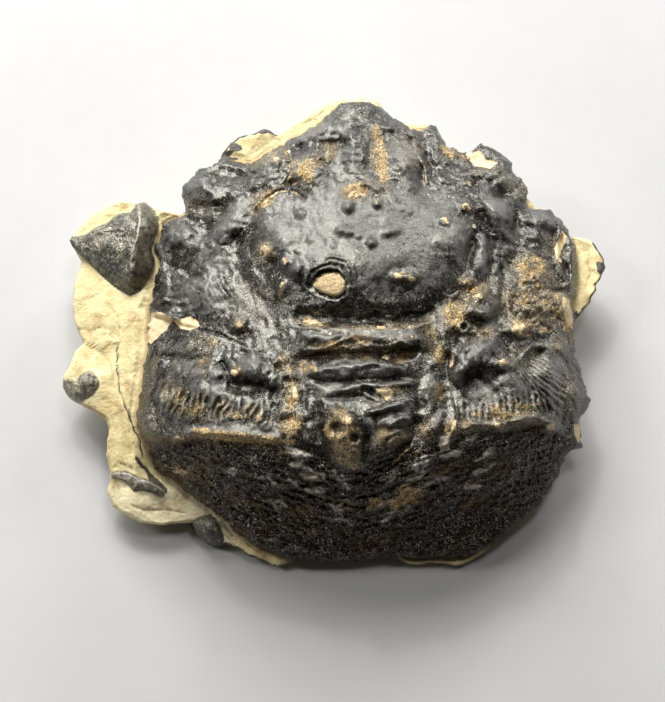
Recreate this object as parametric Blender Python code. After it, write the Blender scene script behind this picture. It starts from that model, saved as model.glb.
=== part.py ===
"""Fossil crab: a domed carapace with its knobs, ridges and steep rear slope lies on a
block of pale stone, with a claw segment and three scraps of leg shell set in the stone.
Millimetres in the constants; the finished meshes are in metres, +Z up, front edge to +Y.
"""
import math

import bmesh
import bpy
import numpy as np

# ---------------------------------------------------------------- driving dimensions
SHIFT_X, SHIFT_Y = -0.55, -7.215    # mm, moves the fossil over the origin
OUTER_RINGS = 22               # rings of facets on the carapace
SHELL_DEPTH = 2.2             # mm from the carapace's smooth surface to its underside
STONE_RINGS = 132              # points in each of the stone's rings
BASE_SHARE = 0.60              # flat resting face as a share of the stone's plan
BED_CLEAR = 0.40               # mm under a scrap of shell in its bed
BED_SIDE = 0.80                # mm, how far each bed reaches beyond its scrap
OBJECT_NAME = "fossil_crab"

# ---------------------------------------------------------------- drawing plane
# Landmarks are written as (u, v) on an inclined drawing of the fossil: u runs to
# its right side and v runs down from its front edge to its rear edge.  place()
# slides a drawing point along its sight line to a height in mm above the base.
TILT = math.radians(62.0)        # slope of the sight lines
SIGHT = 260.0                    # mm from the sight point to the middle of the fossil
SCALE = 1725.0                   # drawing units per unit of slope
MID_U, MID_V = 332.5, 351.0      # drawing point on the middle sight line
AIM = (SHIFT_X, SHIFT_Y, 13.0)   # mm, where the middle sight line aims

FORWARD = np.array([0.0, math.cos(TILT), -math.sin(TILT)])
UPWARD = np.array([0.0, math.sin(TILT), math.cos(TILT)])
EYE = np.array(AIM) - SIGHT * FORWARD


def place(u, v, z):
    """Points in mm for drawing points (u, v) at height z mm."""
    u, v, z = np.broadcast_arrays(np.asarray(u, float), np.asarray(v, float), np.asarray(z, float))
    a = (u - MID_U) / SCALE
    b = (MID_V - v) / SCALE
    dy = FORWARD[1] + b * UPWARD[1]
    dz = FORWARD[2] + b * UPWARD[2]
    t = (z - EYE[2]) / dz
    return np.stack([EYE[0] + t * a, EYE[1] + t * dy, EYE[2] + t * dz], -1)


def chart(p):
    """Drawing points (u, v) of points p in mm."""
    rel = p - EYE
    depth = rel @ FORWARD
    return MID_U + SCALE * rel[..., 0] / depth, MID_V - SCALE * (rel @ UPWARD) / depth


# ---------------------------------------------------------------- small tools
def smooth(x):
    x = np.clip(x, 0.0, 1.0)
    return x * x * (3.0 - 2.0 * x)


def hash01(ix, iy, iz, seed):
    """Even pseudo-random numbers in 0..1 from whole numbers."""
    h = (ix.astype(np.int64) * 374761393 + iy.astype(np.int64) * 668265263
         + iz.astype(np.int64) * 2147483647 + seed * 974634777) & 0xFFFFFFFF
    h = ((h ^ (h >> 13)) * 1274126177) & 0xFFFFFFFF
    h = ((h ^ (h >> 16)) * 2246822519) & 0xFFFFFFFF
    return ((h ^ (h >> 15)) & 0xFFFFFF) / float(0xFFFFFF)


def noise3(x, y, z, seed=0):
    """Smooth value noise, about -1..1, one feature per unit."""
    x, y, z = np.broadcast_arrays(np.asarray(x, float), np.asarray(y, float), np.asarray(z, float))
    ix, iy, iz = np.floor(x), np.floor(y), np.floor(z)
    fx, fy, fz = x - ix, y - iy, z - iz
    fx, fy, fz = (f * f * f * (f * (f * 6 - 15) + 10) for f in (fx, fy, fz))
    ix, iy, iz = ix.astype(np.int64), iy.astype(np.int64), iz.astype(np.int64)
    total = 0.0
    for cx in (0, 1):
        wx = fx if cx else 1 - fx
        for cy in (0, 1):
            wy = fy if cy else 1 - fy
            for cz in (0, 1):
                wz = fz if cz else 1 - fz
                total = total + wx * wy * wz * hash01(ix + cx, iy + cy, iz + cz, seed)
    return total * 2 - 1


def fractal(x, y, z, seed=0, octaves=4, gain=0.5):
    total, amp, norm, f = 0.0, 1.0, 0.0, 1.0
    for k in range(octaves):
        total = total + amp * noise3(x * f + 7.3 * k, y * f - 3.1 * k, z * f + 1.7 * k, seed + 11 * k)
        norm += amp
        amp *= gain
        f *= 2.03
    return total / norm


def ring_radius(points, centre, angles):
    """Distance from centre to a closed outline along each angle (farthest crossing)."""
    p = np.asarray(points, float) - np.asarray(centre, float)
    q = np.roll(p, -1, 0)
    e = q - p
    dx, dy = np.cos(angles)[:, None], np.sin(angles)[:, None]
    den = dx * e[None, :, 1] - dy * e[None, :, 0]
    den = np.where(np.abs(den) < 1e-9, 1e-9, den)
    t = (p[None, :, 0] * e[None, :, 1] - p[None, :, 1] * e[None, :, 0]) / den
    s = (p[None, :, 0] * dy - p[None, :, 1] * dx) / den
    hit = (s >= -1e-6) & (s <= 1 + 1e-6) & (t > 0)
    return np.where(hit, t, -1.0).max(1)


def line_distance(u, v, points):
    """(distance, place along 0..1, signed side) of drawing points from a polyline."""
    best = np.full(np.shape(u), 1e9)
    along = np.zeros(np.shape(u))
    side = np.ones(np.shape(u))
    pts = np.asarray(points, float)
    lengths = np.hypot(*(pts[1:] - pts[:-1]).T)
    total = lengths.sum()
    run = 0.0
    for a, b, size in zip(pts[:-1], pts[1:], lengths):
        e = b - a
        t = np.clip(((u - a[0]) * e[0] + (v - a[1]) * e[1]) / (size * size + 1e-12), 0, 1)
        du, dv = u - a[0] - t * e[0], v - a[1] - t * e[1]
        d = np.hypot(du, dv)
        near = d < best
        best = np.where(near, d, best)
        along = np.where(near, (run + t * size) / total, along)
        side = np.where(near, np.sign(e[0] * dv - e[1] * du), side)
        run += size
    return best, along, side


def inside_distance(u, v, points):
    """Distance to a closed outline, positive inside."""
    pts = np.asarray(points, float)
    closed = np.concatenate([pts, pts[:1]])
    d, _, _ = line_distance(u, v, closed)
    odd = np.zeros(np.shape(u), bool)
    for a, b in zip(closed[:-1], closed[1:]):
        if a[1] == b[1]:
            continue
        cross = ((a[1] > v) != (b[1] > v)) & (u < (b[0] - a[0]) * (v - a[1]) / (b[1] - a[1]) + a[0])
        odd ^= cross
    return np.where(odd, d, -d)


class Sheet:
    """A smooth height surface through (u, v, z) control heights (thin plate)."""

    def __init__(self, controls, stiff=1e-4):
        c = np.asarray(controls, float)
        self.p = c[:, :2] / 100.0
        n = len(c)
        d2 = ((self.p[:, None] - self.p[None]) ** 2).sum(-1)
        k = 0.5 * d2 * np.log(d2 + 1e-12) + stiff * np.eye(n)
        q = np.concatenate([np.ones((n, 1)), self.p], 1)
        a = np.zeros((n + 3, n + 3))
        a[:n, :n], a[:n, n:], a[n:, :n] = k, q, q.T
        self.w = np.linalg.solve(a, np.concatenate([c[:, 2], np.zeros(3)]))

    def __call__(self, u, v):
        shape = np.shape(u)
        pu, pv = np.ravel(u) / 100.0, np.ravel(v) / 100.0
        out = np.full(pu.shape, self.w[-3]) + self.w[-2] * pu + self.w[-1] * pv
        for (cu, cv), w in zip(self.p, self.w):
            d2 = (pu - cu) ** 2 + (pv - cv) ** 2
            out += w * 0.5 * d2 * np.log(d2 + 1e-12)
        return out.reshape(shape)


# ---------------------------------------------------------------- outlines
CENTRE = (358.0, 335.0)   # drawing point on the middle of the carapace

SHELL_OUTLINE = [
    (342, 103), (355, 99), (371, 100), (378, 104), (385, 110), (393, 118), (403, 124), (412, 129),
    (419, 132), (424, 131), (427, 126), (431, 124), (436, 126), (441, 135), (446, 146), (454, 149), (465, 154),
    (472, 152), (477, 146), (480, 143), (492, 149), (507, 157), (511, 163), (512, 170), (522, 181), (529, 190),
    (527, 197), (525, 203), (528, 208), (550, 210), (556, 216), (562, 221), (568, 228), (573, 240), (577, 256),
    (578, 276), (577, 290), (574, 302), (575, 322), (574, 343), (575, 357), (580, 363), (582, 372), (586, 390),
    (590, 399), (586, 410), (581, 418), (580, 430), (582, 447), (568, 453), (564, 460), (558, 477), (548, 494),
    (538, 506), (525, 519), (510, 531), (497, 541), (488, 548), (474, 553), (457, 557), (440, 557), (420, 558),
    (400, 557), (388, 555), (375, 558), (360, 560), (345, 561), (330, 562), (310, 560), (288, 560), (276, 553),
    (263, 548), (253, 544), (245, 537), (234, 532), (227, 525), (221, 517), (209, 509), (203, 503), (190, 495),
    (180, 485), (171, 480), (168, 476), (159, 473), (154, 464), (149, 450), (143, 440), (137, 428), (136, 417),
    (140, 395), (143, 375), (148, 350), (148, 335), (150, 322), (149, 309), (153, 300), (154, 280), (160, 261),
    (154, 246), (158, 243), (164, 225), (170, 221), (185, 214), (184, 205), (182, 197), (183, 187), (191, 179),
    (195, 173), (200, 169), (214, 164), (229, 160), (238, 162), (251, 163), (262, 156), (270, 150), (277, 146),
    (284, 146), (288, 140), (301, 133), (320, 124), (331, 111),
]

# Outline of the stone where it shows beyond the shell; elsewhere it stops short of it.
STONE_OUTLINE = [
    (407, 124), (427, 124.5), (430, 128), (445, 150), (500, 165), (520, 192), (545, 216), (562, 235),
    (570, 237), (578, 237), (586, 239), (593, 243), (597, 250), (603, 258), (606, 267), (602, 275), (600, 280),
    (595, 284), (596, 290), (591, 297), (590, 303), (582, 311), (575, 321), (566, 326), (566, 345),
    (570, 375), (577, 400), (573, 425), (570, 445), (552, 475), (535, 500), (508, 526), (490, 549), (474, 559),
    (457, 565), (442, 563), (431, 562), (417, 565), (408, 564), (388, 553), (360, 553), (330, 554), (305, 556),
    (290, 562), (276, 567), (268, 562), (260, 558), (247, 556), (243, 551), (225, 543), (205, 530), (192, 521),
    (180, 523), (161, 525), (139, 522), (124, 514), (112, 506), (107, 492), (110, 481), (111, 473), (109, 466),
    (106, 454), (108, 437), (109, 427), (104, 417), (94, 411), (82, 404), (73, 397), (65, 391), (63, 386),
    (64, 376), (72, 361), (76, 350), (85, 343), (76, 328), (73, 316), (73, 297), (75, 280), (80, 268),
    (81, 261), (76, 253), (72, 244), (72, 237), (80, 225), (92, 214), (105, 205), (121, 201), (136, 203),
    (153, 208), (180, 215), (190, 208), (192, 192), (200, 178), (214, 168), (221, 157), (224, 151), (230, 144),
    (238, 137), (251, 135), (261, 129), (268, 130), (276, 135), (286, 131), (299, 122), (315, 110), (331, 102),
    (343, 99), (355, 97.5), (371, 98.5), (379, 103), (386, 112), (395, 121),
]

# ---------------------------------------------------------------- carapace heights
SHELL_EDGE_HEIGHTS = [
    (342, 102, 18.4), (371, 101, 18.4), (403, 125, 17.3), (436, 128, 16.8), (447, 147, 16.2), (479, 147, 15.0),
    (510, 163, 13.6), (529, 190, 12.6), (550, 211, 11.8), (568, 229, 11.2), (578, 262, 10.6), (574, 310, 10.4),
    (575, 357, 10.2), (589, 399, 8.8), (580, 448, 7.2), (558, 477, 5.9), (525, 519, 4.7), (488, 549, 4.0),
    (440, 557, 3.7), (390, 556, 3.6), (330, 561, 3.5), (288, 559, 3.7), (253, 544, 4.4), (227, 525, 5.2),
    (190, 495, 6.8), (168, 476, 7.8), (149, 450, 9.0), (137, 428, 10.2), (140, 395, 11.4), (148, 345, 12.2),
    (150, 313, 12.7), (154, 280, 13.1), (157, 243, 13.4), (168, 222, 13.5), (184, 205, 13.6), (191, 179, 14.2),
    (214, 165, 15.0), (251, 163, 16.2), (284, 147, 17.0), (320, 124, 17.9),
]
SHELL_HEIGHTS = [
    # front lobes
    (358, 140, 21.2), (358, 180, 23.6), (310, 160, 21.0), (405, 160, 21.0), (270, 185, 20.3), (440, 185, 20.2),
    (478, 190, 17.6), (235, 192, 17.6), (205, 195, 15.8), (510, 200, 14.9),
    # gastric dome
    (358, 215, 25.4), (358, 255, 26.5), (358, 288, 26.1), (305, 228, 24.4), (412, 228, 24.4), (297, 272, 24.9),
    (422, 272, 24.7), (265, 222, 21.6), (456, 220, 21.8), (262, 260, 21.6), (466, 258, 21.7),
    (300, 312, 23.1), (350, 317, 23.9), (400, 316, 23.8), (436, 308, 22.8),
    # middle rear regions
    (350, 338, 24.6), (310, 340, 23.9), (405, 340, 24.2), (355, 375, 24.9), (350, 420, 24.7),
    (300, 372, 22.7), (300, 405, 22.6), (428, 372, 22.8), (428, 405, 22.8),
    # left side
    (240, 330, 20.7), (205, 300, 18.4), (205, 245, 17.0), (226, 225, 18.2), (178, 262, 14.9), (175, 300, 14.9),
    (245, 378, 22.0), (205, 380, 19.8), (168, 380, 15.8), (205, 424, 19.5), (252, 430, 21.9), (168, 428, 14.8),
    # right side
    (480, 318, 20.9), (520, 300, 17.9), (502, 245, 17.3), (494, 215, 17.8), (545, 240, 13.2), (552, 290, 13.8),
    (476, 378, 22.0), (520, 380, 19.6), (556, 380, 15.2), (468, 424, 21.9), (516, 418, 19.8), (556, 422, 13.8),
    # rear slope
    (355, 462, 21.4), (300, 456, 20.9), (250, 456, 18.9), (205, 456, 15.4), (410, 458, 21.3), (460, 452, 19.6),
    (510, 446, 16.8), (548, 452, 11.2), (175, 452, 11.6),
    (355, 492, 15.9), (300, 490, 15.2), (250, 488, 13.4), (212, 486, 10.6), (410, 490, 15.6), (460, 488, 14.0),
    (508, 484, 11.4), (355, 526, 9.2), (300, 526, 8.8), (255, 520, 7.6), (410, 525, 9.0), (458, 520, 8.2),
    (498, 514, 7.0),
]

# Height of the stone's open surfaces
STONE_HEIGHTS = [
    # left slab
    (72, 240, 8.6), (100, 215, 9.4), (125, 205, 10.2), (160, 214, 11.6), (185, 212, 12.2), (160, 250, 11.4),
    (110, 260, 9.6), (82, 262, 8.0), (76, 300, 8.2), (110, 300, 9.8), (145, 300, 11.0), (80, 340, 7.8),
    (110, 345, 9.4), (140, 345, 10.6), (68, 380, 7.4), (90, 380, 8.8), (120, 385, 9.3), (136, 400, 9.6),
    (92, 408, 7.4), (112, 430, 7.6), (132, 440, 8.0), (108, 460, 6.2), (130, 468, 6.6), (148, 470, 7.0),
    (110, 492, 4.8), (135, 498, 5.6), (165, 495, 5.4), (125, 513, 4.2), (160, 520, 4.0), (190, 515, 3.9),
    (215, 530, 3.2), (245, 548, 2.2), (275, 562, 1.8),
    # rear foot
    (300, 562, 1.6), (350, 564, 1.5), (400, 564, 1.6), (440, 563, 1.8), (480, 557, 2.0), (505, 545, 2.4),
    (560, 480, 4.0), (590, 400, 7.4),
    # right lump
    (572, 330, 8.6), (580, 312, 8.4), (594, 290, 8.8), (604, 268, 9.0), (594, 246, 9.4), (572, 238, 10.0),
    (584, 270, 10.2), (545, 205, 10.8),
    # front edge
    (515, 160, 12.4), (480, 140, 13.6), (440, 120, 15.2), (415, 122, 16.0), (390, 108, 16.4), (371, 98, 16.8),
    (343, 99, 16.8), (315, 112, 16.2), (290, 130, 15.8), (262, 134, 14.8), (235, 142, 13.8), (222, 155, 13.4),
    (195, 175, 12.8), (180, 200, 12.2),
]
# ---------------------------------------------------------------- carapace relief
# Rounded swellings: (u, v, half width, half height, turn in degrees, rise in mm)
SWELLINGS = [
    # front lobes
    (318, 130, 20, 7, -18, 0.75), (328, 153, 5, 11, 0, 0.8), (306, 171, 16, 14, 30, 1.0), (270, 168, 15, 19, 10, 0.8),
    (276, 159, 6, 5, 0, 0.7), (404, 158, 12, 17, -25, 1.05), (389, 131, 13, 6, 20, 0.5), (440, 160, 15, 26, -20, 0.5),
    (330, 118, 12, 9, 0, 0.35), (382, 118, 10, 8, 0, 0.35), (355, 150, 8, 40, 0, 0.45),
    # orbit hollows
    (331, 143, 15, 6, -5, -0.8), (398, 136, 13, 5, 15, -0.7), (298, 153, 7, 9, 30, -0.55), (421, 180, 8, 16, -20, -0.55),
    (289, 188, 9, 10, 0, -0.5), (372, 160, 7, 22, -8, -0.3),
    # gastric tubercles
    (349, 205, 6.5, 7, 0, 1.1), (377, 203, 6, 6, 0, 1.0), (300, 214, 6, 6, 0, 0.7), (347, 231, 10, 6, 5, 0.75),
    (390, 231, 10, 6, -10, 0.8), (371, 240, 7, 6, 0, 0.9), (311, 239, 6, 5, 0, 0.5), (296, 267, 8, 8, 0, 0.9),
    (397, 276, 6, 5, 0, 0.7), (409, 277, 8, 5, 0, 0.8), (465, 206, 7, 6, 20, 0.8), (445, 221, 5, 4, 30, 0.6),
    (477, 227, 4, 3, 30, 0.5), (264, 252, 8, 9, 10, 0.9), (285, 261, 5, 5, 0, 0.7), (282, 288, 5, 8, 10, 0.6),
    (469, 182, 4, 4, 0, 0.45), (362, 190, 16, 9, 0, 0.45),
    # gastric lobes
    (255, 234, 13, 18, -5, 0.7), (282, 232, 14, 16, 0, 0.45), (455, 238, 15, 19, -15, 0.95), (330, 215, 16, 22, 0, 0.3),
    (395, 205, 20, 16, 0, 0.3), (370, 262, 28, 14, 0, 0.4), (425, 282, 18, 12, 0, 0.35), (323, 268, 30, 20, 0, 0.6),
    (481, 255, 6, 26, 8, 0.75), (468, 250, 5, 19, 12, -1.0), (372, 222, 10, 8, 0, -0.3), (430, 195, 16, 16, 0, -0.25),
    # left front side
    (200, 185, 13, 12, 0, 1.0), (213, 199, 8, 6, 0, 0.6), (229, 175, 15, 6, 10, -0.7), (231, 193, 11, 7, 0, 0.5),
    (212, 214, 6, 7, 0, 0.7), (230, 224, 8, 21, 38, 1.2), (207, 226, 9, 11, 20, -0.7), (178, 236, 15, 9, -10, 1.0),
    (170, 258, 9, 11, 10, -0.4), (204, 250, 14, 10, 0, 0.35), (200, 293, 22, 13, 10, 0.9), (165, 285, 9, 12, 0, 0.5),
    (172, 313, 9, 6, 0, 0.5), (222, 268, 10, 12, 0, -0.3), (215, 312, 11, 9, 0, 0.4), (235, 290, 10, 10, 0, 0.3),
    # left middle
    (238, 323, 8, 9, 0, 1.2), (240, 336, 10, 5, 0, -0.8), (168, 343, 16, 10, 0, -0.45), (205, 336, 13, 7, 15, 0.5),
    (212, 350, 8, 7, 0, 0.4), (191, 372, 18, 12, 0, 0.8), (216, 368, 10, 9, 0, 0.5), (235, 372, 7, 7, 0, 0.9),
    (253, 363, 13, 12, 0, 1.2), (272, 380, 8, 8, 0, 1.1), (243, 388, 12, 6, 0, -0.6), (262, 345, 12, 6, 20, 0.5),
    (275, 357, 6, 6, 0, 0.5), (225, 392, 12, 6, 0, 0.4), (160, 365, 9, 12, 0, 0.4), (165, 398, 10, 8, 0, 0.6),
    (147, 420, 7, 14, 0, 0.5),
    # left column of small lobes
    (281, 361, 6, 6, 0, 0.7), (291, 375, 8, 8, 20, 0.7), (294, 396, 8, 12, -5, 0.9), (285, 411, 8, 7, 0, 0.8),
    (299, 416, 6, 8, 0, 0.8), (290, 431, 10, 7, 0, 0.9), (308, 408, 7, 11, 0, 0.7), (312, 432, 7, 12, 0, 0.5),
    (303, 362, 12, 8, 0, -0.5),
    # heart region
    (341, 412, 15, 13, 0, 1.15), (350, 440, 13, 19, -12, 1.25), (338, 424, 5.5, 5.5, 0, -1.0), (355, 434, 4.5, 4.5, 0, -0.85),
    (392, 412, 18, 9, -14, 0.95), (385, 432, 16, 9, -20, 0.8), (380, 450, 10, 9, -30, 0.5), (398, 441, 10, 7, -40, 0.5),
    (367, 440, 4, 22, 12, -0.8), (385, 391, 11, 5, 0, 0.5), (368, 398, 12, 4, 0, -0.5), (325, 398, 9, 7, 0, 0.5),
    # right column of small lobes
    (428, 345, 9, 8, 0, 0.5), (434, 362, 8, 8, 0, 0.5), (432, 385, 8, 12, 5, 0.6), (426, 408, 7, 11, 0, 0.6),
    (436, 424, 7, 8, 0, 0.6), (417, 428, 6, 10, 20, -0.6), (447, 396, 6, 14, 0, -0.6), (446, 346, 8, 8, 0, 0.6),
    (452, 427, 5, 8, 0, 0.8), (446, 443, 8, 5, -15, 0.6),
    # right middle cluster
    (452, 317, 11, 13, 0, 0.8), (467, 281, 7, 6, 0, 0.6), (479, 297, 9, 7, 0, 1.2), (470, 311, 8, 7, 0, 1.2),
    (483, 314, 8, 7, 0, 1.3), (492, 304, 6, 6, 0, 0.8), (465, 326, 7, 6.5, 0, 0.9), (465, 326, 3, 3, 0, -1.1),
    (478, 330, 8, 6, 0, 0.7), (490, 330, 6, 6, 0, 0.6), (444, 333, 7, 6, 0, 0.6), (498, 318, 7, 8, 0, -0.6),
    # right branchial
    (474, 353, 15, 10, -30, 1.1), (462, 372, 9, 14, 10, 1.2), (490, 346, 12, 9, -20, 0.6), (501, 364, 8, 8, 0, 1.1),
    (486, 372, 9, 9, 0, 0.5), (478, 392, 22, 12, 0, -1.2), (463, 396, 7, 8, 0, 0.6), (492, 386, 8, 7, 0, 0.5),
    (512, 345, 8, 18, 0, 0.3), (533, 355, 11, 12, 20, -0.8), (549, 372, 12, 16, 0, 0.6), (555, 345, 13, 9, 0, 0.6),
    (573, 398, 9, 12, 0, 0.6), (510, 385, 10, 14, 0, 0.6),
    # right front side
    (494, 213, 8, 20, -28, 1.25), (505, 240, 12, 14, 0, 0.4), (478, 172, 18, 7, 0, 0.5), (502, 180, 14, 11, 0, 0.6),
    (497, 193, 12, 5, 0, -0.6), (514, 221, 6, 16, -15, -0.7), (542, 219, 13, 8, 10, 1.0), (535, 240, 12, 12, 0, 0.5),
    (553, 246, 7, 14, 0, -0.5), (530, 272, 16, 13, 10, 0.9), (512, 268, 7, 12, 0, -0.4), (550, 300, 17, 10, 0, 0.9),
    (524, 305, 11, 9, 0, 0.8), (520, 327, 12, 7, 0, 0.9), (545, 325, 13, 8, 0, 0.7), (565, 306, 7, 12, 0, 0.6),
    (507, 290, 9, 10, 0, 0.5), (560, 330, 8, 8, 0, 0.5), (537, 290, 16, 5, 0, -0.5), (487, 268, 9, 9, 0, 0.3),
    # rear edge knobs
    (498, 425, 6, 6, 0, 0.9), (550, 427, 8, 7, 0, 0.9), (473, 424, 7, 5, 0, 0.5), (522, 418, 10, 5, 0, 0.4),
    (222, 434, 11, 5, 0, 0.6), (196, 432, 10, 5, 0, 0.5), (248, 436, 12, 4, 0, 0.4), (272, 440, 10, 4, 0, 0.4),
    (180, 441, 8, 4, 0, 0.5), (155, 432, 8, 7, 0, 0.5),
]

# Ridges and grooves: (points, half width, rise in mm, taper of the ends 0..1)
CREASES = [
    # groove round the gastric dome
    ([(250, 192), (240, 212), (236, 236), (236, 262), (243, 282), (256, 297), (274, 309), (292, 318)], 7.0, -1.25, 0.15),
    ([(479, 196), (487, 215), (490, 238), (489, 262), (482, 282), (470, 297), (455, 309), (438, 317)], 6.0, -1.05, 0.15),
    ([(290, 313), (315, 318), (350, 319), (395, 319), (425, 315), (440, 309)], 6.5, -1.15, 0.1),
    # lower rim of the dome
    ([(262, 283), (283, 298), (315, 304), (345, 303), (385, 302), (415, 300), (445, 288), (460, 275)], 8.0, 0.35, 0.2),
    # first crosswise ridge
    ([(288, 321), (298, 326), (322, 328.5), (350, 328.5), (393, 329), (410, 328), (427, 323), (440, 316)], 3.2, 0.75, 0.12),
    ([(297, 334), (312, 343), (330, 343), (342, 338), (356, 340), (372, 344), (400, 341), (418, 343), (428, 337)], 6.0, 0.8, 0.1),
    ([(305, 348), (322, 351), (337, 342), (350, 338), (364, 346), (392, 345), (402, 342), (416, 346)], 2.2, 0.4, 0.05),
    ([(300, 357), (330, 357), (352, 354), (390, 356), (425, 353)], 4.5, -1.25, 0.1),
    # second crosswise ridge
    ([(303, 376), (325, 370), (351, 366), (374, 364), (394, 367), (412, 373)], 3.5, 0.65, 0.12),
    ([(312, 377), (340, 374), (370, 372), (398, 373)], 5.5, 0.6, 0.1),
    ([(318, 381), (345, 380), (372, 378), (398, 378)], 2.5, 0.35, 0.1),
    ([(300, 381), (322, 385), (350, 383), (378, 382), (412, 379)], 2.3, -0.6, 0.1),
    ([(304, 378), (318, 387), (340, 391), (352, 388), (368, 386), (394, 384)], 2.6, 0.6, 0.1),
    ([(318, 396), (345, 398), (372, 394)], 3.5, -0.5, 0.2),
    # streaks of the right heart lobe
    ([(368, 413), (385, 407), (409, 400)], 2.4, 0.55, 0.1), ([(369, 427), (387, 419), (405, 415), (413, 418)], 2.3, 0.55, 0.1),
    ([(372, 419), (388, 412), (406, 407)], 1.8, -0.45, 0.1), ([(374, 437), (392, 430), (408, 425)], 2.0, 0.35, 0.1),
    ([(392, 466), (402, 455), (416, 443)], 2.0, 0.6, 0.1), ([(388, 463), (398, 452), (410, 441)], 2.6, -0.6, 0.1),
    # valleys beside the heart region
    ([(318, 392), (319, 415), (324, 440), (338, 462), (352, 474)], 4.5, -1.0, 0.1),
    ([(418, 388), (420, 408), (412, 436), (398, 456), (378, 472), (362, 476)], 4.5, -0.9, 0.1),
    ([(284, 352), (284, 372), (278, 392), (276, 412), (280, 428)], 3.5, -0.6, 0.15),
    ([(306, 384), (304, 405), (306, 428), (312, 446)], 2.6, -0.5, 0.15),
    # front
    ([(284, 147), (288, 161), (290, 172), (285, 183), (288, 190)], 1.6, -0.55, 0.02),
    ([(285, 147), (290, 160), (292, 172), (288, 183)], 3.0, 0.3, 0.05),
    ([(288, 190), (276, 191), (266, 197), (259, 205), (254, 214)], 2.2, -0.7, 0.05),
    ([(289, 191), (298, 193), (306, 200)], 1.8, -0.5, 0.05),
    ([(300, 168), (308, 160), (318, 157), (326, 156)], 2.0, 0.45, 0.05),
    ([(314, 142), (320, 137), (330, 135), (341, 138)], 2.2, 0.45, 0.1),
    ([(413, 140), (419, 152), (425, 168), (427, 184)], 1.7, 0.7, 0.02), ([(418, 138), (425, 152), (431, 168), (433, 184)], 4.0, -0.6, 0.1),
    ([(387, 124), (397, 122), (408, 128), (413, 139)], 2.6, 0.55, 0.1),
    ([(431, 127), (438, 138), (444, 150), (447, 163)], 2.2, 0.7, 0.1), ([(440, 132), (449, 147), (455, 163)], 3.2, -0.6, 0.1),
    ([(446, 146), (456, 151), (466, 160)], 2.6, 0.6, 0.1), ([(376, 128), (379, 150), (383, 178)], 6.0, -0.35, 0.05),
    ([(345, 112), (350, 140), (352, 170)], 4.0, 0.3, 0.2), ([(366, 112), (364, 140), (362, 170)], 4.0, 0.3, 0.2),
    ([(345, 196), (352, 186), (362, 182), (372, 186), (382, 194)], 2.5, 0.4, 0.1),
    ([(355, 172), (372, 180), (386, 192), (398, 207)], 3.0, 0.35, 0.2),
    # left side
    ([(149, 312), (158, 314), (170, 318), (182, 321)], 3.0, 0.6, 0.05),
    ([(150, 317), (170, 322), (181, 325), (197, 329), (220, 337), (240, 347), (263, 355)], 1.5, -0.65, 0.02),
    ([(197, 325), (220, 334), (240, 345), (263, 353)], 2.4, 0.35, 0.05),
    ([(185, 214), (192, 222), (196, 234), (198, 246)], 4.0, -0.7, 0.1),
    ([(186, 207), (205, 209), (222, 205), (238, 200)], 3.5, -0.6, 0.1),
    ([(160, 262), (178, 268), (196, 270)], 4.0, -0.5, 0.1), ([(238, 242), (240, 262), (250, 280), (264, 290)], 2.5, 0.35, 0.1),
    ([(154, 300), (165, 300), (180, 303), (190, 300)], 2.5, 0.35, 0.1),
    ([(152, 352), (170, 357), (190, 358), (210, 360)], 3.5, -0.5, 0.1), ([(222, 358), (228, 372), (232, 386)], 3.0, -0.5, 0.1),
    ([(268, 352), (262, 366), (262, 384), (268, 396)], 2.6, -0.7, 0.1), ([(150, 384), (172, 388), (196, 387), (222, 384)], 3.0, -0.4, 0.1),
    # edge of the rear slope, left
    ([(150, 440), (172, 437), (191, 431), (215, 432), (245, 436), (283, 440), (305, 446)], 4.0, 0.85, 0.1),
    ([(172, 449), (200, 441), (232, 443), (262, 446), (285, 448)], 3.5, -0.8, 0.1),
    ([(170, 426), (200, 422), (235, 427), (275, 431)], 4.0, -0.35, 0.1),
    # edge of the rear slope, right
    ([(440, 446), (452, 436), (461, 430), (472, 425), (497, 424), (516, 421), (534, 418), (548, 422), (562, 432)], 4.0, 0.9, 0.1),
    ([(448, 450), (462, 438), (480, 433), (500, 433), (520, 430), (540, 429)], 3.5, -0.75, 0.1),
    # right side
    ([(522, 366), (525, 354), (532, 346), (540, 345), (546, 350)], 2.6, 0.9, 0.1), ([(530, 362), (534, 354), (541, 353)], 2.2, 0.4, 0.1),
    ([(455, 386), (455, 370), (460, 356), (470, 346), (486, 337)], 3.0, 0.7, 0.1),
    ([(447, 350), (447, 368), (448, 388)], 3.0, -0.8, 0.15), ([(497, 334), (505, 350), (512, 372), (514, 392)], 3.5, -0.5, 0.15),
    ([(430, 322), (436, 332), (438, 346), (440, 360)], 3.0, -0.5, 0.15), ([(498, 334), (520, 338), (545, 337), (570, 342)], 3.5, -0.6, 0.1),
    ([(500, 262), (504, 282), (500, 300), (506, 320)], 3.0, -0.45, 0.1), ([(516, 254), (535, 256), (548, 262), (556, 272)], 3.0, -0.4, 0.1),
    ([(526, 204), (518, 212), (514, 226), (518, 240)], 3.5, -0.7, 0.1), ([(512, 172), (500, 176), (486, 186), (478, 196)], 3.0, -0.4, 0.1),
    ([(568, 230), (573, 250), (572, 272), (567, 290)], 3.4, 1.0, 0.1), ([(560, 232), (562, 250), (566, 268), (570, 285)], 3.0, -0.7, 0.1),
    ([(555, 210), (560, 224), (556, 244), (557, 264), (566, 284)], 2.6, 0.6, 0.1),
]

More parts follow.
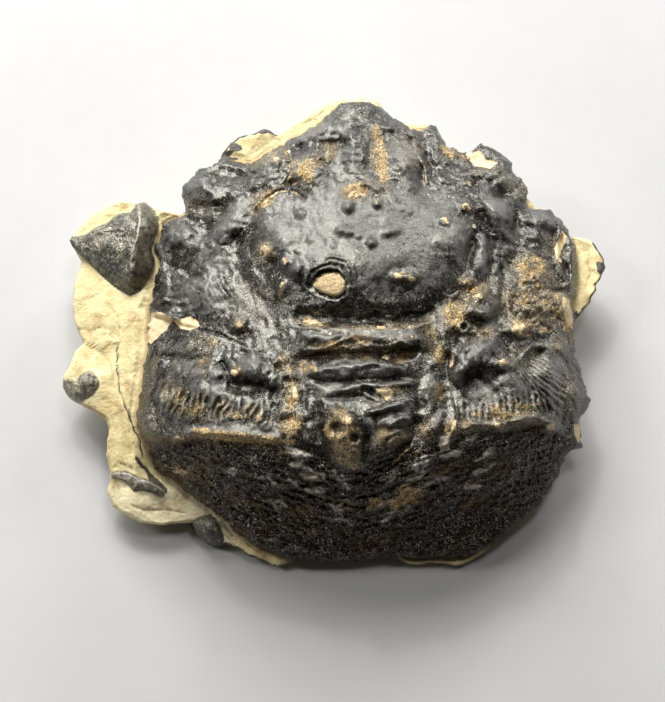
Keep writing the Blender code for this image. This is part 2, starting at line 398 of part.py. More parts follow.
# Wrinkles that step down the rear slope towards the middle: (points, half width, rise in mm)
WRINKLES = [
    ([(281, 452), (298, 455), (316, 459)], 2.6, 0.75), ([(276, 458), (296, 462), (314, 467)], 2.4, 0.6),
    ([(286, 466), (300, 469), (310, 473)], 2.4, 0.7), ([(300, 474), (314, 478), (327, 482)], 2.4, 0.7),
    ([(308, 484), (322, 489), (336, 495)], 2.2, 0.55), ([(334, 501), (343, 505), (352, 511)], 2.4, 0.7),
    ([(412, 478), (424, 473), (437, 469)], 2.4, 0.75), ([(418, 488), (432, 481), (448, 476)], 2.2, 0.6),
    ([(432, 462), (446, 456), (460, 452)], 2.4, 0.65), ([(440, 452), (456, 446), (472, 443)], 2.2, 0.5),
    ([(398, 500), (412, 493), (426, 487)], 2.6, 0.6), ([(372, 509), (386, 503), (398, 496)], 2.6, 0.6),
    ([(405, 485), (416, 480), (428, 478)], 2.2, 0.5), ([(350, 478), (360, 486), (372, 484)], 2.4, 0.5),
    ([(330, 470), (340, 480), (354, 488)], 2.2, 0.5), ([(380, 482), (394, 472), (406, 462)], 2.4, 0.6),
    ([(254, 460), (275, 470), (292, 482)], 2.4, 0.4), ([(470, 458), (490, 450), (512, 448)], 2.4, 0.4),
]

HOLE = [(311, 284), (315, 276), (321, 271), (330, 269), (338, 270), (342, 276), (342, 284), (340, 291), (336, 294), (329, 293), (319, 289)]

_shell_base = Sheet(SHELL_EDGE_HEIGHTS + SHELL_HEIGHTS)
_stone_base = Sheet(STONE_HEIGHTS)


def shell_height(u, v, edge):
    """Height of the carapace without relief; edge is the distance in from its outline."""
    lip = np.clip(1.0 - edge / 13.0, 0.0, 1.0)
    return _shell_base(u, v) - 0.9 * (1.0 - np.sqrt(np.clip(1.0 - lip * lip, 0.0, 1.0)))


def shell_relief(u, v, fine=True):
    """Rise in mm of the lobes, knobs, ridges and grooves."""
    rise = np.zeros(np.shape(u))
    least = 0.0 if fine else 8.0
    if fine:
        wu = 1.3 * fractal(u / 16.0, v / 16.0, 0.0, 3, 2)
        wv = 1.3 * fractal(u / 16.0, v / 16.0, 5.0, 4, 2)
    else:
        wu = wv = 0.0
    for cu, cv, ru, rv, turn, high in SWELLINGS:
        if min(ru, rv) < least:
            continue
        c, s = math.cos(math.radians(turn)), math.sin(math.radians(turn))
        du, dv = u + wu - cu, v + wv - cv
        r2 = ((du * c + dv * s) / ru) ** 2 + ((-du * s + dv * c) / rv) ** 2
        rise = rise + high * np.exp(-0.9 * np.minimum(r2, 30.0) ** 1.25)
    for points, wide, high, taper in CREASES:
        w = max(wide, 0.0 if fine else 6.5)
        if not fine and wide < 4.0:
            continue
        p = np.asarray(points, float)
        lo, hi = p.min(0) - 4 * w, p.max(0) + 4 * w
        near = (u > lo[0]) & (u < hi[0]) & (v > lo[1]) & (v < hi[1])
        if not near.any():
            continue
        un, vn = u[near] + (wu[near] if fine else 0.0), v[near] + (wv[near] if fine else 0.0)
        d, along, _ = line_distance(un, vn, points)
        ends = smooth(np.minimum(along, 1 - along) / max(taper, 0.02) * 0.5 + 0.25)
        rise[near] += high * ends * np.exp(-(d / w) ** 2)
    return rise
# ---------------------------------------------------------------- loose shell pieces
CLAW_OUTLINE = [
    (69, 240), (72, 237), (80, 237), (86, 235), (92, 231), (98, 227), (108, 223), (114, 217), (120, 214), (130, 213),
    (135, 207), (139, 203), (145, 202), (150, 206), (154, 212), (157, 219), (159, 226), (156, 232), (152, 240),
    (151, 246), (152, 253), (155, 260), (154, 268), (151, 275), (147, 281), (144, 287), (139, 292), (130, 296),
    (124, 293), (115, 287), (105, 279), (95, 268), (85, 258), (77, 251), (72, 247),
]
CLAW_CENTRE = (122, 248)
CLAW_HEIGHTS = [
    (139, 204, 12.6), (138, 216, 14.4), (138, 235, 15.0), (133, 255, 14.6), (131, 272, 13.5), (130, 296, 10.4),
    (70, 241, 9.4), (90, 234, 11.0), (110, 223, 12.4), (124, 214, 13.0), (82, 255, 9.2), (104, 278, 9.6),
    (116, 288, 10.0), (96, 246, 11.6), (112, 244, 13.0), (122, 262, 12.9), (106, 262, 11.2), (150, 207, 12.7),
    (159, 225, 12.6), (149, 238, 13.9), (152, 250, 12.8), (154, 266, 12.2), (146, 282, 11.2), (143, 262, 13.7),
    (125, 232, 14.1), (119, 278, 11.6),
]
CLAW_FLOOR = 7.4

LEG_END_OUTLINE = [
    (63, 379), (68, 380), (73, 382), (77, 382), (79, 377), (83, 373), (90, 371), (96, 376), (99, 383), (98, 389),
    (93, 394), (87, 399), (80, 402), (74, 400), (67, 395), (63, 388),
]
LEG_END_CENTRE = (82, 388)
LEG_END_HEIGHTS = [
    (64, 381, 7.4), (66, 393, 6.9), (80, 401, 7.2), (74, 391, 8.2), (83, 375, 9.2), (96, 378, 9.5), (98, 388, 9.0),
    (90, 383, 9.9), (88, 396, 8.3), (80, 388, 8.7),
]
LEG_END_FLOOR = 5.6

SLIVER_OUTLINE = [
    (110, 474), (114, 472), (126, 472), (132, 474), (140, 478), (150, 481), (160, 487), (165, 492), (163, 496),
    (156, 493), (148, 491), (141, 490), (135, 492), (130, 487), (124, 480), (117, 476), (112, 477),
]
SLIVER_CENTRE = (138, 484)
SLIVER_HEIGHTS = [(110, 475, 6.2), (126, 473, 6.9), (127, 483, 6.5), (140, 479, 7.2), (137, 491, 6.4), (152, 482, 7.5), (150, 491, 6.7), (164, 493, 7.0), (138, 485, 7.1)]
SLIVER_FLOOR = 4.6

LOWER_LEG_OUTLINE = [
    (192, 523), (195, 519), (202, 516), (210, 514.5), (214, 518), (219, 524), (222, 531), (224, 540), (221, 545),
    (212, 544), (205, 540), (198, 533),
]
LOWER_LEG_CENTRE = (210, 528)
LOWER_LEG_HEIGHTS = [
    (193, 524, 3.7), (203, 516, 4.2), (212, 516, 4.0), (220, 526, 3.6), (224, 538, 2.4), (214, 544, 2.2), (201, 536, 2.9),
    (209, 526, 4.9), (215, 533, 4.2),
]
LOWER_LEG_FLOOR = 0.8


# ---------------------------------------------------------------- ring solids
def zip_rings(a0, na, b0, nb):
    """Triangles between an inner ring of na points from index a0 and an outer ring of nb from b0."""
    t = np.concatenate([(np.arange(na) + 1.0) / na, (np.arange(nb) + 1.0) / nb])
    order = np.argsort(t, kind="stable")
    on_a = order < na
    i = np.cumsum(on_a) - on_a
    j = np.cumsum(~on_a) - ~on_a
    first = a0 + i % na
    second = b0 + j % nb
    third = np.where(on_a, a0 + (i + 1) % na, b0 + (j + 1) % nb)
    return np.stack([first, second, third], 1)


def ring_mesh(name, rings, first_pole, last_pole):
    """A closed mesh through rings of points in mm, ended by poles or, for None, by a flat face."""
    points, faces, caps, starts = [], [], [], []
    count = 0
    for r in rings:
        starts.append(count)
        points.append(r)
        count += len(r)
    for k in range(len(rings) - 1):
        faces.append(zip_rings(starts[k], len(rings[k]), starts[k + 1], len(rings[k + 1])))
    for pole, k, turn in ((first_pole, 0, 1), (last_pole, len(rings) - 1, -1)):
        n = len(rings[k])
        ring = starts[k] + np.arange(n)
        if pole is None:
            caps.append([int(x) for x in (ring if turn > 0 else ring[::-1])])
            continue
        points.append(np.asarray(pole, float)[None])
        fan = np.stack([np.full(n, count), ring, np.roll(ring, -1)], 1)
        faces.append(fan if turn > 0 else fan[:, ::-1])
        count += 1
    verts = np.concatenate(points) * 0.001
    tris = np.concatenate(faces)
    mesh = bpy.data.meshes.new(name)
    mesh.from_pydata([tuple(p) for p in verts.tolist()], [], tris.tolist() + caps)
    mesh.update()
    work = bmesh.new()
    work.from_mesh(mesh)
    bmesh.ops.recalc_face_normals(work, faces=work.faces)
    work.to_mesh(mesh)
    work.free()
    for p in mesh.polygons:
        p.use_smooth = True
    return mesh


def soft_ring(values, reach):
    """A closed run of values averaged over reach neighbours each side."""
    n = len(values)
    k = np.exp(-0.5 * (np.arange(-3 * reach, 3 * reach + 1) / reach) ** 2)
    k /= k.sum()
    return sum(w * np.roll(values, s) for s, w in zip(range(-3 * reach, 3 * reach + 1), k))


def edge_radius(outline, centre, n):
    """(full, soft) radius of an outline at n even angles; both are read finely and then picked."""
    fine = 1440
    a = 2 * np.pi * np.arange(fine) / fine
    full = ring_radius(outline, centre, a)
    soft = soft_ring(full, 36)
    at = np.arange(n) * (fine / n)
    wrap = np.arange(fine + 1)
    return np.interp(at, wrap, np.append(full, full[0])), np.interp(at, wrap, np.append(soft, soft[0]))


def shell_ring(n, share):
    """Drawing points of one ring of the carapace and their distance in from its outline."""
    a = 2 * np.pi * np.arange(n) / n
    full, soft = edge_radius(SHELL_OUTLINE, CENTRE, n)
    r = share * (soft + (full - soft) * share ** 6)
    return CENTRE[0] + r * np.cos(a), CENTRE[1] + r * np.sin(a), np.maximum(full - r, 0.0)


def shell_normal(u, v, edge, h=1.5):
    """Outward direction of the smooth carapace surface."""
    e = np.maximum(edge, 2.0)
    pu = place(u + h, v, shell_height(u + h, v, e)) - place(u - h, v, shell_height(u - h, v, e))
    pv = place(u, v + h, shell_height(u, v + h, e)) - place(u, v - h, shell_height(u, v - h, e))
    n = np.cross(pv, pu)
    n /= np.linalg.norm(n, axis=-1, keepdims=True)
    return np.where(n[..., 2:] < 0, -n, n)


def raise_along_sight(p, normal, rise):
    """Moves points along their sight lines so that the surface rises by rise mm."""
    s = EYE - p
    s /= np.linalg.norm(s, axis=-1, keepdims=True)
    lean = np.maximum((s * normal).sum(-1), 0.45)
    return p + s * (rise / lean)[..., None]


INNER_SHARES = [0.10, 0.22, 0.35, 0.49, 0.63, 0.77, 0.90, 1.0]   # of the way to the rim's inner line
INNER_COUNTS = [12, 24, 36, 48, 60, 72, 96, 132]
RIM_WIDTH = 7.0        # drawing units from the outline to the rim's inner line
RIM_DROP = 0.95        # mm, shell thickness at its rim
BED_GAP = 0.38         # mm between shell and stone


def under_shell(n, share, depth):
    """One ring of the surface depth mm beneath the carapace."""
    a = 2 * np.pi * np.arange(n) / n
    full, soft = edge_radius(SHELL_OUTLINE, CENTRE, n)
    rim = full - RIM_WIDTH
    r = rim * share if share > 0.95 else (soft - RIM_WIDTH) * share
    u, v = CENTRE[0] + r * np.cos(a), CENTRE[1] + r * np.sin(a)
    edge = np.maximum(full - r, 0.0)
    p = place(u, v, shell_height(u, v, edge))
    return p - depth * shell_normal(u, v, edge, 12.0 if share < 0.95 else 4.0)


def bed_direction(n, share):
    """The way from shell to stone in each place of a ring: down the sight line and inwards."""
    a = 2 * np.pi * np.arange(n) / n
    out = np.stack([np.cos(a), -np.sin(a), np.zeros(n)], 1)
    d = np.array([0.0, -FORWARD[1], -FORWARD[2]]) + 0.9 * share ** 2 * out
    return -d / np.linalg.norm(d, axis=1, keepdims=True)


def rim_under(n):
    """The lower edge of the carapace's rim."""
    u, v, edge = shell_ring(n, 1.0)
    return place(u, v, shell_height(u, v, edge) - RIM_DROP)

# ---------------------------------------------------------------- scene tidy-up
for stale in list(bpy.data.objects):
    bpy.data.objects.remove(stale, do_unlink=True)

whole = bpy.data.collections.new(OBJECT_NAME)
bpy.context.scene.collection.children.link(whole)
tools = bpy.data.collections.new("cutters")
bpy.context.scene.collection.children.link(tools)


def finish_material(name, colour, rough, metal=0.0):
    m = bpy.data.materials.new(name)
    m.use_nodes = True
    shader = m.node_tree.nodes["Principled BSDF"]
    shader.inputs["Base Color"].default_value = (*colour, 1.0)
    shader.inputs["Roughness"].default_value = rough
    shader.inputs["Metallic"].default_value = metal
    return m


def add_part(name, mesh, material):
    o = bpy.data.objects.new(name, mesh)
    mesh.materials.append(material)
    whole.objects.link(o)
    return o


def add_cutter(name, mesh):
    o = bpy.data.objects.new(name, mesh)
    o.hide_render = True
    o.display_type = "WIRE"
    tools.objects.link(o)
    return o


def cut(target, cutter):
    m = target.modifiers.new("cut_" + cutter.name, "BOOLEAN")
    m.operation = "DIFFERENCE"
    m.solver = "EXACT"
    m.object = cutter


# ---------------------------------------------------------------- carapace
def carapace_rings():
    rings = []
    for k in range(1, OUTER_RINGS + 1):
        u, v, edge = shell_ring(6 * k, k / OUTER_RINGS)
        p = place(u, v, shell_height(u, v, edge))
        rise = shell_relief(u, v, fine=False)
        rise *= smooth(edge / 14.0) if k < OUTER_RINGS else 0.0
        rings.append(raise_along_sight(p, shell_normal(u, v, edge), rise))
    rings.append(rim_under(6 * OUTER_RINGS))
    for count, share in list(zip(INNER_COUNTS, INNER_SHARES))[::-1]:
        depth = SHELL_DEPTH if share < 0.95 else RIM_DROP + 0.25
        rings.append(under_shell(count, share, depth))
    return rings


def pole(depth, rise=0.0):
    u, v = np.array([CENTRE[0]]), np.array([CENTRE[1]])
    p = place(u, v, shell_height(u, v, np.array([200.0])))
    return (p - (depth - rise) * shell_normal(u, v, np.array([200.0])))[0]


top_rise = float(shell_relief(np.array([CENTRE[0]]), np.array([CENTRE[1]]), fine=False)[0])
carapace_mesh = ring_mesh("carapace", carapace_rings(), pole(0.0, top_rise), pole(SHELL_DEPTH))
shell_black = finish_material("shell_black", (0.018, 0.016, 0.014), 0.38)
carapace = add_part("carapace", carapace_mesh, shell_black)

hole = np.asarray(HOLE, float)
hole_mesh = ring_mesh("hole_cutter", [place(hole[:, 0], hole[:, 1], 34.0), place(hole[:, 0], hole[:, 1], 18.0)], None, None)
cut(carapace, add_cutter("hole_cutter", hole_mesh))

# ---------------------------------------------------------------- stone
stone_sheet = _stone_base


def stone_radius(n):
    """Outline radius of the stone about the carapace's middle, never inside the rim's inner line."""
    a = 2 * np.pi * np.arange(n) / n
    shell, _ = edge_radius(SHELL_OUTLINE, CENTRE, n)
    fine = 1440
    full = ring_radius(STONE_OUTLINE, CENTRE, 2 * np.pi * np.arange(fine) / fine)
    stone = np.interp(np.arange(n) * (fine / n), np.arange(fine + 1), np.append(full, full[0]))
    return a, shell, np.maximum(stone, shell - RIM_WIDTH + 4.0)


def stone_rings():
    rings = []
    for count, share in zip(INNER_COUNTS, INNER_SHARES):
        depth = SHELL_DEPTH if share < 0.95 else RIM_DROP + 0.25
        rings.append(under_shell(count, share, depth) + BED_GAP * bed_direction(count, share))
    n = STONE_RINGS
    a, shell, stone = stone_radius(n)
    start = shell - RIM_WIDTH
    rim_low = rim_under(n) + BED_GAP * bed_direction(n, 1.0)
    rim_z = rim_low[:, 2]
    inner = rings[-1]
    under_rim = np.minimum(shell, start + (stone - start) * 0.3)
    first = np.minimum(shell + 3.0, start + (stone - start) * 0.55)
    for r in (under_rim, first, first + (stone - first) * 0.45, stone):
        u, v = CENTRE[0] + r * np.cos(a), CENTRE[1] + r * np.sin(a)
        beyond = r - shell
        roof = rim_z - 0.16 + np.maximum(beyond - 7.0, 0.0) * 0.06
        open_air = place(u, v, np.maximum(np.minimum(stone_sheet(u, v), roof), 0.9))
        t = ((r - start) / RIM_WIDTH)[:, None]
        covered = inner + (rim_low - inner) * t
        rings.append(np.where((beyond < 1e-6)[:, None], covered, open_air))
    edge = rings[-1]
    middle = edge[:, :2].mean(0)
    for share, drop in ((0.985, 0.30), (0.95, 0.58), (0.88, 0.80), (0.76, 0.93)):
        p = edge.copy()
        p[:, :2] = middle + (edge[:, :2] - middle) * share
        p[:, 2] = edge[:, 2] * (1 - drop)
        wobble = fractal(p[:, 0] / 9.0, p[:, 1] / 9.0, p[:, 2] / 7.0, 21, 3)
        p[:, :2] -= (p[:, :2] - middle) * (0.035 * np.abs(wobble) * (1 if share < 0.98 else 0.3))[:, None]
        p[:, 2] = np.maximum(p[:, 2], 0.35)
        rings.append(p)
    base = edge.copy()
    reach = edge[:, :2] - middle
    size = np.linalg.norm(reach, axis=1)
    size = BASE_SHARE * soft_ring(size, 5)
    angle = np.arctan2(reach[:, 1], reach[:, 0])
    base[:, 0] = middle[0] + size * np.cos(angle)
    base[:, 1] = middle[1] + size * np.sin(angle)
    base[:, 2] = 0.0
    rings.append(base)
    return rings


stone_mesh = ring_mesh("matrix", stone_rings(), pole(SHELL_DEPTH) + BED_GAP * bed_direction(1, 0.0)[0], None)
stone_cream = finish_material("stone_cream", (0.66, 0.55, 0.36), 0.9)
matrix = add_part("matrix", stone_mesh, stone_cream)


# ---------------------------------------------------------------- claw segment and leg scraps
def scrap_rings(outline, centre, heights, floor, counts, inset=0.96):
    sheet = Sheet(heights, 1e-3)
    rings = []
    for k, n in enumerate(counts):
        share = (k + 1) / len(counts)
        a = 2 * np.pi * np.arange(n) / n
        r = ring_radius(outline, centre, a) * share
        u, v = centre[0] + r * np.cos(a), centre[1] + r * np.sin(a)
        z = sheet(u, v) - 0.35 * (share > 0.99)
        rings.append(place(u, v, z))
    low = rings[-1].copy()
    mid = low[:, :2].mean(0)
    low[:, :2] = mid + (low[:, :2] - mid) * inset
    low[:, 2] = floor
    rings.append(low)
    top = place(np.array(centre[0]), np.array(centre[1]), sheet(np.array([centre[0]]), np.array([centre[1]])))[0]
    return rings, top


def bed_mesh(name, edge_ring, floor):
    """A straight-sided bed, BED_CLEAR wider than the scrap's plan and deeper than its floor."""
    e = edge_ring[:, :2]
    mid = e.mean(0)
    reach = np.linalg.norm(e - mid, axis=1, keepdims=True)
    wide = mid + (e - mid) * (1 + BED_SIDE / reach)
    rings = []
    for z in (floor - BED_CLEAR, 45.0):
        rings.append(np.concatenate([wide, np.full((len(wide), 1), z)], 1))
    return ring_mesh(name, rings, None, None)


leg_grey = finish_material("leg_grey", (0.085, 0.08, 0.066), 0.5)
for part_name, outline, centre, heights, floor, counts in (
    ("left_claw_segment", CLAW_OUTLINE, CLAW_CENTRE, CLAW_HEIGHTS, CLAW_FLOOR, (8, 16, 24, 32, 40)),
    ("left_leg_end", LEG_END_OUTLINE, LEG_END_CENTRE, LEG_END_HEIGHTS, LEG_END_FLOOR, (8, 16, 24)),
    ("leg_sliver", SLIVER_OUTLINE, SLIVER_CENTRE, SLIVER_HEIGHTS, SLIVER_FLOOR, (10, 24)),
    ("lower_leg_piece", LOWER_LEG_OUTLINE, LOWER_LEG_CENTRE, LOWER_LEG_HEIGHTS, LOWER_LEG_FLOOR, (8, 16, 24)),
):
    rings, top = scrap_rings(outline, centre, heights, floor, counts)
    grey = finish_material("leg_grey_" + part_name, (0.085, 0.08, 0.066), 0.5)
    add_part(part_name, ring_mesh(part_name, rings, top, None), grey)
    cut(matrix, add_cutter("bed_" + part_name, bed_mesh("bed_" + part_name, rings[-2], floor)))
bpy.data.materials.remove(leg_grey)
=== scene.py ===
"""Looks of the fossil crab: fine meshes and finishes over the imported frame.
Millimetres in the shape constants; meshes are in metres, +Z up.
"""
import math
import time

import bmesh
import bpy
import numpy as np
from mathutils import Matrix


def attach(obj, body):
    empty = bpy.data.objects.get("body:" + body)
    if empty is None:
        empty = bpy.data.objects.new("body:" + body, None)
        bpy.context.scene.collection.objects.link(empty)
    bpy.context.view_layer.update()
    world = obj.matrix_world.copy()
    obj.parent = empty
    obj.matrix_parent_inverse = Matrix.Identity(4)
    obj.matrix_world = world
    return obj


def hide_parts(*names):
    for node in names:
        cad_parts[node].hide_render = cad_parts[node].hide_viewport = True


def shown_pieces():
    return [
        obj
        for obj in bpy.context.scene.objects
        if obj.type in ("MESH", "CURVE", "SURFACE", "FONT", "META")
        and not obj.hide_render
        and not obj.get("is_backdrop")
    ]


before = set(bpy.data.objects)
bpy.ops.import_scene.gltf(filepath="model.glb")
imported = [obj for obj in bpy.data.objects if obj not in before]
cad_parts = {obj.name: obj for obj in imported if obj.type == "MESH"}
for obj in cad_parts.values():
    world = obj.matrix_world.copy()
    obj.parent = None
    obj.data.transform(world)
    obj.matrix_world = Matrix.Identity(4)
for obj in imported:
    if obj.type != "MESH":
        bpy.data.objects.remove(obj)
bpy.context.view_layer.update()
began = time.time()

SHIFT_X, SHIFT_Y = -0.55, -7.215   # mm, as in the model's own construction
OUTER_RINGS = 164                  # rings of facets on the carapace
SHELL_DEPTH = 2.2
BASE_SHARE = 0.60
# ---------------------------------------------------------------- drawing plane
# Landmarks are written as (u, v) on an inclined drawing of the fossil: u runs to
# its right side and v runs down from its front edge to its rear edge.  place()
# slides a drawing point along its sight line to a height in mm above the base.
TILT = math.radians(62.0)        # slope of the sight lines
SIGHT = 260.0                    # mm from the sight point to the middle of the fossil
SCALE = 1725.0                   # drawing units per unit of slope
MID_U, MID_V = 332.5, 351.0      # drawing point on the middle sight line
AIM = (SHIFT_X, SHIFT_Y, 13.0)   # mm, where the middle sight line aims

FORWARD = np.array([0.0, math.cos(TILT), -math.sin(TILT)])
UPWARD = np.array([0.0, math.sin(TILT), math.cos(TILT)])
EYE = np.array(AIM) - SIGHT * FORWARD


def place(u, v, z):
    """Points in mm for drawing points (u, v) at height z mm."""
    u, v, z = np.broadcast_arrays(np.asarray(u, float), np.asarray(v, float), np.asarray(z, float))
    a = (u - MID_U) / SCALE
    b = (MID_V - v) / SCALE
    dy = FORWARD[1] + b * UPWARD[1]
    dz = FORWARD[2] + b * UPWARD[2]
    t = (z - EYE[2]) / dz
    return np.stack([EYE[0] + t * a, EYE[1] + t * dy, EYE[2] + t * dz], -1)


def chart(p):
    """Drawing points (u, v) of points p in mm."""
    rel = p - EYE
    depth = rel @ FORWARD
    return MID_U + SCALE * rel[..., 0] / depth, MID_V - SCALE * (rel @ UPWARD) / depth


# ---------------------------------------------------------------- small tools
def smooth(x):
    x = np.clip(x, 0.0, 1.0)
    return x * x * (3.0 - 2.0 * x)


def hash01(ix, iy, iz, seed):
    """Even pseudo-random numbers in 0..1 from whole numbers."""
    h = (ix.astype(np.int64) * 374761393 + iy.astype(np.int64) * 668265263
         + iz.astype(np.int64) * 2147483647 + seed * 974634777) & 0xFFFFFFFF
    h = ((h ^ (h >> 13)) * 1274126177) & 0xFFFFFFFF
    h = ((h ^ (h >> 16)) * 2246822519) & 0xFFFFFFFF
    return ((h ^ (h >> 15)) & 0xFFFFFF) / float(0xFFFFFF)


def noise3(x, y, z, seed=0):
    """Smooth value noise, about -1..1, one feature per unit."""
    x, y, z = np.broadcast_arrays(np.asarray(x, float), np.asarray(y, float), np.asarray(z, float))
    ix, iy, iz = np.floor(x), np.floor(y), np.floor(z)
    fx, fy, fz = x - ix, y - iy, z - iz
    fx, fy, fz = (f * f * f * (f * (f * 6 - 15) + 10) for f in (fx, fy, fz))
    ix, iy, iz = ix.astype(np.int64), iy.astype(np.int64), iz.astype(np.int64)
    total = 0.0
    for cx in (0, 1):
        wx = fx if cx else 1 - fx
        for cy in (0, 1):
            wy = fy if cy else 1 - fy
            for cz in (0, 1):
                wz = fz if cz else 1 - fz
                total = total + wx * wy * wz * hash01(ix + cx, iy + cy, iz + cz, seed)
    return total * 2 - 1


def fractal(x, y, z, seed=0, octaves=4, gain=0.5):
    total, amp, norm, f = 0.0, 1.0, 0.0, 1.0
    for k in range(octaves):
        total = total + amp * noise3(x * f + 7.3 * k, y * f - 3.1 * k, z * f + 1.7 * k, seed + 11 * k)
        norm += amp
        amp *= gain
        f *= 2.03
    return total / norm


def ring_radius(points, centre, angles):
    """Distance from centre to a closed outline along each angle (farthest crossing)."""
    p = np.asarray(points, float) - np.asarray(centre, float)
    q = np.roll(p, -1, 0)
    e = q - p
    dx, dy = np.cos(angles)[:, None], np.sin(angles)[:, None]
    den = dx * e[None, :, 1] - dy * e[None, :, 0]
    den = np.where(np.abs(den) < 1e-9, 1e-9, den)
    t = (p[None, :, 0] * e[None, :, 1] - p[None, :, 1] * e[None, :, 0]) / den
    s = (p[None, :, 0] * dy - p[None, :, 1] * dx) / den
    hit = (s >= -1e-6) & (s <= 1 + 1e-6) & (t > 0)
    return np.where(hit, t, -1.0).max(1)


def line_distance(u, v, points):
    """(distance, place along 0..1, signed side) of drawing points from a polyline."""
    best = np.full(np.shape(u), 1e9)
    along = np.zeros(np.shape(u))
    side = np.ones(np.shape(u))
    pts = np.asarray(points, float)
    lengths = np.hypot(*(pts[1:] - pts[:-1]).T)
    total = lengths.sum()
    run = 0.0
    for a, b, size in zip(pts[:-1], pts[1:], lengths):
        e = b - a
        t = np.clip(((u - a[0]) * e[0] + (v - a[1]) * e[1]) / (size * size + 1e-12), 0, 1)
        du, dv = u - a[0] - t * e[0], v - a[1] - t * e[1]
        d = np.hypot(du, dv)
        near = d < best
        best = np.where(near, d, best)
        along = np.where(near, (run + t * size) / total, along)
        side = np.where(near, np.sign(e[0] * dv - e[1] * du), side)
        run += size
    return best, along, side


def inside_distance(u, v, points):
    """Distance to a closed outline, positive inside."""
    pts = np.asarray(points, float)
    closed = np.concatenate([pts, pts[:1]])
    d, _, _ = line_distance(u, v, closed)
    odd = np.zeros(np.shape(u), bool)
    for a, b in zip(closed[:-1], closed[1:]):
        if a[1] == b[1]:
            continue
        cross = ((a[1] > v) != (b[1] > v)) & (u < (b[0] - a[0]) * (v - a[1]) / (b[1] - a[1]) + a[0])
        odd ^= cross
    return np.where(odd, d, -d)


class Sheet:
    """A smooth height surface through (u, v, z) control heights (thin plate)."""

    def __init__(self, controls, stiff=1e-4):
        c = np.asarray(controls, float)
        self.p = c[:, :2] / 100.0
        n = len(c)
        d2 = ((self.p[:, None] - self.p[None]) ** 2).sum(-1)
        k = 0.5 * d2 * np.log(d2 + 1e-12) + stiff * np.eye(n)
        q = np.concatenate([np.ones((n, 1)), self.p], 1)
        a = np.zeros((n + 3, n + 3))
        a[:n, :n], a[:n, n:], a[n:, :n] = k, q, q.T
        self.w = np.linalg.solve(a, np.concatenate([c[:, 2], np.zeros(3)]))

    def __call__(self, u, v):
        shape = np.shape(u)
        pu, pv = np.ravel(u) / 100.0, np.ravel(v) / 100.0
        out = np.full(pu.shape, self.w[-3]) + self.w[-2] * pu + self.w[-1] * pv
        for (cu, cv), w in zip(self.p, self.w):
            d2 = (pu - cu) ** 2 + (pv - cv) ** 2
            out += w * 0.5 * d2 * np.log(d2 + 1e-12)
        return out.reshape(shape)


# ---------------------------------------------------------------- outlines
CENTRE = (358.0, 335.0)   # drawing point on the middle of the carapace

SHELL_OUTLINE = [
    (342, 103), (355, 99), (371, 100), (378, 104), (385, 110), (393, 118), (403, 124), (412, 129),
    (419, 132), (424, 131), (427, 126), (431, 124), (436, 126), (441, 135), (446, 146), (454, 149), (465, 154),
    (472, 152), (477, 146), (480, 143), (492, 149), (507, 157), (511, 163), (512, 170), (522, 181), (529, 190),
    (527, 197), (525, 203), (528, 208), (550, 210), (556, 216), (562, 221), (568, 228), (573, 240), (577, 256),
    (578, 276), (577, 290), (574, 302), (575, 322), (574, 343), (575, 357), (580, 363), (582, 372), (586, 390),
    (590, 399), (586, 410), (581, 418), (580, 430), (582, 447), (568, 453), (564, 460), (558, 477), (548, 494),
    (538, 506), (525, 519), (510, 531), (497, 541), (488, 548), (474, 553), (457, 557), (440, 557), (420, 558),
    (400, 557), (388, 555), (375, 558), (360, 560), (345, 561), (330, 562), (310, 560), (288, 560), (276, 553),
    (263, 548), (253, 544), (245, 537), (234, 532), (227, 525), (221, 517), (209, 509), (203, 503), (190, 495),
    (180, 485), (171, 480), (168, 476), (159, 473), (154, 464), (149, 450), (143, 440), (137, 428), (136, 417),
    (140, 395), (143, 375), (148, 350), (148, 335), (150, 322), (149, 309), (153, 300), (154, 280), (160, 261),
    (154, 246), (158, 243), (164, 225), (170, 221), (185, 214), (184, 205), (182, 197), (183, 187), (191, 179),
    (195, 173), (200, 169), (214, 164), (229, 160), (238, 162), (251, 163), (262, 156), (270, 150), (277, 146),
    (284, 146), (288, 140), (301, 133), (320, 124), (331, 111),
]

# Outline of the stone where it shows beyond the shell; elsewhere it stops short of it.
STONE_OUTLINE = [
    (407, 124), (427, 124.5), (430, 128), (445, 150), (500, 165), (520, 192), (545, 216), (562, 235),
    (570, 237), (578, 237), (586, 239), (593, 243), (597, 250), (603, 258), (606, 267), (602, 275), (600, 280),
    (595, 284), (596, 290), (591, 297), (590, 303), (582, 311), (575, 321), (566, 326), (566, 345),
    (570, 375), (577, 400), (573, 425), (570, 445), (552, 475), (535, 500), (508, 526), (490, 549), (474, 559),
    (457, 565), (442, 563), (431, 562), (417, 565), (408, 564), (388, 553), (360, 553), (330, 554), (305, 556),
    (290, 562), (276, 567), (268, 562), (260, 558), (247, 556), (243, 551), (225, 543), (205, 530), (192, 521),
    (180, 523), (161, 525), (139, 522), (124, 514), (112, 506), (107, 492), (110, 481), (111, 473), (109, 466),
    (106, 454), (108, 437), (109, 427), (104, 417), (94, 411), (82, 404), (73, 397), (65, 391), (63, 386),
    (64, 376), (72, 361), (76, 350), (85, 343), (76, 328), (73, 316), (73, 297), (75, 280), (80, 268),
    (81, 261), (76, 253), (72, 244), (72, 237), (80, 225), (92, 214), (105, 205), (121, 201), (136, 203),
    (153, 208), (180, 215), (190, 208), (192, 192), (200, 178), (214, 168), (221, 157), (224, 151), (230, 144),
    (238, 137), (251, 135), (261, 129), (268, 130), (276, 135), (286, 131), (299, 122), (315, 110), (331, 102),
    (343, 99), (355, 97.5), (371, 98.5), (379, 103), (386, 112), (395, 121),
]

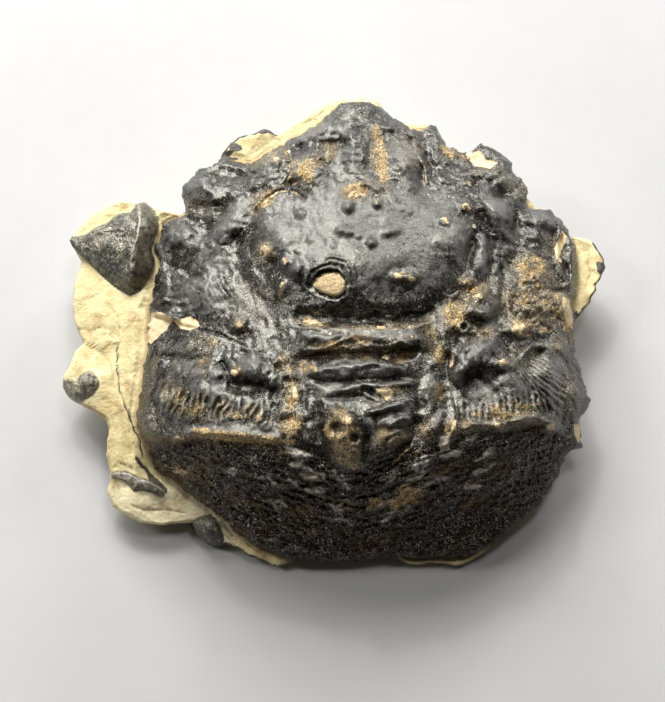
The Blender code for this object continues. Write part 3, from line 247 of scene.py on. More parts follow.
# ---------------------------------------------------------------- carapace heights
SHELL_EDGE_HEIGHTS = [
    (342, 102, 18.4), (371, 101, 18.4), (403, 125, 17.3), (436, 128, 16.8), (447, 147, 16.2), (479, 147, 15.0),
    (510, 163, 13.6), (529, 190, 12.6), (550, 211, 11.8), (568, 229, 11.2), (578, 262, 10.6), (574, 310, 10.4),
    (575, 357, 10.2), (589, 399, 8.8), (580, 448, 7.2), (558, 477, 5.9), (525, 519, 4.7), (488, 549, 4.0),
    (440, 557, 3.7), (390, 556, 3.6), (330, 561, 3.5), (288, 559, 3.7), (253, 544, 4.4), (227, 525, 5.2),
    (190, 495, 6.8), (168, 476, 7.8), (149, 450, 9.0), (137, 428, 10.2), (140, 395, 11.4), (148, 345, 12.2),
    (150, 313, 12.7), (154, 280, 13.1), (157, 243, 13.4), (168, 222, 13.5), (184, 205, 13.6), (191, 179, 14.2),
    (214, 165, 15.0), (251, 163, 16.2), (284, 147, 17.0), (320, 124, 17.9),
]
SHELL_HEIGHTS = [
    # front lobes
    (358, 140, 21.2), (358, 180, 23.6), (310, 160, 21.0), (405, 160, 21.0), (270, 185, 20.3), (440, 185, 20.2),
    (478, 190, 17.6), (235, 192, 17.6), (205, 195, 15.8), (510, 200, 14.9),
    # gastric dome
    (358, 215, 25.4), (358, 255, 26.5), (358, 288, 26.1), (305, 228, 24.4), (412, 228, 24.4), (297, 272, 24.9),
    (422, 272, 24.7), (265, 222, 21.6), (456, 220, 21.8), (262, 260, 21.6), (466, 258, 21.7),
    (300, 312, 23.1), (350, 317, 23.9), (400, 316, 23.8), (436, 308, 22.8),
    # middle rear regions
    (350, 338, 24.6), (310, 340, 23.9), (405, 340, 24.2), (355, 375, 24.9), (350, 420, 24.7),
    (300, 372, 22.7), (300, 405, 22.6), (428, 372, 22.8), (428, 405, 22.8),
    # left side
    (240, 330, 20.7), (205, 300, 18.4), (205, 245, 17.0), (226, 225, 18.2), (178, 262, 14.9), (175, 300, 14.9),
    (245, 378, 22.0), (205, 380, 19.8), (168, 380, 15.8), (205, 424, 19.5), (252, 430, 21.9), (168, 428, 14.8),
    # right side
    (480, 318, 20.9), (520, 300, 17.9), (502, 245, 17.3), (494, 215, 17.8), (545, 240, 13.2), (552, 290, 13.8),
    (476, 378, 22.0), (520, 380, 19.6), (556, 380, 15.2), (468, 424, 21.9), (516, 418, 19.8), (556, 422, 13.8),
    # rear slope
    (355, 462, 21.4), (300, 456, 20.9), (250, 456, 18.9), (205, 456, 15.4), (410, 458, 21.3), (460, 452, 19.6),
    (510, 446, 16.8), (548, 452, 11.2), (175, 452, 11.6),
    (355, 492, 15.9), (300, 490, 15.2), (250, 488, 13.4), (212, 486, 10.6), (410, 490, 15.6), (460, 488, 14.0),
    (508, 484, 11.4), (355, 526, 9.2), (300, 526, 8.8), (255, 520, 7.6), (410, 525, 9.0), (458, 520, 8.2),
    (498, 514, 7.0),
]

# Height of the stone's open surfaces
STONE_HEIGHTS = [
    # left slab
    (72, 240, 8.6), (100, 215, 9.4), (125, 205, 10.2), (160, 214, 11.6), (185, 212, 12.2), (160, 250, 11.4),
    (110, 260, 9.6), (82, 262, 8.0), (76, 300, 8.2), (110, 300, 9.8), (145, 300, 11.0), (80, 340, 7.8),
    (110, 345, 9.4), (140, 345, 10.6), (68, 380, 7.4), (90, 380, 8.8), (120, 385, 9.3), (136, 400, 9.6),
    (92, 408, 7.4), (112, 430, 7.6), (132, 440, 8.0), (108, 460, 6.2), (130, 468, 6.6), (148, 470, 7.0),
    (110, 492, 4.8), (135, 498, 5.6), (165, 495, 5.4), (125, 513, 4.2), (160, 520, 4.0), (190, 515, 3.9),
    (215, 530, 3.2), (245, 548, 2.2), (275, 562, 1.8),
    # rear foot
    (300, 562, 1.6), (350, 564, 1.5), (400, 564, 1.6), (440, 563, 1.8), (480, 557, 2.0), (505, 545, 2.4),
    (560, 480, 4.0), (590, 400, 7.4),
    # right lump
    (572, 330, 8.6), (580, 312, 8.4), (594, 290, 8.8), (604, 268, 9.0), (594, 246, 9.4), (572, 238, 10.0),
    (584, 270, 10.2), (545, 205, 10.8),
    # front edge
    (515, 160, 12.4), (480, 140, 13.6), (440, 120, 15.2), (415, 122, 16.0), (390, 108, 16.4), (371, 98, 16.8),
    (343, 99, 16.8), (315, 112, 16.2), (290, 130, 15.8), (262, 134, 14.8), (235, 142, 13.8), (222, 155, 13.4),
    (195, 175, 12.8), (180, 200, 12.2),
]

# ---------------------------------------------------------------- carapace relief
# Rounded swellings: (u, v, half width, half height, turn in degrees, rise in mm)
SWELLINGS = [
    # front lobes
    (320, 130, 22, 7, -18, 1.1), (328, 153, 5, 11, 0, 0.8), (306, 171, 16, 14, 30, 1.3), (270, 168, 14, 19, 10, 1.1),
    (276, 159, 6, 5, 0, 0.7), (406, 160, 12, 20, -22, 1.3), (389, 131, 13, 6, 20, 0.5), (440, 160, 15, 26, -20, 0.5),
    (330, 118, 12, 9, 0, 0.35), (382, 118, 10, 8, 0, 0.35), (355, 150, 8, 40, 0, 0.45),
    # orbit hollows
    (331, 143, 15, 6, -5, -0.8), (398, 136, 13, 5, 15, -0.7), (298, 153, 7, 9, 30, -0.55), (421, 180, 8, 16, -20, -0.55),
    (289, 188, 9, 10, 0, -0.5), (372, 160, 7, 22, -8, -0.3),
    # gastric tubercles
    (348, 206, 5, 6.5, 0, 0.95), (377, 203, 4.2, 4.2, 0, 0.9), (300, 214, 5, 5, 0, 0.5), (347, 231, 9, 4.5, 5, 0.6), (340, 230, 3, 3, 0, 0.35),
    (391, 231, 9, 4.5, -10, 0.6), (371, 242, 4.5, 4.5, 0, 0.8), (311, 239, 5, 4, 0, 0.3), (296, 267, 7, 7, 0, 0.8), (358, 236, 3, 2.5, 0, 0.35),
    (397, 277, 5.5, 5, 0, 0.9), (409, 278, 7, 5.5, 0, 1.2), (465, 206, 7, 6, 20, 0.8), (445, 221, 5, 4, 30, 0.6),
    (477, 227, 4, 3, 30, 0.5), (264, 252, 8, 9, 10, 0.9), (285, 261, 5, 5, 0, 0.7), (282, 288, 5, 8, 10, 0.6),
    (469, 182, 4, 4, 0, 0.45), (362, 190, 16, 9, 0, 0.45),
    # gastric lobes
    (275, 236, 20, 21, 0, 1.15), (455, 239, 17, 20, -15, 1.1), (330, 215, 16, 22, 0, 0.3),
    (395, 205, 20, 16, 0, 0.3), (370, 262, 28, 14, 0, 0.4), (425, 282, 18, 12, 0, 0.35), (323, 268, 30, 20, 0, 0.6),
    (483, 256, 8, 28, 8, 1.1), (470, 252, 5, 17, 12, -1.1), (372, 222, 10, 8, 0, -0.3), (430, 195, 16, 16, 0, -0.25),
    # left front side
    (200, 185, 13, 12, 0, 1.0), (213, 199, 8, 6, 0, 0.6), (229, 175, 15, 6, 10, -0.7), (231, 193, 11, 7, 0, 0.5),
    (212, 214, 6, 7, 0, 0.7), (231, 222, 10, 24, 32, 1.4), (207, 226, 9, 11, 20, -0.6), (178, 236, 15, 9, -10, 1.0),
    (170, 258, 9, 11, 10, -0.4), (204, 250, 14, 10, 0, 0.35), (200, 293, 22, 13, 10, 0.9), (165, 285, 9, 12, 0, 0.5),
    (172, 313, 9, 6, 0, 0.5), (222, 268, 10, 12, 0, -0.3), (215, 312, 11, 9, 0, 0.4), (235, 290, 10, 10, 0, 0.3),
    # left middle
    (238, 323, 8, 9, 0, 1.2), (242, 334, 9, 5, 0, -0.5), (168, 343, 16, 10, 0, -0.45), (205, 336, 13, 7, 15, 0.5),
    (212, 350, 8, 7, 0, 0.4), (200, 378, 20, 16, 0, 0.9), (216, 366, 10, 9, 0, 0.4), (235, 372, 5.5, 5.5, 0, 0.45), (180, 346, 24, 12, 0, 0.5),
    (254, 366, 18, 13, 5, 2.1), (276, 381, 7, 9, 20, 1.2), (246, 387, 20, 8, 3, -1.0), (262, 345, 12, 6, 20, 0.5),
    (275, 357, 6, 6, 0, 0.5), (225, 392, 12, 6, 0, 0.4), (160, 365, 9, 12, 0, 0.4), (165, 398, 10, 8, 0, 0.6),
    (147, 420, 7, 14, 0, 0.5),
    # left column of small lobes
    (281, 361, 6, 6, 0, 0.7), (291, 375, 8, 8, 20, 0.7), (294, 396, 8, 12, -5, 0.9), (285, 411, 8, 7, 0, 0.8),
    (299, 416, 6, 8, 0, 0.8), (290, 431, 10, 7, 0, 0.9), (308, 408, 7, 11, 0, 0.7), (312, 432, 7, 12, 0, 0.5),
    (303, 362, 12, 8, 0, -0.5),
    # heart region
    (340, 422, 16, 15, 0, 1.4), (346, 446, 15, 22, -14, 1.3), (333, 411, 9, 6, 0, 0.5), (337, 427.5, 5.4, 5.8, 0, -1.9), (354, 438, 3.8, 3.8, 0, -1.6),
    (349, 420, 5, 6, -30, 0.45), (339, 439, 10, 4, 5, 0.35), (352, 464, 8, 5, 0, 0.35),
    (388, 408, 20, 6, -12, 0.7), (392, 421, 17, 6, -14, 0.7), (371, 427, 5, 13, 0, 0.55), (385, 438, 14, 8, -25, 0.7), (380, 452, 10, 8, -30, 0.4),
    (412, 429, 8, 7, 0, -0.8), (365, 448, 4, 16, 14, -0.6), (385, 391, 11, 5, 0, 0.5), (368, 398, 12, 4, 0, -0.5), (325, 398, 9, 7, 0, 0.5),
    # right column of small lobes
    (428, 345, 9, 8, 0, 0.5), (434, 362, 8, 8, 0, 0.5), (432, 385, 8, 12, 5, 0.6), (426, 408, 7, 11, 0, 0.6),
    (436, 424, 7, 8, 0, 0.6), (417, 428, 6, 10, 20, -0.6), (447, 396, 6, 14, 0, -0.6), (446, 346, 8, 8, 0, 0.6),
    (452, 427, 5, 8, 0, 0.8), (446, 443, 8, 5, -15, 0.6),
    # right middle cluster
    (452, 317, 11, 13, 0, 0.8), (478, 308, 13, 12, 0, 1.0), (467, 281, 7, 6, 0, 0.6), (479, 297, 9, 7, 0, 1.5), (470, 311, 8, 7, 0, 1.5),
    (484, 314, 8, 7, 0, 1.7), (492, 304, 6, 6, 0, 0.8), (464, 327, 7, 6.5, 0, 1.1), (464, 327, 3.2, 3.2, 0, -1.5),
    (478, 330, 8, 6, 0, 0.7), (490, 330, 6, 6, 0, 0.6), (444, 333, 7, 6, 0, 0.6), (498, 318, 7, 8, 0, -0.6),
    # right branchial
    (478, 352, 20, 13, -28, 2.1), (460, 373, 8, 15, 22, 1.4), (492, 363, 16, 6, 2, 0.7), (503, 363, 7, 6, 0, 0.9),
    (486, 372, 9, 9, 0, 0.5), (474, 386, 21, 13, 5, -1.7), (463, 396, 7, 8, 0, 0.6), (492, 386, 8, 7, 0, 0.5),
    (512, 345, 8, 18, 0, 0.3), (535, 357, 11, 12, 20, -0.6), (549, 372, 12, 16, 0, 0.6), (555, 345, 13, 9, 0, 0.6),
    (573, 398, 9, 12, 0, 0.6), (510, 385, 10, 14, 0, 0.6),
    # right front side
    (495, 212, 11, 21, -28, 2.3), (505, 240, 12, 14, 0, 0.4), (478, 172, 18, 7, 0, 0.5), (502, 180, 14, 11, 0, 0.6),
    (497, 193, 12, 5, 0, -0.6), (514, 221, 6, 16, -15, -0.7), (542, 219, 13, 8, 10, 1.0), (535, 240, 12, 12, 0, 0.5),
    (553, 246, 7, 14, 0, -0.5), (532, 272, 19, 17, 10, 0.8), (512, 268, 7, 12, 0, -0.4), (550, 302, 20, 14, 0, 0.6),
    (526, 303, 14, 12, 0, 0.3), (519, 328, 11, 7, 0, 0.7), (545, 325, 13, 8, 0, 0.15), (565, 306, 7, 12, 0, 0.6),
    (507, 290, 9, 10, 0, 0.5), (560, 330, 8, 8, 0, 0.5), (557, 291, 8, 3, 10, -0.7), (487, 268, 9, 9, 0, 0.3),
    # rear edge knobs
    (498, 425, 6, 6, 0, 0.9), (550, 427, 8, 7, 0, 0.9), (473, 424, 7, 5, 0, 0.5), (522, 418, 10, 5, 0, 0.4),
    (222, 434, 11, 5, 0, 0.6), (196, 432, 10, 5, 0, 0.5), (248, 436, 12, 4, 0, 0.4), (272, 440, 10, 4, 0, 0.4),
    (180, 441, 8, 4, 0, 0.5), (155, 432, 8, 7, 0, 0.5),
]

# Ridges and grooves: (points, half width, rise in mm, taper of the ends 0..1)
CREASES = [
    # groove round the gastric dome
    ([(250, 188), (240, 212), (236, 236), (236, 262), (243, 282), (256, 297), (274, 309), (292, 318)], 8.0, -0.62, 0.3),
    ([(474, 188), (484, 212), (491, 238), (490, 262), (482, 282), (470, 297), (455, 309), (438, 317)], 5.5, -0.75, 0.3),
    ([(290, 313), (315, 318), (350, 319), (395, 319), (425, 315), (440, 309)], 6.5, -1.15, 0.1),
    # lower rim of the dome
    ([(262, 283), (283, 298), (315, 304), (345, 303), (385, 302), (415, 300), (445, 288), (460, 275)], 8.0, 0.35, 0.2),
    # first crosswise ridge
    ([(288, 321), (298, 326), (322, 328.5), (350, 328.5), (393, 329), (410, 328), (427, 323), (440, 316)], 2.6, 0.40, 0.12),
    ([(297, 331), (312, 336), (330, 337), (342, 335), (356, 336), (372, 337), (400, 336), (418, 336), (428, 331)], 7.5, 1.0, 0.1),
    ([(305, 348), (322, 351), (337, 342), (350, 338), (364, 346), (392, 345), (402, 342), (416, 346)], 2.2, 0.4, 0.05),
    ([(300, 357), (330, 357), (352, 354), (390, 356), (425, 353)], 4.5, -1.25, 0.1),
    # second crosswise ridge
    ([(303, 376), (325, 370), (351, 366), (374, 364), (394, 367), (412, 373)], 3.5, 0.65, 0.12),
    ([(312, 377), (340, 374), (370, 372), (398, 373)], 5.5, 0.6, 0.1),
    ([(318, 368), (345, 364), (372, 364), (398, 368)], 5.0, 0.30, 0.1),
    ([(306, 380), (322, 383), (350, 381), (378, 380), (408, 378)], 2.2, -0.35, 0.1),
    ([(304, 382), (318, 388), (340, 391), (352, 389), (368, 386), (394, 385), (418, 385)], 3.6, 0.45, 0.1), ([(360, 389), (368, 391), (377, 395)], 2.6, -0.8, 0.2),
    ([(364, 395), (374, 399), (384, 402)], 3.0, 0.5, 0.2),
    ([(318, 396), (345, 398), (372, 394)], 3.5, -0.5, 0.2),
    # streaks of the right heart lobe
    ([(364, 413), (383, 410.5), (396, 405), (408, 400)], 2.4, 0.55, 0.1), ([(386, 427), (393, 423), (402, 417.5), (412, 419)], 2.0, 0.6, 0.1),
    ([(378, 418), (388, 415), (404, 409)], 2.6, -0.35, 0.3), ([(384, 437), (394, 432), (404, 431)], 1.8, 0.4, 0.1), ([(386, 445), (396, 438), (404, 438)], 1.6, 0.35, 0.1),
    ([(391, 466), (402, 454.5), (415, 444)], 1.6, 0.55, 0.1), ([(388, 463), (398, 452), (410, 441)], 2.4, -0.6, 0.1), ([(398, 462), (408, 454), (417, 446)], 2.2, -0.3, 0.1),
    # valleys beside the heart region
    ([(316, 390), (317, 415), (322, 440), (336, 464), (352, 478)], 7.0, -0.85, 0.25),
    ([(420, 388), (422, 408), (414, 436), (400, 458), (380, 474), (362, 480)], 7.0, -0.75, 0.25),
    ([(280, 352), (280, 372), (275, 392), (273, 412), (278, 430)], 4.5, -0.55, 0.25),
    ([(307, 384), (304, 405), (306, 428), (312, 446)], 3.5, -0.35, 0.25),
    # front
    ([(284, 147), (288, 161), (290, 172), (285, 183), (288, 190)], 1.1, -0.28, 0.02),
    ([(285, 147), (290, 160), (292, 172), (288, 183)], 3.0, 0.3, 0.05),
    ([(288, 190), (276, 192), (266, 198), (259, 205), (254, 214)], 1.4, -0.34, 0.05),
    ([(364, 418), (368, 428), (368, 442), (361, 458), (352, 472)], 5.5, -0.4, 0.35),
    ([(289, 191), (298, 193), (306, 200)], 1.8, -0.5, 0.05),
    ([(300, 168), (308, 160), (318, 157), (326, 156)], 2.0, 0.45, 0.05),
    ([(314, 144), (320, 139), (330, 137), (341, 140)], 3.0, 0.22, 0.1),
    ([(409, 128), (414, 142), (419, 154), (425, 168), (427, 186)], 1.6, 0.6, 0.05), ([(420, 140), (428, 156), (433, 170), (434, 186)], 5.5, -0.7, 0.25),
    ([(387, 124), (397, 122), (408, 128), (413, 139)], 2.6, 0.55, 0.1),
    ([(433, 127), (440, 140), (445, 152), (448, 166)], 2.4, 0.6, 0.3), ([(440, 150), (450, 160), (456, 174)], 5.0, -0.35, 0.3),
    ([(447, 150), (457, 155), (466, 162)], 2.6, 0.5, 0.2), ([(376, 128), (379, 150), (383, 178)], 5.0, -0.30, 0.2),
    ([(343, 112), (349, 140), (351, 176)], 6.0, 0.3, 0.3), ([(367, 112), (365, 140), (363, 176)], 6.0, 0.25, 0.3),
    ([(345, 196), (352, 186), (362, 182), (372, 186), (382, 194)], 2.5, 0.4, 0.1),
    ([(355, 172), (372, 180), (386, 192), (398, 207)], 3.0, 0.35, 0.2),
    # left side
    ([(149, 312), (158, 314), (170, 318), (182, 321)], 3.0, 0.6, 0.05),
    ([(150, 317), (170, 322), (181, 325), (197, 328), (220, 335), (240, 344), (271, 356)], 1.2, -0.35, 0.02),
    ([(240, 347), (256, 350), (270, 356)], 2.6, 0.4, 0.1),
    ([(185, 214), (193, 222), (197, 234), (198, 248)], 5.5, -0.6, 0.3),
    ([(190, 210), (205, 211), (222, 206), (236, 198)], 5.0, -0.35, 0.3),
    ([(160, 262), (178, 268), (196, 270)], 5.0, -0.4, 0.3), ([(244, 236), (246, 258), (254, 278), (268, 290)], 5.0, 0.35, 0.3),
    ([(154, 300), (165, 300), (180, 303), (190, 300)], 2.5, 0.35, 0.1),
    ([(152, 352), (170, 357), (190, 358), (210, 360)], 3.5, -0.5, 0.1), ([(222, 358), (228, 372), (232, 386)], 3.0, -0.5, 0.1),
    ([(268, 350), (263, 366), (262, 380)], 3.0, -0.4, 0.3),
    # edge of the rear slope, left
    ([(150, 440), (172, 437), (191, 431), (215, 432), (245, 436), (283, 440), (305, 446)], 5.0, 0.50, 0.1),
    ([(172, 449), (200, 441), (232, 443), (262, 446), (285, 448)], 3.5, -0.45, 0.1),
    ([(170, 428), (200, 425), (235, 428), (275, 432)], 5.0, 0.18, 0.1),
    # edge of the rear slope, right
    ([(440, 446), (452, 436), (461, 430), (472, 425), (497, 424), (516, 421), (534, 418), (548, 422), (562, 432)], 4.6, 0.60, 0.1),
    ([(448, 450), (462, 438), (480, 433), (500, 433), (520, 430), (540, 429)], 3.5, -0.45, 0.1),
    # right side
    ([(522, 366), (525, 354), (532, 346), (540, 345), (546, 350)], 3.4, 0.75, 0.2),
    ([(455, 386), (455, 370), (460, 356), (470, 346), (486, 337)], 3.0, 0.7, 0.1),
    ([(446, 348), (446, 368), (449, 392)], 5.0, -0.8, 0.25), ([(497, 334), (506, 350), (512, 368)], 4.5, -0.4, 0.3),
    ([(430, 322), (436, 332), (438, 346), (440, 360)], 4.0, -0.4, 0.3), ([(498, 334), (520, 339), (545, 338), (568, 342)], 5.0, -0.30, 0.3),
    ([(500, 262), (504, 282), (500, 300), (506, 320)], 3.0, -0.45, 0.1), ([(516, 254), (535, 256), (548, 262), (556, 272)], 4.0, -0.12, 0.1),
    ([(526, 204), (518, 212), (514, 226), (518, 240)], 4.5, -0.6, 0.25), ([(512, 172), (500, 176), (486, 186), (478, 196)], 4.0, -0.3, 0.3),
    ([(568, 230), (573, 250), (572, 272), (567, 290)], 3.4, 1.0, 0.1), ([(560, 232), (562, 250), (566, 268), (570, 285)], 3.0, -0.7, 0.1),
    ([(555, 210), (560, 224), (556, 244), (557, 264), (566, 284)], 2.6, 0.6, 0.1),
]

# Wrinkles that step down the rear slope towards the middle: (points, half width, rise in mm)
WRINKLES = [
    ([(282, 449), (292, 453), (303, 456), (315, 460)], 3.6, 1.4), ([(286, 464), (297, 466.5), (310, 469)], 3.0, 1.6),
    ([(299, 477), (310, 476), (326, 478)], 3.4, 1.8), ([(290, 483), (296, 485), (302, 489)], 2.2, 0.8),
    ([(303, 489), (316, 491), (328, 495)], 2.6, 1.2), ([(328, 501), (338, 506), (348, 511)], 2.6, 1.0),
    ([(220, 470), (229, 471), (238, 474)], 2.2, 0.6), ([(240, 456), (252, 461), (264, 466)], 2.2, 0.5),
    ([(252, 476), (266, 482), (280, 489)], 2.2, 0.5), ([(262, 500), (276, 504), (290, 511)], 2.2, 0.4),
    ([(408, 470), (420, 463), (434, 459)], 3.6, 1.4), ([(430, 484), (442, 478), (456, 474)], 2.2, 0.7),
    ([(420, 489), (434, 482), (450, 477)], 2.4, 0.8), ([(436, 459), (448, 453), (462, 450)], 2.6, 0.9),
    ([(438, 449), (446, 444), (454, 441)], 3.4, 1.6), ([(461, 443), (468, 440), (476, 437)], 2.8, 1.4), ([(438, 461), (450, 456), (464, 452)], 3.2, 1.3),
    ([(397, 494), (404, 489), (414, 485)], 3.0, 1.2), ([(412, 481), (421, 475), (433, 469)], 3.0, 1.3), ([(398, 500), (412, 493), (426, 487)], 2.6, 0.8),
    ([(372, 509), (386, 503), (398, 496)], 2.6, 0.7), ([(400, 484), (410, 479), (420, 475)], 2.2, 0.7),
    ([(336, 480), (348, 486), (360, 487)], 2.4, 0.6), ([(380, 484), (392, 474), (402, 466)], 2.4, 0.7),
    ([(470, 462), (486, 455), (504, 452)], 2.4, 0.6), ([(466, 476), (480, 470), (496, 468)], 2.2, 0.5),
    ([(330, 466), (338, 474), (350, 480)], 2.2, 0.5), ([(456, 492), (470, 486), (486, 482)], 2.2, 0.4),
    ([(322, 516), (340, 522), (362, 524)], 2.2, 0.4), ([(376, 522), (396, 516), (412, 508)], 2.4, 0.5),
]

HOLE = [(311, 284), (315, 276), (321, 271), (330, 269), (338, 270), (342, 276), (342, 284), (340, 291), (336, 294), (329, 293), (319, 289)]

_shell_base = Sheet(SHELL_EDGE_HEIGHTS + SHELL_HEIGHTS)
_stone_base = Sheet(STONE_HEIGHTS)


def shell_height(u, v, edge):
    """Height of the carapace without relief; edge is the distance in from its outline."""
    lip = np.clip(1.0 - edge / 13.0, 0.0, 1.0)
    return _shell_base(u, v) - 0.9 * (1.0 - np.sqrt(np.clip(1.0 - lip * lip, 0.0, 1.0)))


def shell_relief(u, v):
    """Rise in mm of the lobes, knobs, ridges and grooves, all a little uneven."""
    rise = np.zeros(np.shape(u))
    wu = 2.2 * fractal(u / 24.0, v / 24.0, 0.0, 3, 3) + 0.9 * fractal(u / 8.0, v / 8.0, 2.0, 5, 2)
    wv = 2.2 * fractal(u / 24.0, v / 24.0, 5.0, 4, 3) + 0.9 * fractal(u / 8.0, v / 8.0, 9.0, 6, 2)
    uneven = fractal(u / 11.0, v / 11.0, 3.0, 7, 3)
    strong = 1.0 + 0.8 * fractal(u / 15.0, v / 15.0, 6.0, 8, 2)
    broad = 1.0 + 0.6 * fractal(u / 12.0, v / 12.0, 8.0, 9, 2)
    for cu, cv, ru, rv, turn, high in SWELLINGS:
        c, s = math.cos(math.radians(turn)), math.sin(math.radians(turn))
        pull = min(1.0, min(ru, rv) / 12.0)
        du, dv = u + wu * pull - cu, v + wv * pull - cv
        r2 = ((du * c + dv * s) / ru) ** 2 + ((-du * s + dv * c) / rv) ** 2
        r2 = r2 * (1.0 + 0.55 * uneven * pull)
        rise = rise + high * np.exp(-0.9 * np.clip(r2, 0.0, 30.0) ** 1.25)
    for points, wide, high, taper in CREASES:
        p = np.asarray(points, float)
        lo, hi = p.min(0) - 5 * wide, p.max(0) + 5 * wide
        near = (u > lo[0]) & (u < hi[0]) & (v > lo[1]) & (v < hi[1])
        if not near.any():
            continue
        pull = min(1.0, wide / 5.0 + 0.3)
        d, along, _ = line_distance(u[near] + wu[near] * pull, v[near] + wv[near] * pull, points)
        ends = smooth(np.minimum(along, 1 - along) / max(1.2 * taper, 0.06))
        rise[near] += high * ends * strong[near] * np.exp(-(d / (wide * broad[near])) ** 2)
    return rise

# ---------------------------------------------------------------- loose shell pieces
CLAW_OUTLINE = [
    (69, 240), (72, 237), (80, 237), (86, 235), (92, 231), (98, 227), (108, 223), (114, 217), (120, 214), (130, 213),
    (135, 207), (139, 203), (145, 202), (150, 206), (154, 212), (157, 219), (159, 226), (156, 232), (152, 240),
    (151, 246), (152, 253), (155, 260), (154, 268), (151, 275), (147, 281), (144, 287), (139, 292), (130, 296),
    (124, 293), (115, 287), (105, 279), (95, 268), (85, 258), (77, 251), (72, 247),
]
CLAW_CENTRE = (122, 248)
CLAW_HEIGHTS = [
    (139, 204, 12.6), (138, 216, 14.4), (138, 235, 15.0), (133, 255, 14.6), (131, 272, 13.5), (130, 296, 10.4),
    (70, 241, 9.4), (90, 234, 11.0), (110, 223, 12.4), (124, 214, 13.0), (82, 255, 9.2), (104, 278, 9.6),
    (116, 288, 10.0), (96, 246, 11.6), (112, 244, 13.0), (122, 262, 12.9), (106, 262, 11.2), (150, 207, 12.7),
    (159, 225, 12.6), (149, 238, 13.9), (152, 250, 12.8), (154, 266, 12.2), (146, 282, 11.2), (143, 262, 13.7),
    (125, 232, 14.1), (119, 278, 11.6),
]
CLAW_FLOOR = 7.4

LEG_END_OUTLINE = [
    (63, 379), (68, 380), (73, 382), (77, 382), (79, 377), (83, 373), (90, 371), (96, 376), (99, 383), (98, 389),
    (93, 394), (87, 399), (80, 402), (74, 400), (67, 395), (63, 388),
]
LEG_END_CENTRE = (82, 388)
LEG_END_HEIGHTS = [
    (64, 381, 7.4), (66, 393, 6.9), (80, 401, 7.2), (74, 391, 8.2), (83, 375, 9.2), (96, 378, 9.5), (98, 388, 9.0),
    (90, 383, 9.9), (88, 396, 8.3), (80, 388, 8.7),
]
LEG_END_FLOOR = 5.6

SLIVER_OUTLINE = [
    (110, 474), (114, 472), (126, 472), (132, 474), (140, 478), (150, 481), (160, 487), (165, 492), (163, 496),
    (156, 493), (148, 491), (141, 490), (135, 492), (130, 487), (124, 480), (117, 476), (112, 477),
]
SLIVER_CENTRE = (138, 484)
SLIVER_HEIGHTS = [(110, 475, 6.2), (126, 473, 6.9), (127, 483, 6.5), (140, 479, 7.2), (137, 491, 6.4), (152, 482, 7.5), (150, 491, 6.7), (164, 493, 7.0), (138, 485, 7.1)]
SLIVER_FLOOR = 4.6

LOWER_LEG_OUTLINE = [
    (192, 523), (195, 519), (202, 516), (210, 514.5), (214, 518), (219, 524), (222, 531), (224, 540), (221, 545),
    (212, 544), (205, 540), (198, 533),
]
LOWER_LEG_CENTRE = (210, 528)
LOWER_LEG_HEIGHTS = [
    (193, 524, 3.7), (203, 516, 4.2), (212, 516, 4.0), (220, 526, 3.6), (224, 538, 2.4), (214, 544, 2.2), (201, 536, 2.9),
    (209, 526, 4.9), (215, 533, 4.2),
]
LOWER_LEG_FLOOR = 0.8


# ---------------------------------------------------------------- ring solids
def zip_rings(a0, na, b0, nb):
    """Triangles between an inner ring of na points from index a0 and an outer ring of nb from b0."""
    t = np.concatenate([(np.arange(na) + 1.0) / na, (np.arange(nb) + 1.0) / nb])
    order = np.argsort(t, kind="stable")
    on_a = order < na
    i = np.cumsum(on_a) - on_a
    j = np.cumsum(~on_a) - ~on_a
    first = a0 + i % na
    second = b0 + j % nb
    third = np.where(on_a, a0 + (i + 1) % na, b0 + (j + 1) % nb)
    return np.stack([first, second, third], 1)


def ring_mesh(name, rings, first_pole, last_pole):
    """A closed mesh through rings of points in mm, ended by poles or, for None, by a flat face."""
    points, faces, caps, starts = [], [], [], []
    count = 0
    for r in rings:
        starts.append(count)
        points.append(r)
        count += len(r)
    for k in range(len(rings) - 1):
        faces.append(zip_rings(starts[k], len(rings[k]), starts[k + 1], len(rings[k + 1])))
    for pole, k, turn in ((first_pole, 0, 1), (last_pole, len(rings) - 1, -1)):
        n = len(rings[k])
        ring = starts[k] + np.arange(n)
        if pole is None:
            caps.append([int(x) for x in (ring if turn > 0 else ring[::-1])])
            continue
        points.append(np.asarray(pole, float)[None])
        fan = np.stack([np.full(n, count), ring, np.roll(ring, -1)], 1)
        faces.append(fan if turn > 0 else fan[:, ::-1])
        count += 1
    verts = np.concatenate(points) * 0.001
    tris = np.concatenate(faces)
    mesh = bpy.data.meshes.new(name)
    mesh.from_pydata([tuple(p) for p in verts.tolist()], [], tris.tolist() + caps)
    mesh.update()
    work = bmesh.new()
    work.from_mesh(mesh)
    bmesh.ops.recalc_face_normals(work, faces=work.faces)
    work.to_mesh(mesh)
    work.free()
    for p in mesh.polygons:
        p.use_smooth = True
    return mesh


def soft_ring(values, reach):
    """A closed run of values averaged over reach neighbours each side."""
    n = len(values)
    k = np.exp(-0.5 * (np.arange(-3 * reach, 3 * reach + 1) / reach) ** 2)
    k /= k.sum()
    return sum(w * np.roll(values, s) for s, w in zip(range(-3 * reach, 3 * reach + 1), k))


def edge_radius(outline, centre, n):
    """(full, soft) radius of an outline at n even angles; both are read finely and then picked."""
    fine = 1440
    a = 2 * np.pi * np.arange(fine) / fine
    full = ring_radius(outline, centre, a)
    soft = soft_ring(full, 36)
    at = np.arange(n) * (fine / n)
    wrap = np.arange(fine + 1)
    return np.interp(at, wrap, np.append(full, full[0])), np.interp(at, wrap, np.append(soft, soft[0]))


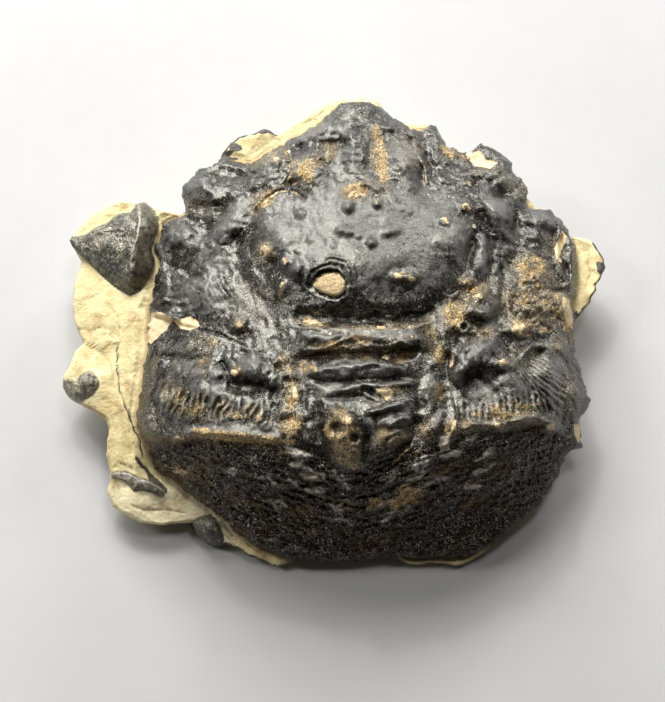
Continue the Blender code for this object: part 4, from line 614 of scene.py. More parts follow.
def shell_ring(n, share):
    """Drawing points of one ring of the carapace and their distance in from its outline."""
    a = 2 * np.pi * np.arange(n) / n
    full, soft = edge_radius(SHELL_OUTLINE, CENTRE, n)
    r = share * (soft + (full - soft) * share ** 6)
    return CENTRE[0] + r * np.cos(a), CENTRE[1] + r * np.sin(a), np.maximum(full - r, 0.0)


def shell_normal(u, v, edge, h=1.5):
    """Outward direction of the smooth carapace surface."""
    e = np.maximum(edge, 2.0)
    pu = place(u + h, v, shell_height(u + h, v, e)) - place(u - h, v, shell_height(u - h, v, e))
    pv = place(u, v + h, shell_height(u, v + h, e)) - place(u, v - h, shell_height(u, v - h, e))
    n = np.cross(pv, pu)
    n /= np.linalg.norm(n, axis=-1, keepdims=True)
    return np.where(n[..., 2:] < 0, -n, n)


def raise_along_sight(p, normal, rise):
    """Moves points along their sight lines so that the surface rises by rise mm."""
    s = EYE - p
    s /= np.linalg.norm(s, axis=-1, keepdims=True)
    lean = np.maximum((s * normal).sum(-1), 0.45)
    return p + s * (rise / lean)[..., None]


INNER_SHARES = [0.10, 0.22, 0.35, 0.49, 0.63, 0.77, 0.90, 1.0]   # of the way to the rim's inner line
INNER_COUNTS = [12, 24, 36, 48, 60, 72, 96, 132]
RIM_WIDTH = 7.0        # drawing units from the outline to the rim's inner line
RIM_DROP = 0.95        # mm, shell thickness at its rim
BED_GAP = 0.38         # mm between shell and stone


def under_shell(n, share, depth):
    """One ring of the surface depth mm beneath the carapace."""
    a = 2 * np.pi * np.arange(n) / n
    full, soft = edge_radius(SHELL_OUTLINE, CENTRE, n)
    rim = full - RIM_WIDTH
    r = rim * share if share > 0.95 else (soft - RIM_WIDTH) * share
    u, v = CENTRE[0] + r * np.cos(a), CENTRE[1] + r * np.sin(a)
    edge = np.maximum(full - r, 0.0)
    p = place(u, v, shell_height(u, v, edge))
    return p - depth * shell_normal(u, v, edge, 12.0 if share < 0.95 else 4.0)


def bed_direction(n, share):
    """The way from shell to stone in each place of a ring: down the sight line and inwards."""
    a = 2 * np.pi * np.arange(n) / n
    out = np.stack([np.cos(a), -np.sin(a), np.zeros(n)], 1)
    d = np.array([0.0, -FORWARD[1], -FORWARD[2]]) + 0.9 * share ** 2 * out
    return -d / np.linalg.norm(d, axis=1, keepdims=True)


def rim_under(n):
    """The lower edge of the carapace's rim."""
    u, v, edge = shell_ring(n, 1.0)
    return place(u, v, shell_height(u, v, edge) - RIM_DROP)

# ---------------------------------------------------------------- fine regions of the carapace
REAR_REGION = [
    (120, 430), (137, 428), (150, 441), (172, 441), (191, 436), (220, 438), (250, 441), (283, 445), (305, 450),
    (320, 456), (332, 466), (350, 472), (362, 468), (374, 456), (392, 447), (420, 447), (446, 443), (457, 432),
    (470, 424.5), (497, 424), (534, 420), (557, 431), (586, 443), (610, 600), (120, 600),
]


def band(u, v, points, wide):
    """1 along a polyline and 0 beyond wide of it, softly."""
    d, _, _ = line_distance(u, v, points)
    return smooth(1.0 - d / wide)


def cells(x, y, z, seed):
    """Distance to the nearest of one jittered point per unit cell, and that point's own number."""
    ix, iy, iz = (np.floor(t).astype(np.int64) for t in (x, y, z))
    best = np.full(np.shape(x), 9.0)
    own = np.zeros(np.shape(x))
    for dx in (-1, 0, 1):
        for dy in (-1, 0, 1):
            for dz in (-1, 0, 1):
                jx, jy, jz = ix + dx, iy + dy, iz + dz
                px = jx + hash01(jx, jy, jz, seed)
                py = jy + hash01(jx, jy, jz, seed + 1)
                pz = jz + hash01(jx, jy, jz, seed + 2)
                d = (px - x) ** 2 + (py - y) ** 2 + (pz - z) ** 2
                near = d < best
                best = np.where(near, d, best)
                own = np.where(near, hash01(jx, jy, jz, seed + 3), own)
    return np.sqrt(best), own


def fine_relief(u, v, p):
    """Rise in mm of striations, wrinkles, pits and grains on the carapace."""
    rise = np.zeros(np.shape(u))
    rear = smooth(inside_distance(u, v, REAR_REGION) / 6.0 + 0.2)
    x, y, z = p[..., 0], p[..., 1], p[..., 2]
    # terraced wrinkles that dip towards the middle line
    lean = np.where(u < 358, 0.27, 0.40)
    fall = v + lean * (np.sqrt((u - 358) ** 2 + 15.0 ** 2) - 15.0)
    warp = 5.0 * fractal(u / 26.0, v / 20.0, 1.0, 31, 3)
    phase = (fall + warp) / 7.2
    step = phase - np.floor(phase)
    terrace = np.where(step < 0.72, step / 0.72, (1 - step) / 0.28)
    strength = 0.9 * (0.22 + 0.78 * smooth(1.5 - np.abs(u - 352) / 90.0)) * (0.15 + 0.85 * smooth((536 - v) / 45.0))
    strength = strength * (0.45 + 0.75 * np.clip(fractal(u / 22.0, v / 9.0, 4.0, 37, 2) + 0.45, 0, 1))
    rise = rise + 0.6 * rear * strength * (terrace - 0.5)
    short = fractal(u / 12.0, fall / 4.0, 5.0, 38, 3) + 0.6 * fractal(u / 6.0, fall / 2.6, 8.0, 39, 2)
    rise = rise + 0.42 * rear * (0.45 + 0.55 * smooth(1.6 - np.abs(u - 352) / 100.0)) * short
    for points, wide, high in WRINKLES:
        d, along, side = line_distance(u + 1.2 * warp / 5.0, v, points)
        ends = smooth(np.minimum(along, 1 - along) / 0.38) * (1.05 + 1.0 * fractal(u / 7.0, v / 5.0, 14.0, 101, 3))
        rise = rise + 0.45 * high * ends * np.exp(-(d / (wide * (1.0 + 0.7 * fractal(u / 6.0, v / 6.0, 15.0, 102, 2)))) ** 2) * np.where(side > 0, 1.0, 0.75)
    # upright striations above the left rear edge
    left = band(u, v, [(172, 402), (200, 406), (235, 410), (268, 413)], 18.0)
    wave = np.sin(2 * np.pi * (u + 0.22 * (v - 410) + 6.0 * fractal(u / 12.0, v / 16.0, 2.0, 41, 3)) / 7.2)
    rise = rise + left * 0.42 * wave * (0.7 + 0.6 * fractal(u / 9.0, v / 13.0, 3.0, 43, 2))
    # and above the right one
    right = band(u, v, [(462, 412), (490, 410), (520, 405), (545, 402)], 17.0)
    wave = np.sin(2 * np.pi * (u - 0.15 * (v - 410) + 4.6 * fractal(u / 11.0, v / 16.0, 6.0, 45, 3)) / 6.0)
    rise = rise + right * 0.36 * wave * (0.6 + 0.6 * fractal(u / 9.0, v / 13.0, 7.0, 47, 2))
    # curved striations fanning out on the right
    fan = band(u, v, [(534, 372), (548, 384), (556, 398)], 24.0)
    turn = np.arctan2(v - 338.0, u - 500.0)
    far = np.hypot(v - 338.0, u - 500.0)
    wave = np.sin(2 * np.pi * (turn * 58.0 + 0.10 * far + 2.6 * fractal(u / 12.0, v / 12.0, 8.0, 49, 3)) / 4.3)
    rise = rise + fan * 0.15 * wave * (0.7 + 0.8 * fractal(u / 7.0, v / 7.0, 12.0, 50, 2))
    # crosswise lines on the middle of the front
    mid = band(u, v, [(356, 132), (356, 168)], 17.0)
    wave = np.sin(2 * np.pi * (v + 0.02 * (u - 356) ** 2 + 1.5 * fractal(u / 10.0, v / 6.0, 9.0, 51, 2)) / 4.2)
    rise = rise + mid * 0.05 * wave
    # wrinkled patch on the left, and small ones over the lobes
    patch = band(u, v, [(190, 297), (222, 290)], 20.0)
    wave = np.sin(2 * np.pi * (u - 0.6 * v + 5.0 * fractal(u / 12.0, v / 12.0, 10.0, 53, 3)) / 6.5)
    rise = rise + patch * 0.09 * wave * (0.5 + 1.2 * fractal(u / 8.0, v / 8.0, 13.0, 54, 2))
    # crusty ground in the stained areas
    crust = np.maximum(band(u, v, [(530, 268), (545, 300), (530, 322)], 34.0), band(u, v, [(455, 300), (462, 325)], 22.0))
    crust = np.maximum(crust, 0.8 * band(u, v, [(284, 362), (292, 395), (290, 430)], 16.0))
    rise = rise + crust * 0.45 * fractal(u / 5.0, v / 5.0, 11.0, 55, 3)
    # broken, knobbly ground round the flanks
    flank = smooth(1.0 - (inside_distance(u, v, [(245, 200), (470, 200), (490, 300), (420, 330), (420, 440), (310, 440), (310, 330), (232, 300)]) + 20) / 40.0)
    rise = rise + (0.10 + 0.28 * flank) * (1 - 0.35 * rear) * fractal(x / 3.2, y / 3.2, z / 3.2, 57, 3)
    rise = rise + (0.02 + 0.13 * flank) * fractal(x / 1.1, y / 1.1, z / 1.1, 58, 2)
    rise = rise + (0.02 + 0.03 * flank) * fractal(x / 0.55, y / 0.55, z / 0.55, 59, 2)
    # grains, coarse enough for the mesh
    d, own = cells(x / 0.66, y / 0.66, z / 0.66, 61)
    grain = np.sqrt(np.clip(1.0 - (d / 0.62) ** 2, 0, 1)) * (0.35 + own)
    rise = rise + (0.02 + 0.20 * rear) * grain
    # shallow pits
    d, own = cells(x / 1.9, y / 1.9, z / 1.9, 65)
    rise = rise - 0.12 * (own > 0.6) * np.clip(1.0 - d / 0.28, 0, 1) * (1 - rear)
    return rise


# ---------------------------------------------------------------- marks of colour: (u, v, half width, half height, turn)
CREAM_SPOTS = [   # last number: 1 for a solid spot, less for a broken one
    (239, 324, 4.8, 4.4, 0, 0.58), (235, 373, 4.4, 4.0, 20, 0.78), (213, 343, 3.2, 7.0, -8, 0.52), (202, 361, 2.2, 3.6, -20, 0.5),
    (503, 363, 7.0, 4.4, 0, 0.66), (398, 276, 5.0, 3.6, 20, 0.85), (412, 279, 4.2, 3.4, 0, 0.8), (405, 273, 7.0, 1.6, 8, 0.6),
    (445, 220, 5.4, 3.2, 35, 0.60), (475, 227, 5.0, 2.0, 30, 0.48), (264, 252, 5.5, 7.5, 15, 0.55), (266, 249, 3.4, 5.0, 15, 0.62),
    (285, 261, 3.2, 3.4, 0, 0.7), (282, 286, 3.2, 6.0, 5, 0.55), (469, 183, 2.4, 2.8, 0, 0.8), (467, 282, 6.0, 4.6, 0, 0.5),
    (478, 296, 7.0, 5.0, 0, 0.55), (387, 357, 5.5, 2.6, 0, 0.75), (415, 368, 3.0, 2.4, 0, 0.55), (414, 336, 3.4, 2.4, 0, 0.6),
    (498, 425, 4.0, 3.6, 0, 0.85), (551, 427, 4.4, 4.2, 0, 0.85), (453, 426, 2.4, 6.5, 20, 0.95), (449, 434, 2.6, 3.0, 0, 0.7),
    (285, 437, 4.5, 2.6, 0, 0.5), (281, 423, 2.2, 6.0, 10, 0.6), (303, 420, 2.2, 6.0, -10, 0.6), (292, 434, 8.0, 2.4, 0, 0.7),
    (288, 409, 6.0, 2.4, -10, 0.6), (295, 392, 3.0, 9.0, -12, 0.75), (289, 378, 2.4, 6.0, -25, 0.5), (281, 361, 4.5, 4.0, 0, 0.6),
    (349, 203, 2.6, 2.4, 0, 0.42), (377, 203, 2.4, 2.2, 0, 0.5), (349, 420, 4.5, 5.0, -30, 0.6), (331, 436, 4.0, 4.0, 0, 0.45), (357, 466, 3.5, 2.5, 0, 0.45), (276, 159, 3.4, 2.6, 0, 0.75), (289, 151, 2.2, 2.0, 0, 0.8),
    (313, 165, 7.0, 5.0, 20, 0.45), (295, 183, 5.0, 3.4, 20, 0.45), (330, 158, 3.0, 4.0, 0, 0.5), (466, 299, 3.5, 3.0, 0, 0.5),
    (466, 206, 6.2, 4.6, 20, 0.58), (519, 329, 8.5, 6.5, 0, 0.72), (516, 322, 4.0, 3.0, 0, 0.6), (545, 331, 6.5, 3.6, 0, 0.5),
    (551, 312, 4.5, 3.6, 0, 0.45), (181, 472, 6.5, 3.0, 15, 0.7), (173, 468, 3.5, 2.2, 0, 0.6), (330, 333, 2.4, 2.0, 0, 0.5),
    (312, 322, 10.0, 2.4, 8, 0.85), (381, 327, 6.0, 1.8, 0, 0.75), (350, 327, 8.0, 1.4, 0, 0.5), (452, 361, 2.6, 10.0, 15, 0.6),
    (443, 352, 2.6, 5.0, 15, 0.5), (457, 326, 4.0, 3.6, 0, 0.55), (362, 342, 12.0, 1.8, -8, 0.65), (340, 350, 9.0, 1.8, -25, 0.5),
    (187, 437, 3.5, 3.0, 0, 0.5), (222, 436, 6.0, 2.0, 5, 0.5), (165, 432, 3.0, 2.5, 0, 0.4), (538, 262, 9.0, 5.0, 10, 0.5),
    (530, 276, 9.0, 6.0, 0, 0.42), (560, 343, 3.5, 3.5, 0, 0.4), (345, 232, 6.0, 1.2, 0, 0.4), (391, 232, 6.0, 1.2, 0, 0.4),
    (500, 200, 6.0, 1.0, 60, 0.3), (420, 150, 1.4, 6.0, -25, 0.5), (399, 142, 5.0, 1.6, 20, 0.4),
]
CREAM_AREAS = [   # (closed outline, strength)
    ([(150, 314), (160, 312), (168, 316), (173, 321), (166, 329), (158, 337), (151, 344), (146, 340), (146, 324)], 1.2),
    ([(174, 320), (184, 319), (190, 316), (197, 321), (199, 326), (190, 330), (180, 328)], 1.1),
    ([(563, 231), (567, 236), (563, 246), (559, 256), (562, 263), (556, 259), (555, 247)], 1.2),
    ([(465, 154), (472, 152), (479, 151), (486, 160), (498, 163), (489, 168), (475, 165)], 1.2),
    ([(336, 98), (342, 102), (355, 101.5), (371, 102.5), (380, 107), (382, 100), (360, 94), (340, 95)], 1.2),
    ([(575, 424), (579, 424), (581, 440), (578, 443), (575, 434)], 1.2),
    ([(373, 130), (377, 128), (381, 131), (384, 142), (387, 158), (387, 172), (384, 179), (380, 170), (376, 156), (373, 143)], 0.46),
    ([(345, 190), (352, 184), (362, 182), (368, 185), (369, 192), (362, 197), (358, 201), (349, 199)], 0.62),
    ([(376, 389), (384, 387), (392, 387), (394, 392), (391, 399), (386, 400), (381, 395)], 0.8),
    ([(562, 296), (569, 299), (573, 312), (573, 329), (568, 326), (563, 313)], 0.85),
    ([(406, 122.5), (427, 123), (424, 129), (418, 130.5)], 1.2),
    ([(258, 206), (263, 201), (270, 197), (269, 201), (262, 207)], 0.55),
]
PALE_LINES = [    # thin pale cracks and edges: (points, half width, strength)
    ([(284, 148), (288, 160), (291, 172), (286, 182), (288, 190)], 0.75, 0.62), ([(288, 190), (278, 192), (266, 198), (259, 205), (255, 212)], 1.0, 0.8),
    ([(289, 191), (296, 193), (301, 198)], 0.8, 0.8), ([(262, 183), (270, 186), (280, 183)], 0.7, 0.5), ([(300, 166), (307, 160), (318, 157)], 0.8, 0.6),
    ([(197, 326), (208, 330), (222, 335), (240, 343.5), (256, 350), (271, 356)], 0.7, 0.55), ([(391, 466), (397, 459.5), (404, 453), (415, 444)], 0.8, 0.75), ([(404, 455), (410, 450), (416, 445)], 1.7, 0.45),
    ([(412, 136), (417, 148), (420, 156)], 0.8, 0.6), ([(420, 158), (425, 170), (427, 184)], 0.8, 0.7), ([(312, 267), (325, 262), (340, 264), (347, 270)], 1.0, 0.5),
    ([(317, 261), (330, 257), (342, 259)], 0.8, 0.45), ([(563, 231), (558, 244), (556, 258), (560, 268)], 0.9, 0.8), ([(500, 228), (502, 240)], 0.6, 0.4),
    ([(449, 124), (446, 136), (447, 147)], 0.6, 0.3), ([(447, 148), (455, 152), (465, 157)], 1.0, 0.55), ([(295, 410), (302, 420), (298, 430), (286, 434), (280, 424), (284, 412)], 1.0, 0.5),
    ([(346, 275), (348, 288), (338, 298), (326, 297)], 1.0, 0.45), ([(500, 452), (506, 458)], 0.6, 0.7), ([(190, 210), (198, 205)], 0.7, 0.3),
    ([(228, 160), (245, 163), (258, 160), (275, 149)], 0.9, 0.45), ([(511, 163), (513, 172), (524, 184)], 0.8, 0.4),
    # the pale line along the first crosswise ridge's crest is partly clinging stone, partly a painted highlight
    ([(336, 378), (350, 376), (372, 377)], 0.8, 0.3), ([(292, 323), (312, 327.5), (340, 329), (380, 329.5), (405, 328), (424, 323)], 0.9, 0.5), ([(276, 437), (262, 434), (240, 432), (214, 430)], 0.8, 0.4),
]
GOLD_SPOTS = [    # crusty tan ground
    (535, 268, 18, 12, 12), (525, 329, 12, 9, 0), (568, 312, 4, 17, 0), (456, 316, 12, 14, 10), (470, 290, 9, 6, -20), (545, 330, 8, 4, 0),
    (290, 378, 5.5, 12, -14), (308, 366, 12, 4, 12), (292, 396, 7, 14, -8), (291, 424, 12, 13, 0), (284, 361, 6, 7, 0), (333, 428, 10, 13, -8), (350, 421, 9, 8, 30), (354, 466, 7, 4, 0), (344, 449, 12, 17, -10), (264, 252, 8, 9, 0), (566, 318, 8, 15, 0),
    (176, 393, 9, 11, 0), (405, 497, 19, 9, -28), (376, 503, 11, 6, -25), (222, 437, 22, 4, 3), (258, 440, 20, 3.5, 5), (385, 391, 9, 5, 0),
    (312, 322, 13, 4, 8), (338, 347, 14, 5, -15), (451, 430, 7, 10, 10), (505, 415, 18, 5, -5), (438, 357, 7, 12, 10), (306, 170, 12, 12, 30),
    (357, 191, 12, 9, 0), (380, 154, 7, 27, -8), (448, 152, 8, 5, 35), (266, 199, 12, 6, -30), (182, 473, 10, 4, 20), (522, 300, 9, 10, 0),
]
STAIN_SPOTS = [
    (532, 270, 22, 17, 10), (545, 305, 26, 22, 0), (520, 325, 16, 11, 0), (455, 312, 16, 22, 10), (478, 288, 12, 10, 0), (508, 300, 9, 15, 0),
    (345, 440, 19, 30, -8), (338, 416, 13, 13, 0), (386, 434, 16, 11, -20), (378, 502, 14, 9, -25), (405, 496, 22, 12, -28),
    (325, 345, 18, 7, 0), (360, 341, 17, 7, 0), (303, 364, 14, 8, 0), (286, 360, 9, 10, 0), (292, 395, 9, 16, 0), (290, 424, 14, 16, 0),
    (265, 198, 16, 9, -25), (257, 212, 8, 9, 0), (283, 293, 5, 10, 10), (306, 324, 17, 4, 5), (176, 396, 12, 13, 0), (172, 386, 9, 7, 0),
    (198, 405, 9, 11, 0), (222, 409, 10, 10, 0), (250, 412, 10, 9, 0), (452, 430, 9, 12, 0), (500, 416, 19, 7, -5), (528, 412, 15, 7, 0),
    (467, 421, 9, 6, 0), (440, 392, 8, 12, 0), (424, 430, 9, 12, 20), (266, 252, 10, 12, 0), (354, 191, 15, 10, 0), (305, 170, 14, 12, 30),
    (458, 152, 11, 7, 35), (478, 332, 16, 8, 0), (430, 332, 8, 10, 0), (437, 350, 9, 12, 0), (176, 478, 14, 8, 20), (160, 466, 8, 6, 0),
    (344, 506, 9, 5, 0), (312, 478, 12, 6, 15), (365, 356, 8, 5, 0), (400, 358, 14, 5, 0), (385, 536, 14, 5, 0), (550, 428, 9, 7, 0),
    (408, 280, 12, 6, 0), (204, 366, 8, 10, 0), (235, 372, 7, 7, 0), (238, 323, 7, 7, 0), (213, 343, 6, 10, 0), (467, 282, 10, 7, 0),
    (392, 390, 12, 8, 0), (560, 345, 10, 8, 0), (330, 150, 6, 13, 0), (318, 161, 14, 7, -10), (395, 440, 14, 10, -40), (445, 470, 20, 6, -20),
    (500, 470, 22, 10, -20), (240, 500, 24, 8, 20), (300, 508, 18, 6, 10), (470, 505, 20, 8, -25), (205, 470, 14, 6, 20),
]
STAIN_LINES = [
    ([(150, 441), (176, 441), (195, 437), (222, 437), (250, 441), (283, 444)], 6.0, 1.0),
    ([(444, 446), (455, 435), (472, 427), (498, 427), (520, 423), (545, 424)], 4.5, 0.7),
    ([(372, 132), (376, 150), (380, 170), (384, 182)], 7.0, 0.5),
    ([(284, 148), (288, 161), (290, 172), (285, 183), (275, 191), (262, 202)], 2.6, 0.8),
    ([(296, 322), (320, 327), (350, 328), (380, 327), (410, 328), (430, 322)], 2.6, 0.6),
    ([(425, 322), (440, 312), (455, 300), (468, 285)], 5.0, 0.6),
    ([(570, 300), (574, 330), (574, 345)], 6.0, 0.8),
    ([(227, 522), (245, 535), (262, 546), (285, 556)], 3.0, 0.5),
    ([(300, 360), (322, 355), (352, 352), (392, 354), (425, 350)], 4.0, 0.5),
]


def spot(u, v, cu, cv, ru, rv, turn):
    c, s = math.cos(math.radians(turn)), math.sin(math.radians(turn))
    du, dv = u - cu, v - cv
    return np.sqrt(((du * c + dv * s) / ru) ** 2 + ((-du * s + dv * c) / rv) ** 2)


PAINTED_SHEEN_SPOTS = [   # painted sheen and highlight, a grey bloom over the lit ground: (u, v, half width, half height, turn, strength)
    (460, 372, 7, 13, 20, 1.0), (277, 380, 4, 9, 10, 1.0), (329, 126, 18, 5, -15, 1.0), (452, 232, 15, 13, -15, 1.0), (355, 212, 62, 34, 0, 1.0), (330, 235, 42, 30, 0, 0.9), (400, 240, 48, 34, 0, 0.85), (285, 228, 22, 24, 0, 0.8), (425, 215, 30, 34, 20, 0.8),
    (380, 275, 46, 16, 0, 0.55), (430, 268, 26, 20, 0, 0.6), (300, 255, 22, 12, 0, 0.6), (325, 130, 26, 10, -18, 0.8), (305, 172, 16, 14, 30, 0.55),
    (268, 170, 14, 16, 0, 0.5), (405, 160, 14, 26, -20, 0.9), (345, 165, 14, 22, 0, 0.6), (232, 222, 10, 24, 38, 1.0), (199, 187, 12, 12, 0, 0.5),
    (180, 240, 22, 14, -10, 0.7), (196, 292, 26, 16, 8, 0.8), (212, 262, 20, 16, 0, 0.6), (235, 300, 18, 16, 0, 0.5), (495, 212, 11, 20, -28, 1.0),
    (456, 240, 15, 18, -15, 0.8), (481, 258, 7, 26, 8, 0.8), (505, 240, 14, 18, 0, 0.5), (540, 222, 16, 12, 10, 0.6), (500, 182, 20, 12, 0, 0.5),
    (474, 352, 20, 12, -30, 0.7), (505, 385, 34, 16, -5, 0.6), (545, 372, 18, 26, 0, 0.6), (560, 345, 16, 12, 0, 0.5), (352, 370, 55, 9, 0, 1.0), (352, 336, 60, 7, 0, 0.8), (215, 427, 52, 5, 3, 0.9), (160, 440, 14, 14, 0, 0.5),
    (350, 330, 65, 3.5, 0, 0.5), (392, 412, 22, 12, -14, 0.7), (390, 432, 20, 10, -25, 0.5), (250, 362, 18, 12, 0, 0.6), (190, 372, 22, 14, 0, 0.5),
    (215, 405, 55, 12, 3, 0.45), (338, 398, 20, 6, 0, 0.5), (371, 427, 6, 14, 0, 0.7), (552, 302, 20, 14, 0, 0.9), (535, 290, 18, 10, 0, 0.7), (335, 388, 24, 4, 4, 0.8), (395, 385, 22, 3, 0, 0.6), (255, 367, 17, 11, 5, 0.9), (205, 380, 20, 16, 0, 0.8), (205, 300, 26, 14, 0, 0.8), (440, 318, 14, 5, -45, 0.9), (187, 306, 14, 8, 0, 0.9), (170, 345, 18, 12, 0, 0.4), (432, 385, 8, 16, 0, 0.5), (490, 320, 10, 14, 0, 0.5),
]


def painted_sheen_mask(u, v):
    """Where a painted grey sheen stands for the light's reflection on the higher ground; the gloss is dulled there too.
    """
    u0, v0 = u, v
    u, v = u + 7.0 * fractal(u / 16.0, v / 16.0, 0.0, 86, 4), v + 7.0 * fractal(u / 16.0, v / 16.0, 3.0, 87, 4)
    mask = np.zeros(np.shape(u))
    for cu, cv, ru, rv, turn, much in PAINTED_SHEEN_SPOTS:
        mask = np.maximum(mask, much * smooth((1.45 - spot(u, v, cu, cv, ru, rv, turn)) / 0.9))
    mask = mask * (0.85 + 0.7 * fractal(u / 9.0, v / 9.0, 0.0, 88, 3))
    # painted highlight along the tops of the rear wrinkles
    for points, wide, high in WRINKLES:
        d, along, _ = line_distance(u, v + 0.5, points)
        mask = np.maximum(mask, 3.1 * high * smooth(np.minimum(along, 1 - along) / 0.40) * np.exp(-(d / (0.95 * wide)) ** 2) * (0.9 + 1.5 * fractal(u0 / 5.0, v0 / 3.0, 4.0, 103, 3)))
    # pale lines of the fan
    far, turn = np.hypot(v0 - 338.0, u0 - 500.0), np.arctan2(v0 - 338.0, u0 - 500.0)
    wave = np.sin(2 * np.pi * (turn * 58.0 + 0.10 * far + 2.6 * fractal(u0 / 12.0, v0 / 12.0, 8.0, 49, 3)) / 4.3)
    mask = mask + 0.65 * wave * band(u0, v0, [(534, 372), (548, 384), (556, 398)], 24.0)
    return np.clip(mask, 0, 1)


SHINE_SPOTS = [   # wet-looking places that carry the brightest glints
    (472, 311, 12, 8, 0, 1.0), (460, 373, 6, 14, 22, 1.0), (334, 411, 10, 5.5, 0, 1.0), (398, 404, 12, 3, -20, 0.9), (402, 419, 11, 3, -15, 0.9),
    (325, 127, 24, 5, -15, 0.7), (178, 310, 10, 5, 10, 0.9), (277, 381, 4, 9, 10, 1.0), (486, 362, 14, 5, 0, 0.8), (450, 441, 8, 5, -20, 1.0),
    (478, 432, 10, 4, -20, 0.8), (490, 205, 6, 14, -28, 0.8), (456, 232, 8, 8, 0, 0.8), (419, 158, 4, 22, -20, 0.9), (350, 327, 60, 3, 0, 0.9),
    (340, 343, 40, 3, -5, 0.7), (353, 368, 42, 3, 0, 0.8), (340, 389, 24, 3, 4, 0.8), (262, 366, 14, 9, 5, 0.6), (296, 455, 18, 5, 10, 0.6),
    (437, 474, 20, 4, -18, 0.7), (446, 455, 16, 4, -22, 0.8), (540, 352, 10, 4, 30, 0.8), (484, 246, 4, 20, 8, 0.7), (310, 372, 14, 4, 0, 0.6),
    (297, 405, 8, 10, 0, 0.5), (432, 400, 6, 14, 0, 0.5), (240, 212, 5, 9, 38, 0.7), (276, 168, 10, 12, 0, 0.4), (306, 170, 12, 10, 0, 0.4),
]


def shine_mask(u, v):
    u, v = u + 4.0 * fractal(u / 12.0, v / 12.0, 0.0, 89, 3), v + 4.0 * fractal(u / 12.0, v / 12.0, 3.0, 90, 3)
    mask = np.zeros(np.shape(u))
    for cu, cv, ru, rv, turn, much in SHINE_SPOTS:
        mask = np.maximum(mask, much * smooth((1.45 - spot(u, v, cu, cv, ru, rv, turn)) / 0.9))
    for points, wide, high in WRINKLES:
        d, along, _ = line_distance(u, v + 0.5, points)
        mask = np.maximum(mask, smooth(np.minimum(along, 1 - along) / 0.3) * np.exp(-(d / (1.2 * wide)) ** 2))
    return mask


GRIT_SPOTS = [   # dusty, gritty ground: (u, v, half width, half height, turn, strength)
    (542, 303, 24, 17, 0, 1.0), (524, 320, 16, 12, 0, 0.9), (530, 268, 22, 13, 10, 0.9), (556, 285, 10, 14, -30, 0.7), (506, 300, 10, 22, 0, 0.45),
    (470, 308, 14, 14, 0, 0.8), (453, 322, 12, 10, 0, 0.8), (438, 345, 9, 20, 0, 0.5), (484, 284, 10, 8, 0, 0.6), (480, 332, 22, 8, 0, 0.5),
    (290, 405, 11, 36, 0, 0.7), (284, 366, 10, 12, 0, 0.7), (176, 396, 14, 14, 0, 0.6), (215, 412, 50, 10, 3, 0.5), (505, 412, 42, 9, -4, 0.5),
    (222, 436, 60, 5, 3, 0.75), (495, 427, 45, 6, -5, 0.6), (266, 199, 16, 8, -25, 0.8), (304, 172, 16, 13, 30, 0.7), (275, 158, 12, 10, 0, 0.6),
    (448, 152, 10, 7, 30, 0.7), (522, 188, 18, 9, 30, 0.5), (490, 175, 20, 8, 0, 0.4), (345, 446, 15, 24, -10, 0.55), (338, 414, 12, 8, 0, 0.3),
    (340, 346, 30, 6, 0, 0.7), (395, 340, 24, 5, 0, 0.6), (310, 322, 18, 4, 6, 0.8), (380, 327, 40, 3, 0, 0.5), (390, 394, 14, 9, 0, 0.5),
    (366, 192, 20, 10, 0, 0.6), (380, 154, 8, 26, -8, 0.6), (264, 254, 10, 12, 0, 0.5), (205, 345, 16, 12, 0, 0.5), (238, 326, 9, 8, 0, 0.5),
    (562, 345, 14, 12, 0, 0.5), (570, 400, 10, 26, 0, 0.4), (405, 497, 24, 11, -28, 0.8), (345, 506, 12, 6, 0, 0.6), (150, 425, 14, 16, 0, 0.4),
    (182, 472, 16, 6, 15, 0.7), (386, 440, 16, 10, -30, 0.4), (430, 430, 9, 14, 15, 0.6), (245, 305, 22, 22, 0, 0.3), (200, 205, 20, 10, 0, 0.35),
    (405, 150, 14, 20, -20, 0.35), (330, 150, 14, 12, 0, 0.4), (556, 250, 10, 20, 0, 0.4), (520, 355, 20, 10, 0, 0.4),
]


def grit_mask(u, v):
    """Where pale grit is packed on the shell."""
    cloud = fractal(u / 7.0, v / 7.0, 0.0, 94, 3)
    u, v = u + 6.0 * fractal(u / 13.0, v / 13.0, 0.0, 92, 4), v + 6.0 * fractal(u / 13.0, v / 13.0, 3.0, 93, 4)
    mask = np.zeros(np.shape(u))
    for cu, cv, ru, rv, turn, much in GRIT_SPOTS:
        mask = np.maximum(mask, much * smooth((1.4 - spot(u, v, cu, cv, ru, rv, turn)) / 0.9))
    return np.clip(mask * (0.9 + 0.9 * cloud), 0, 1)


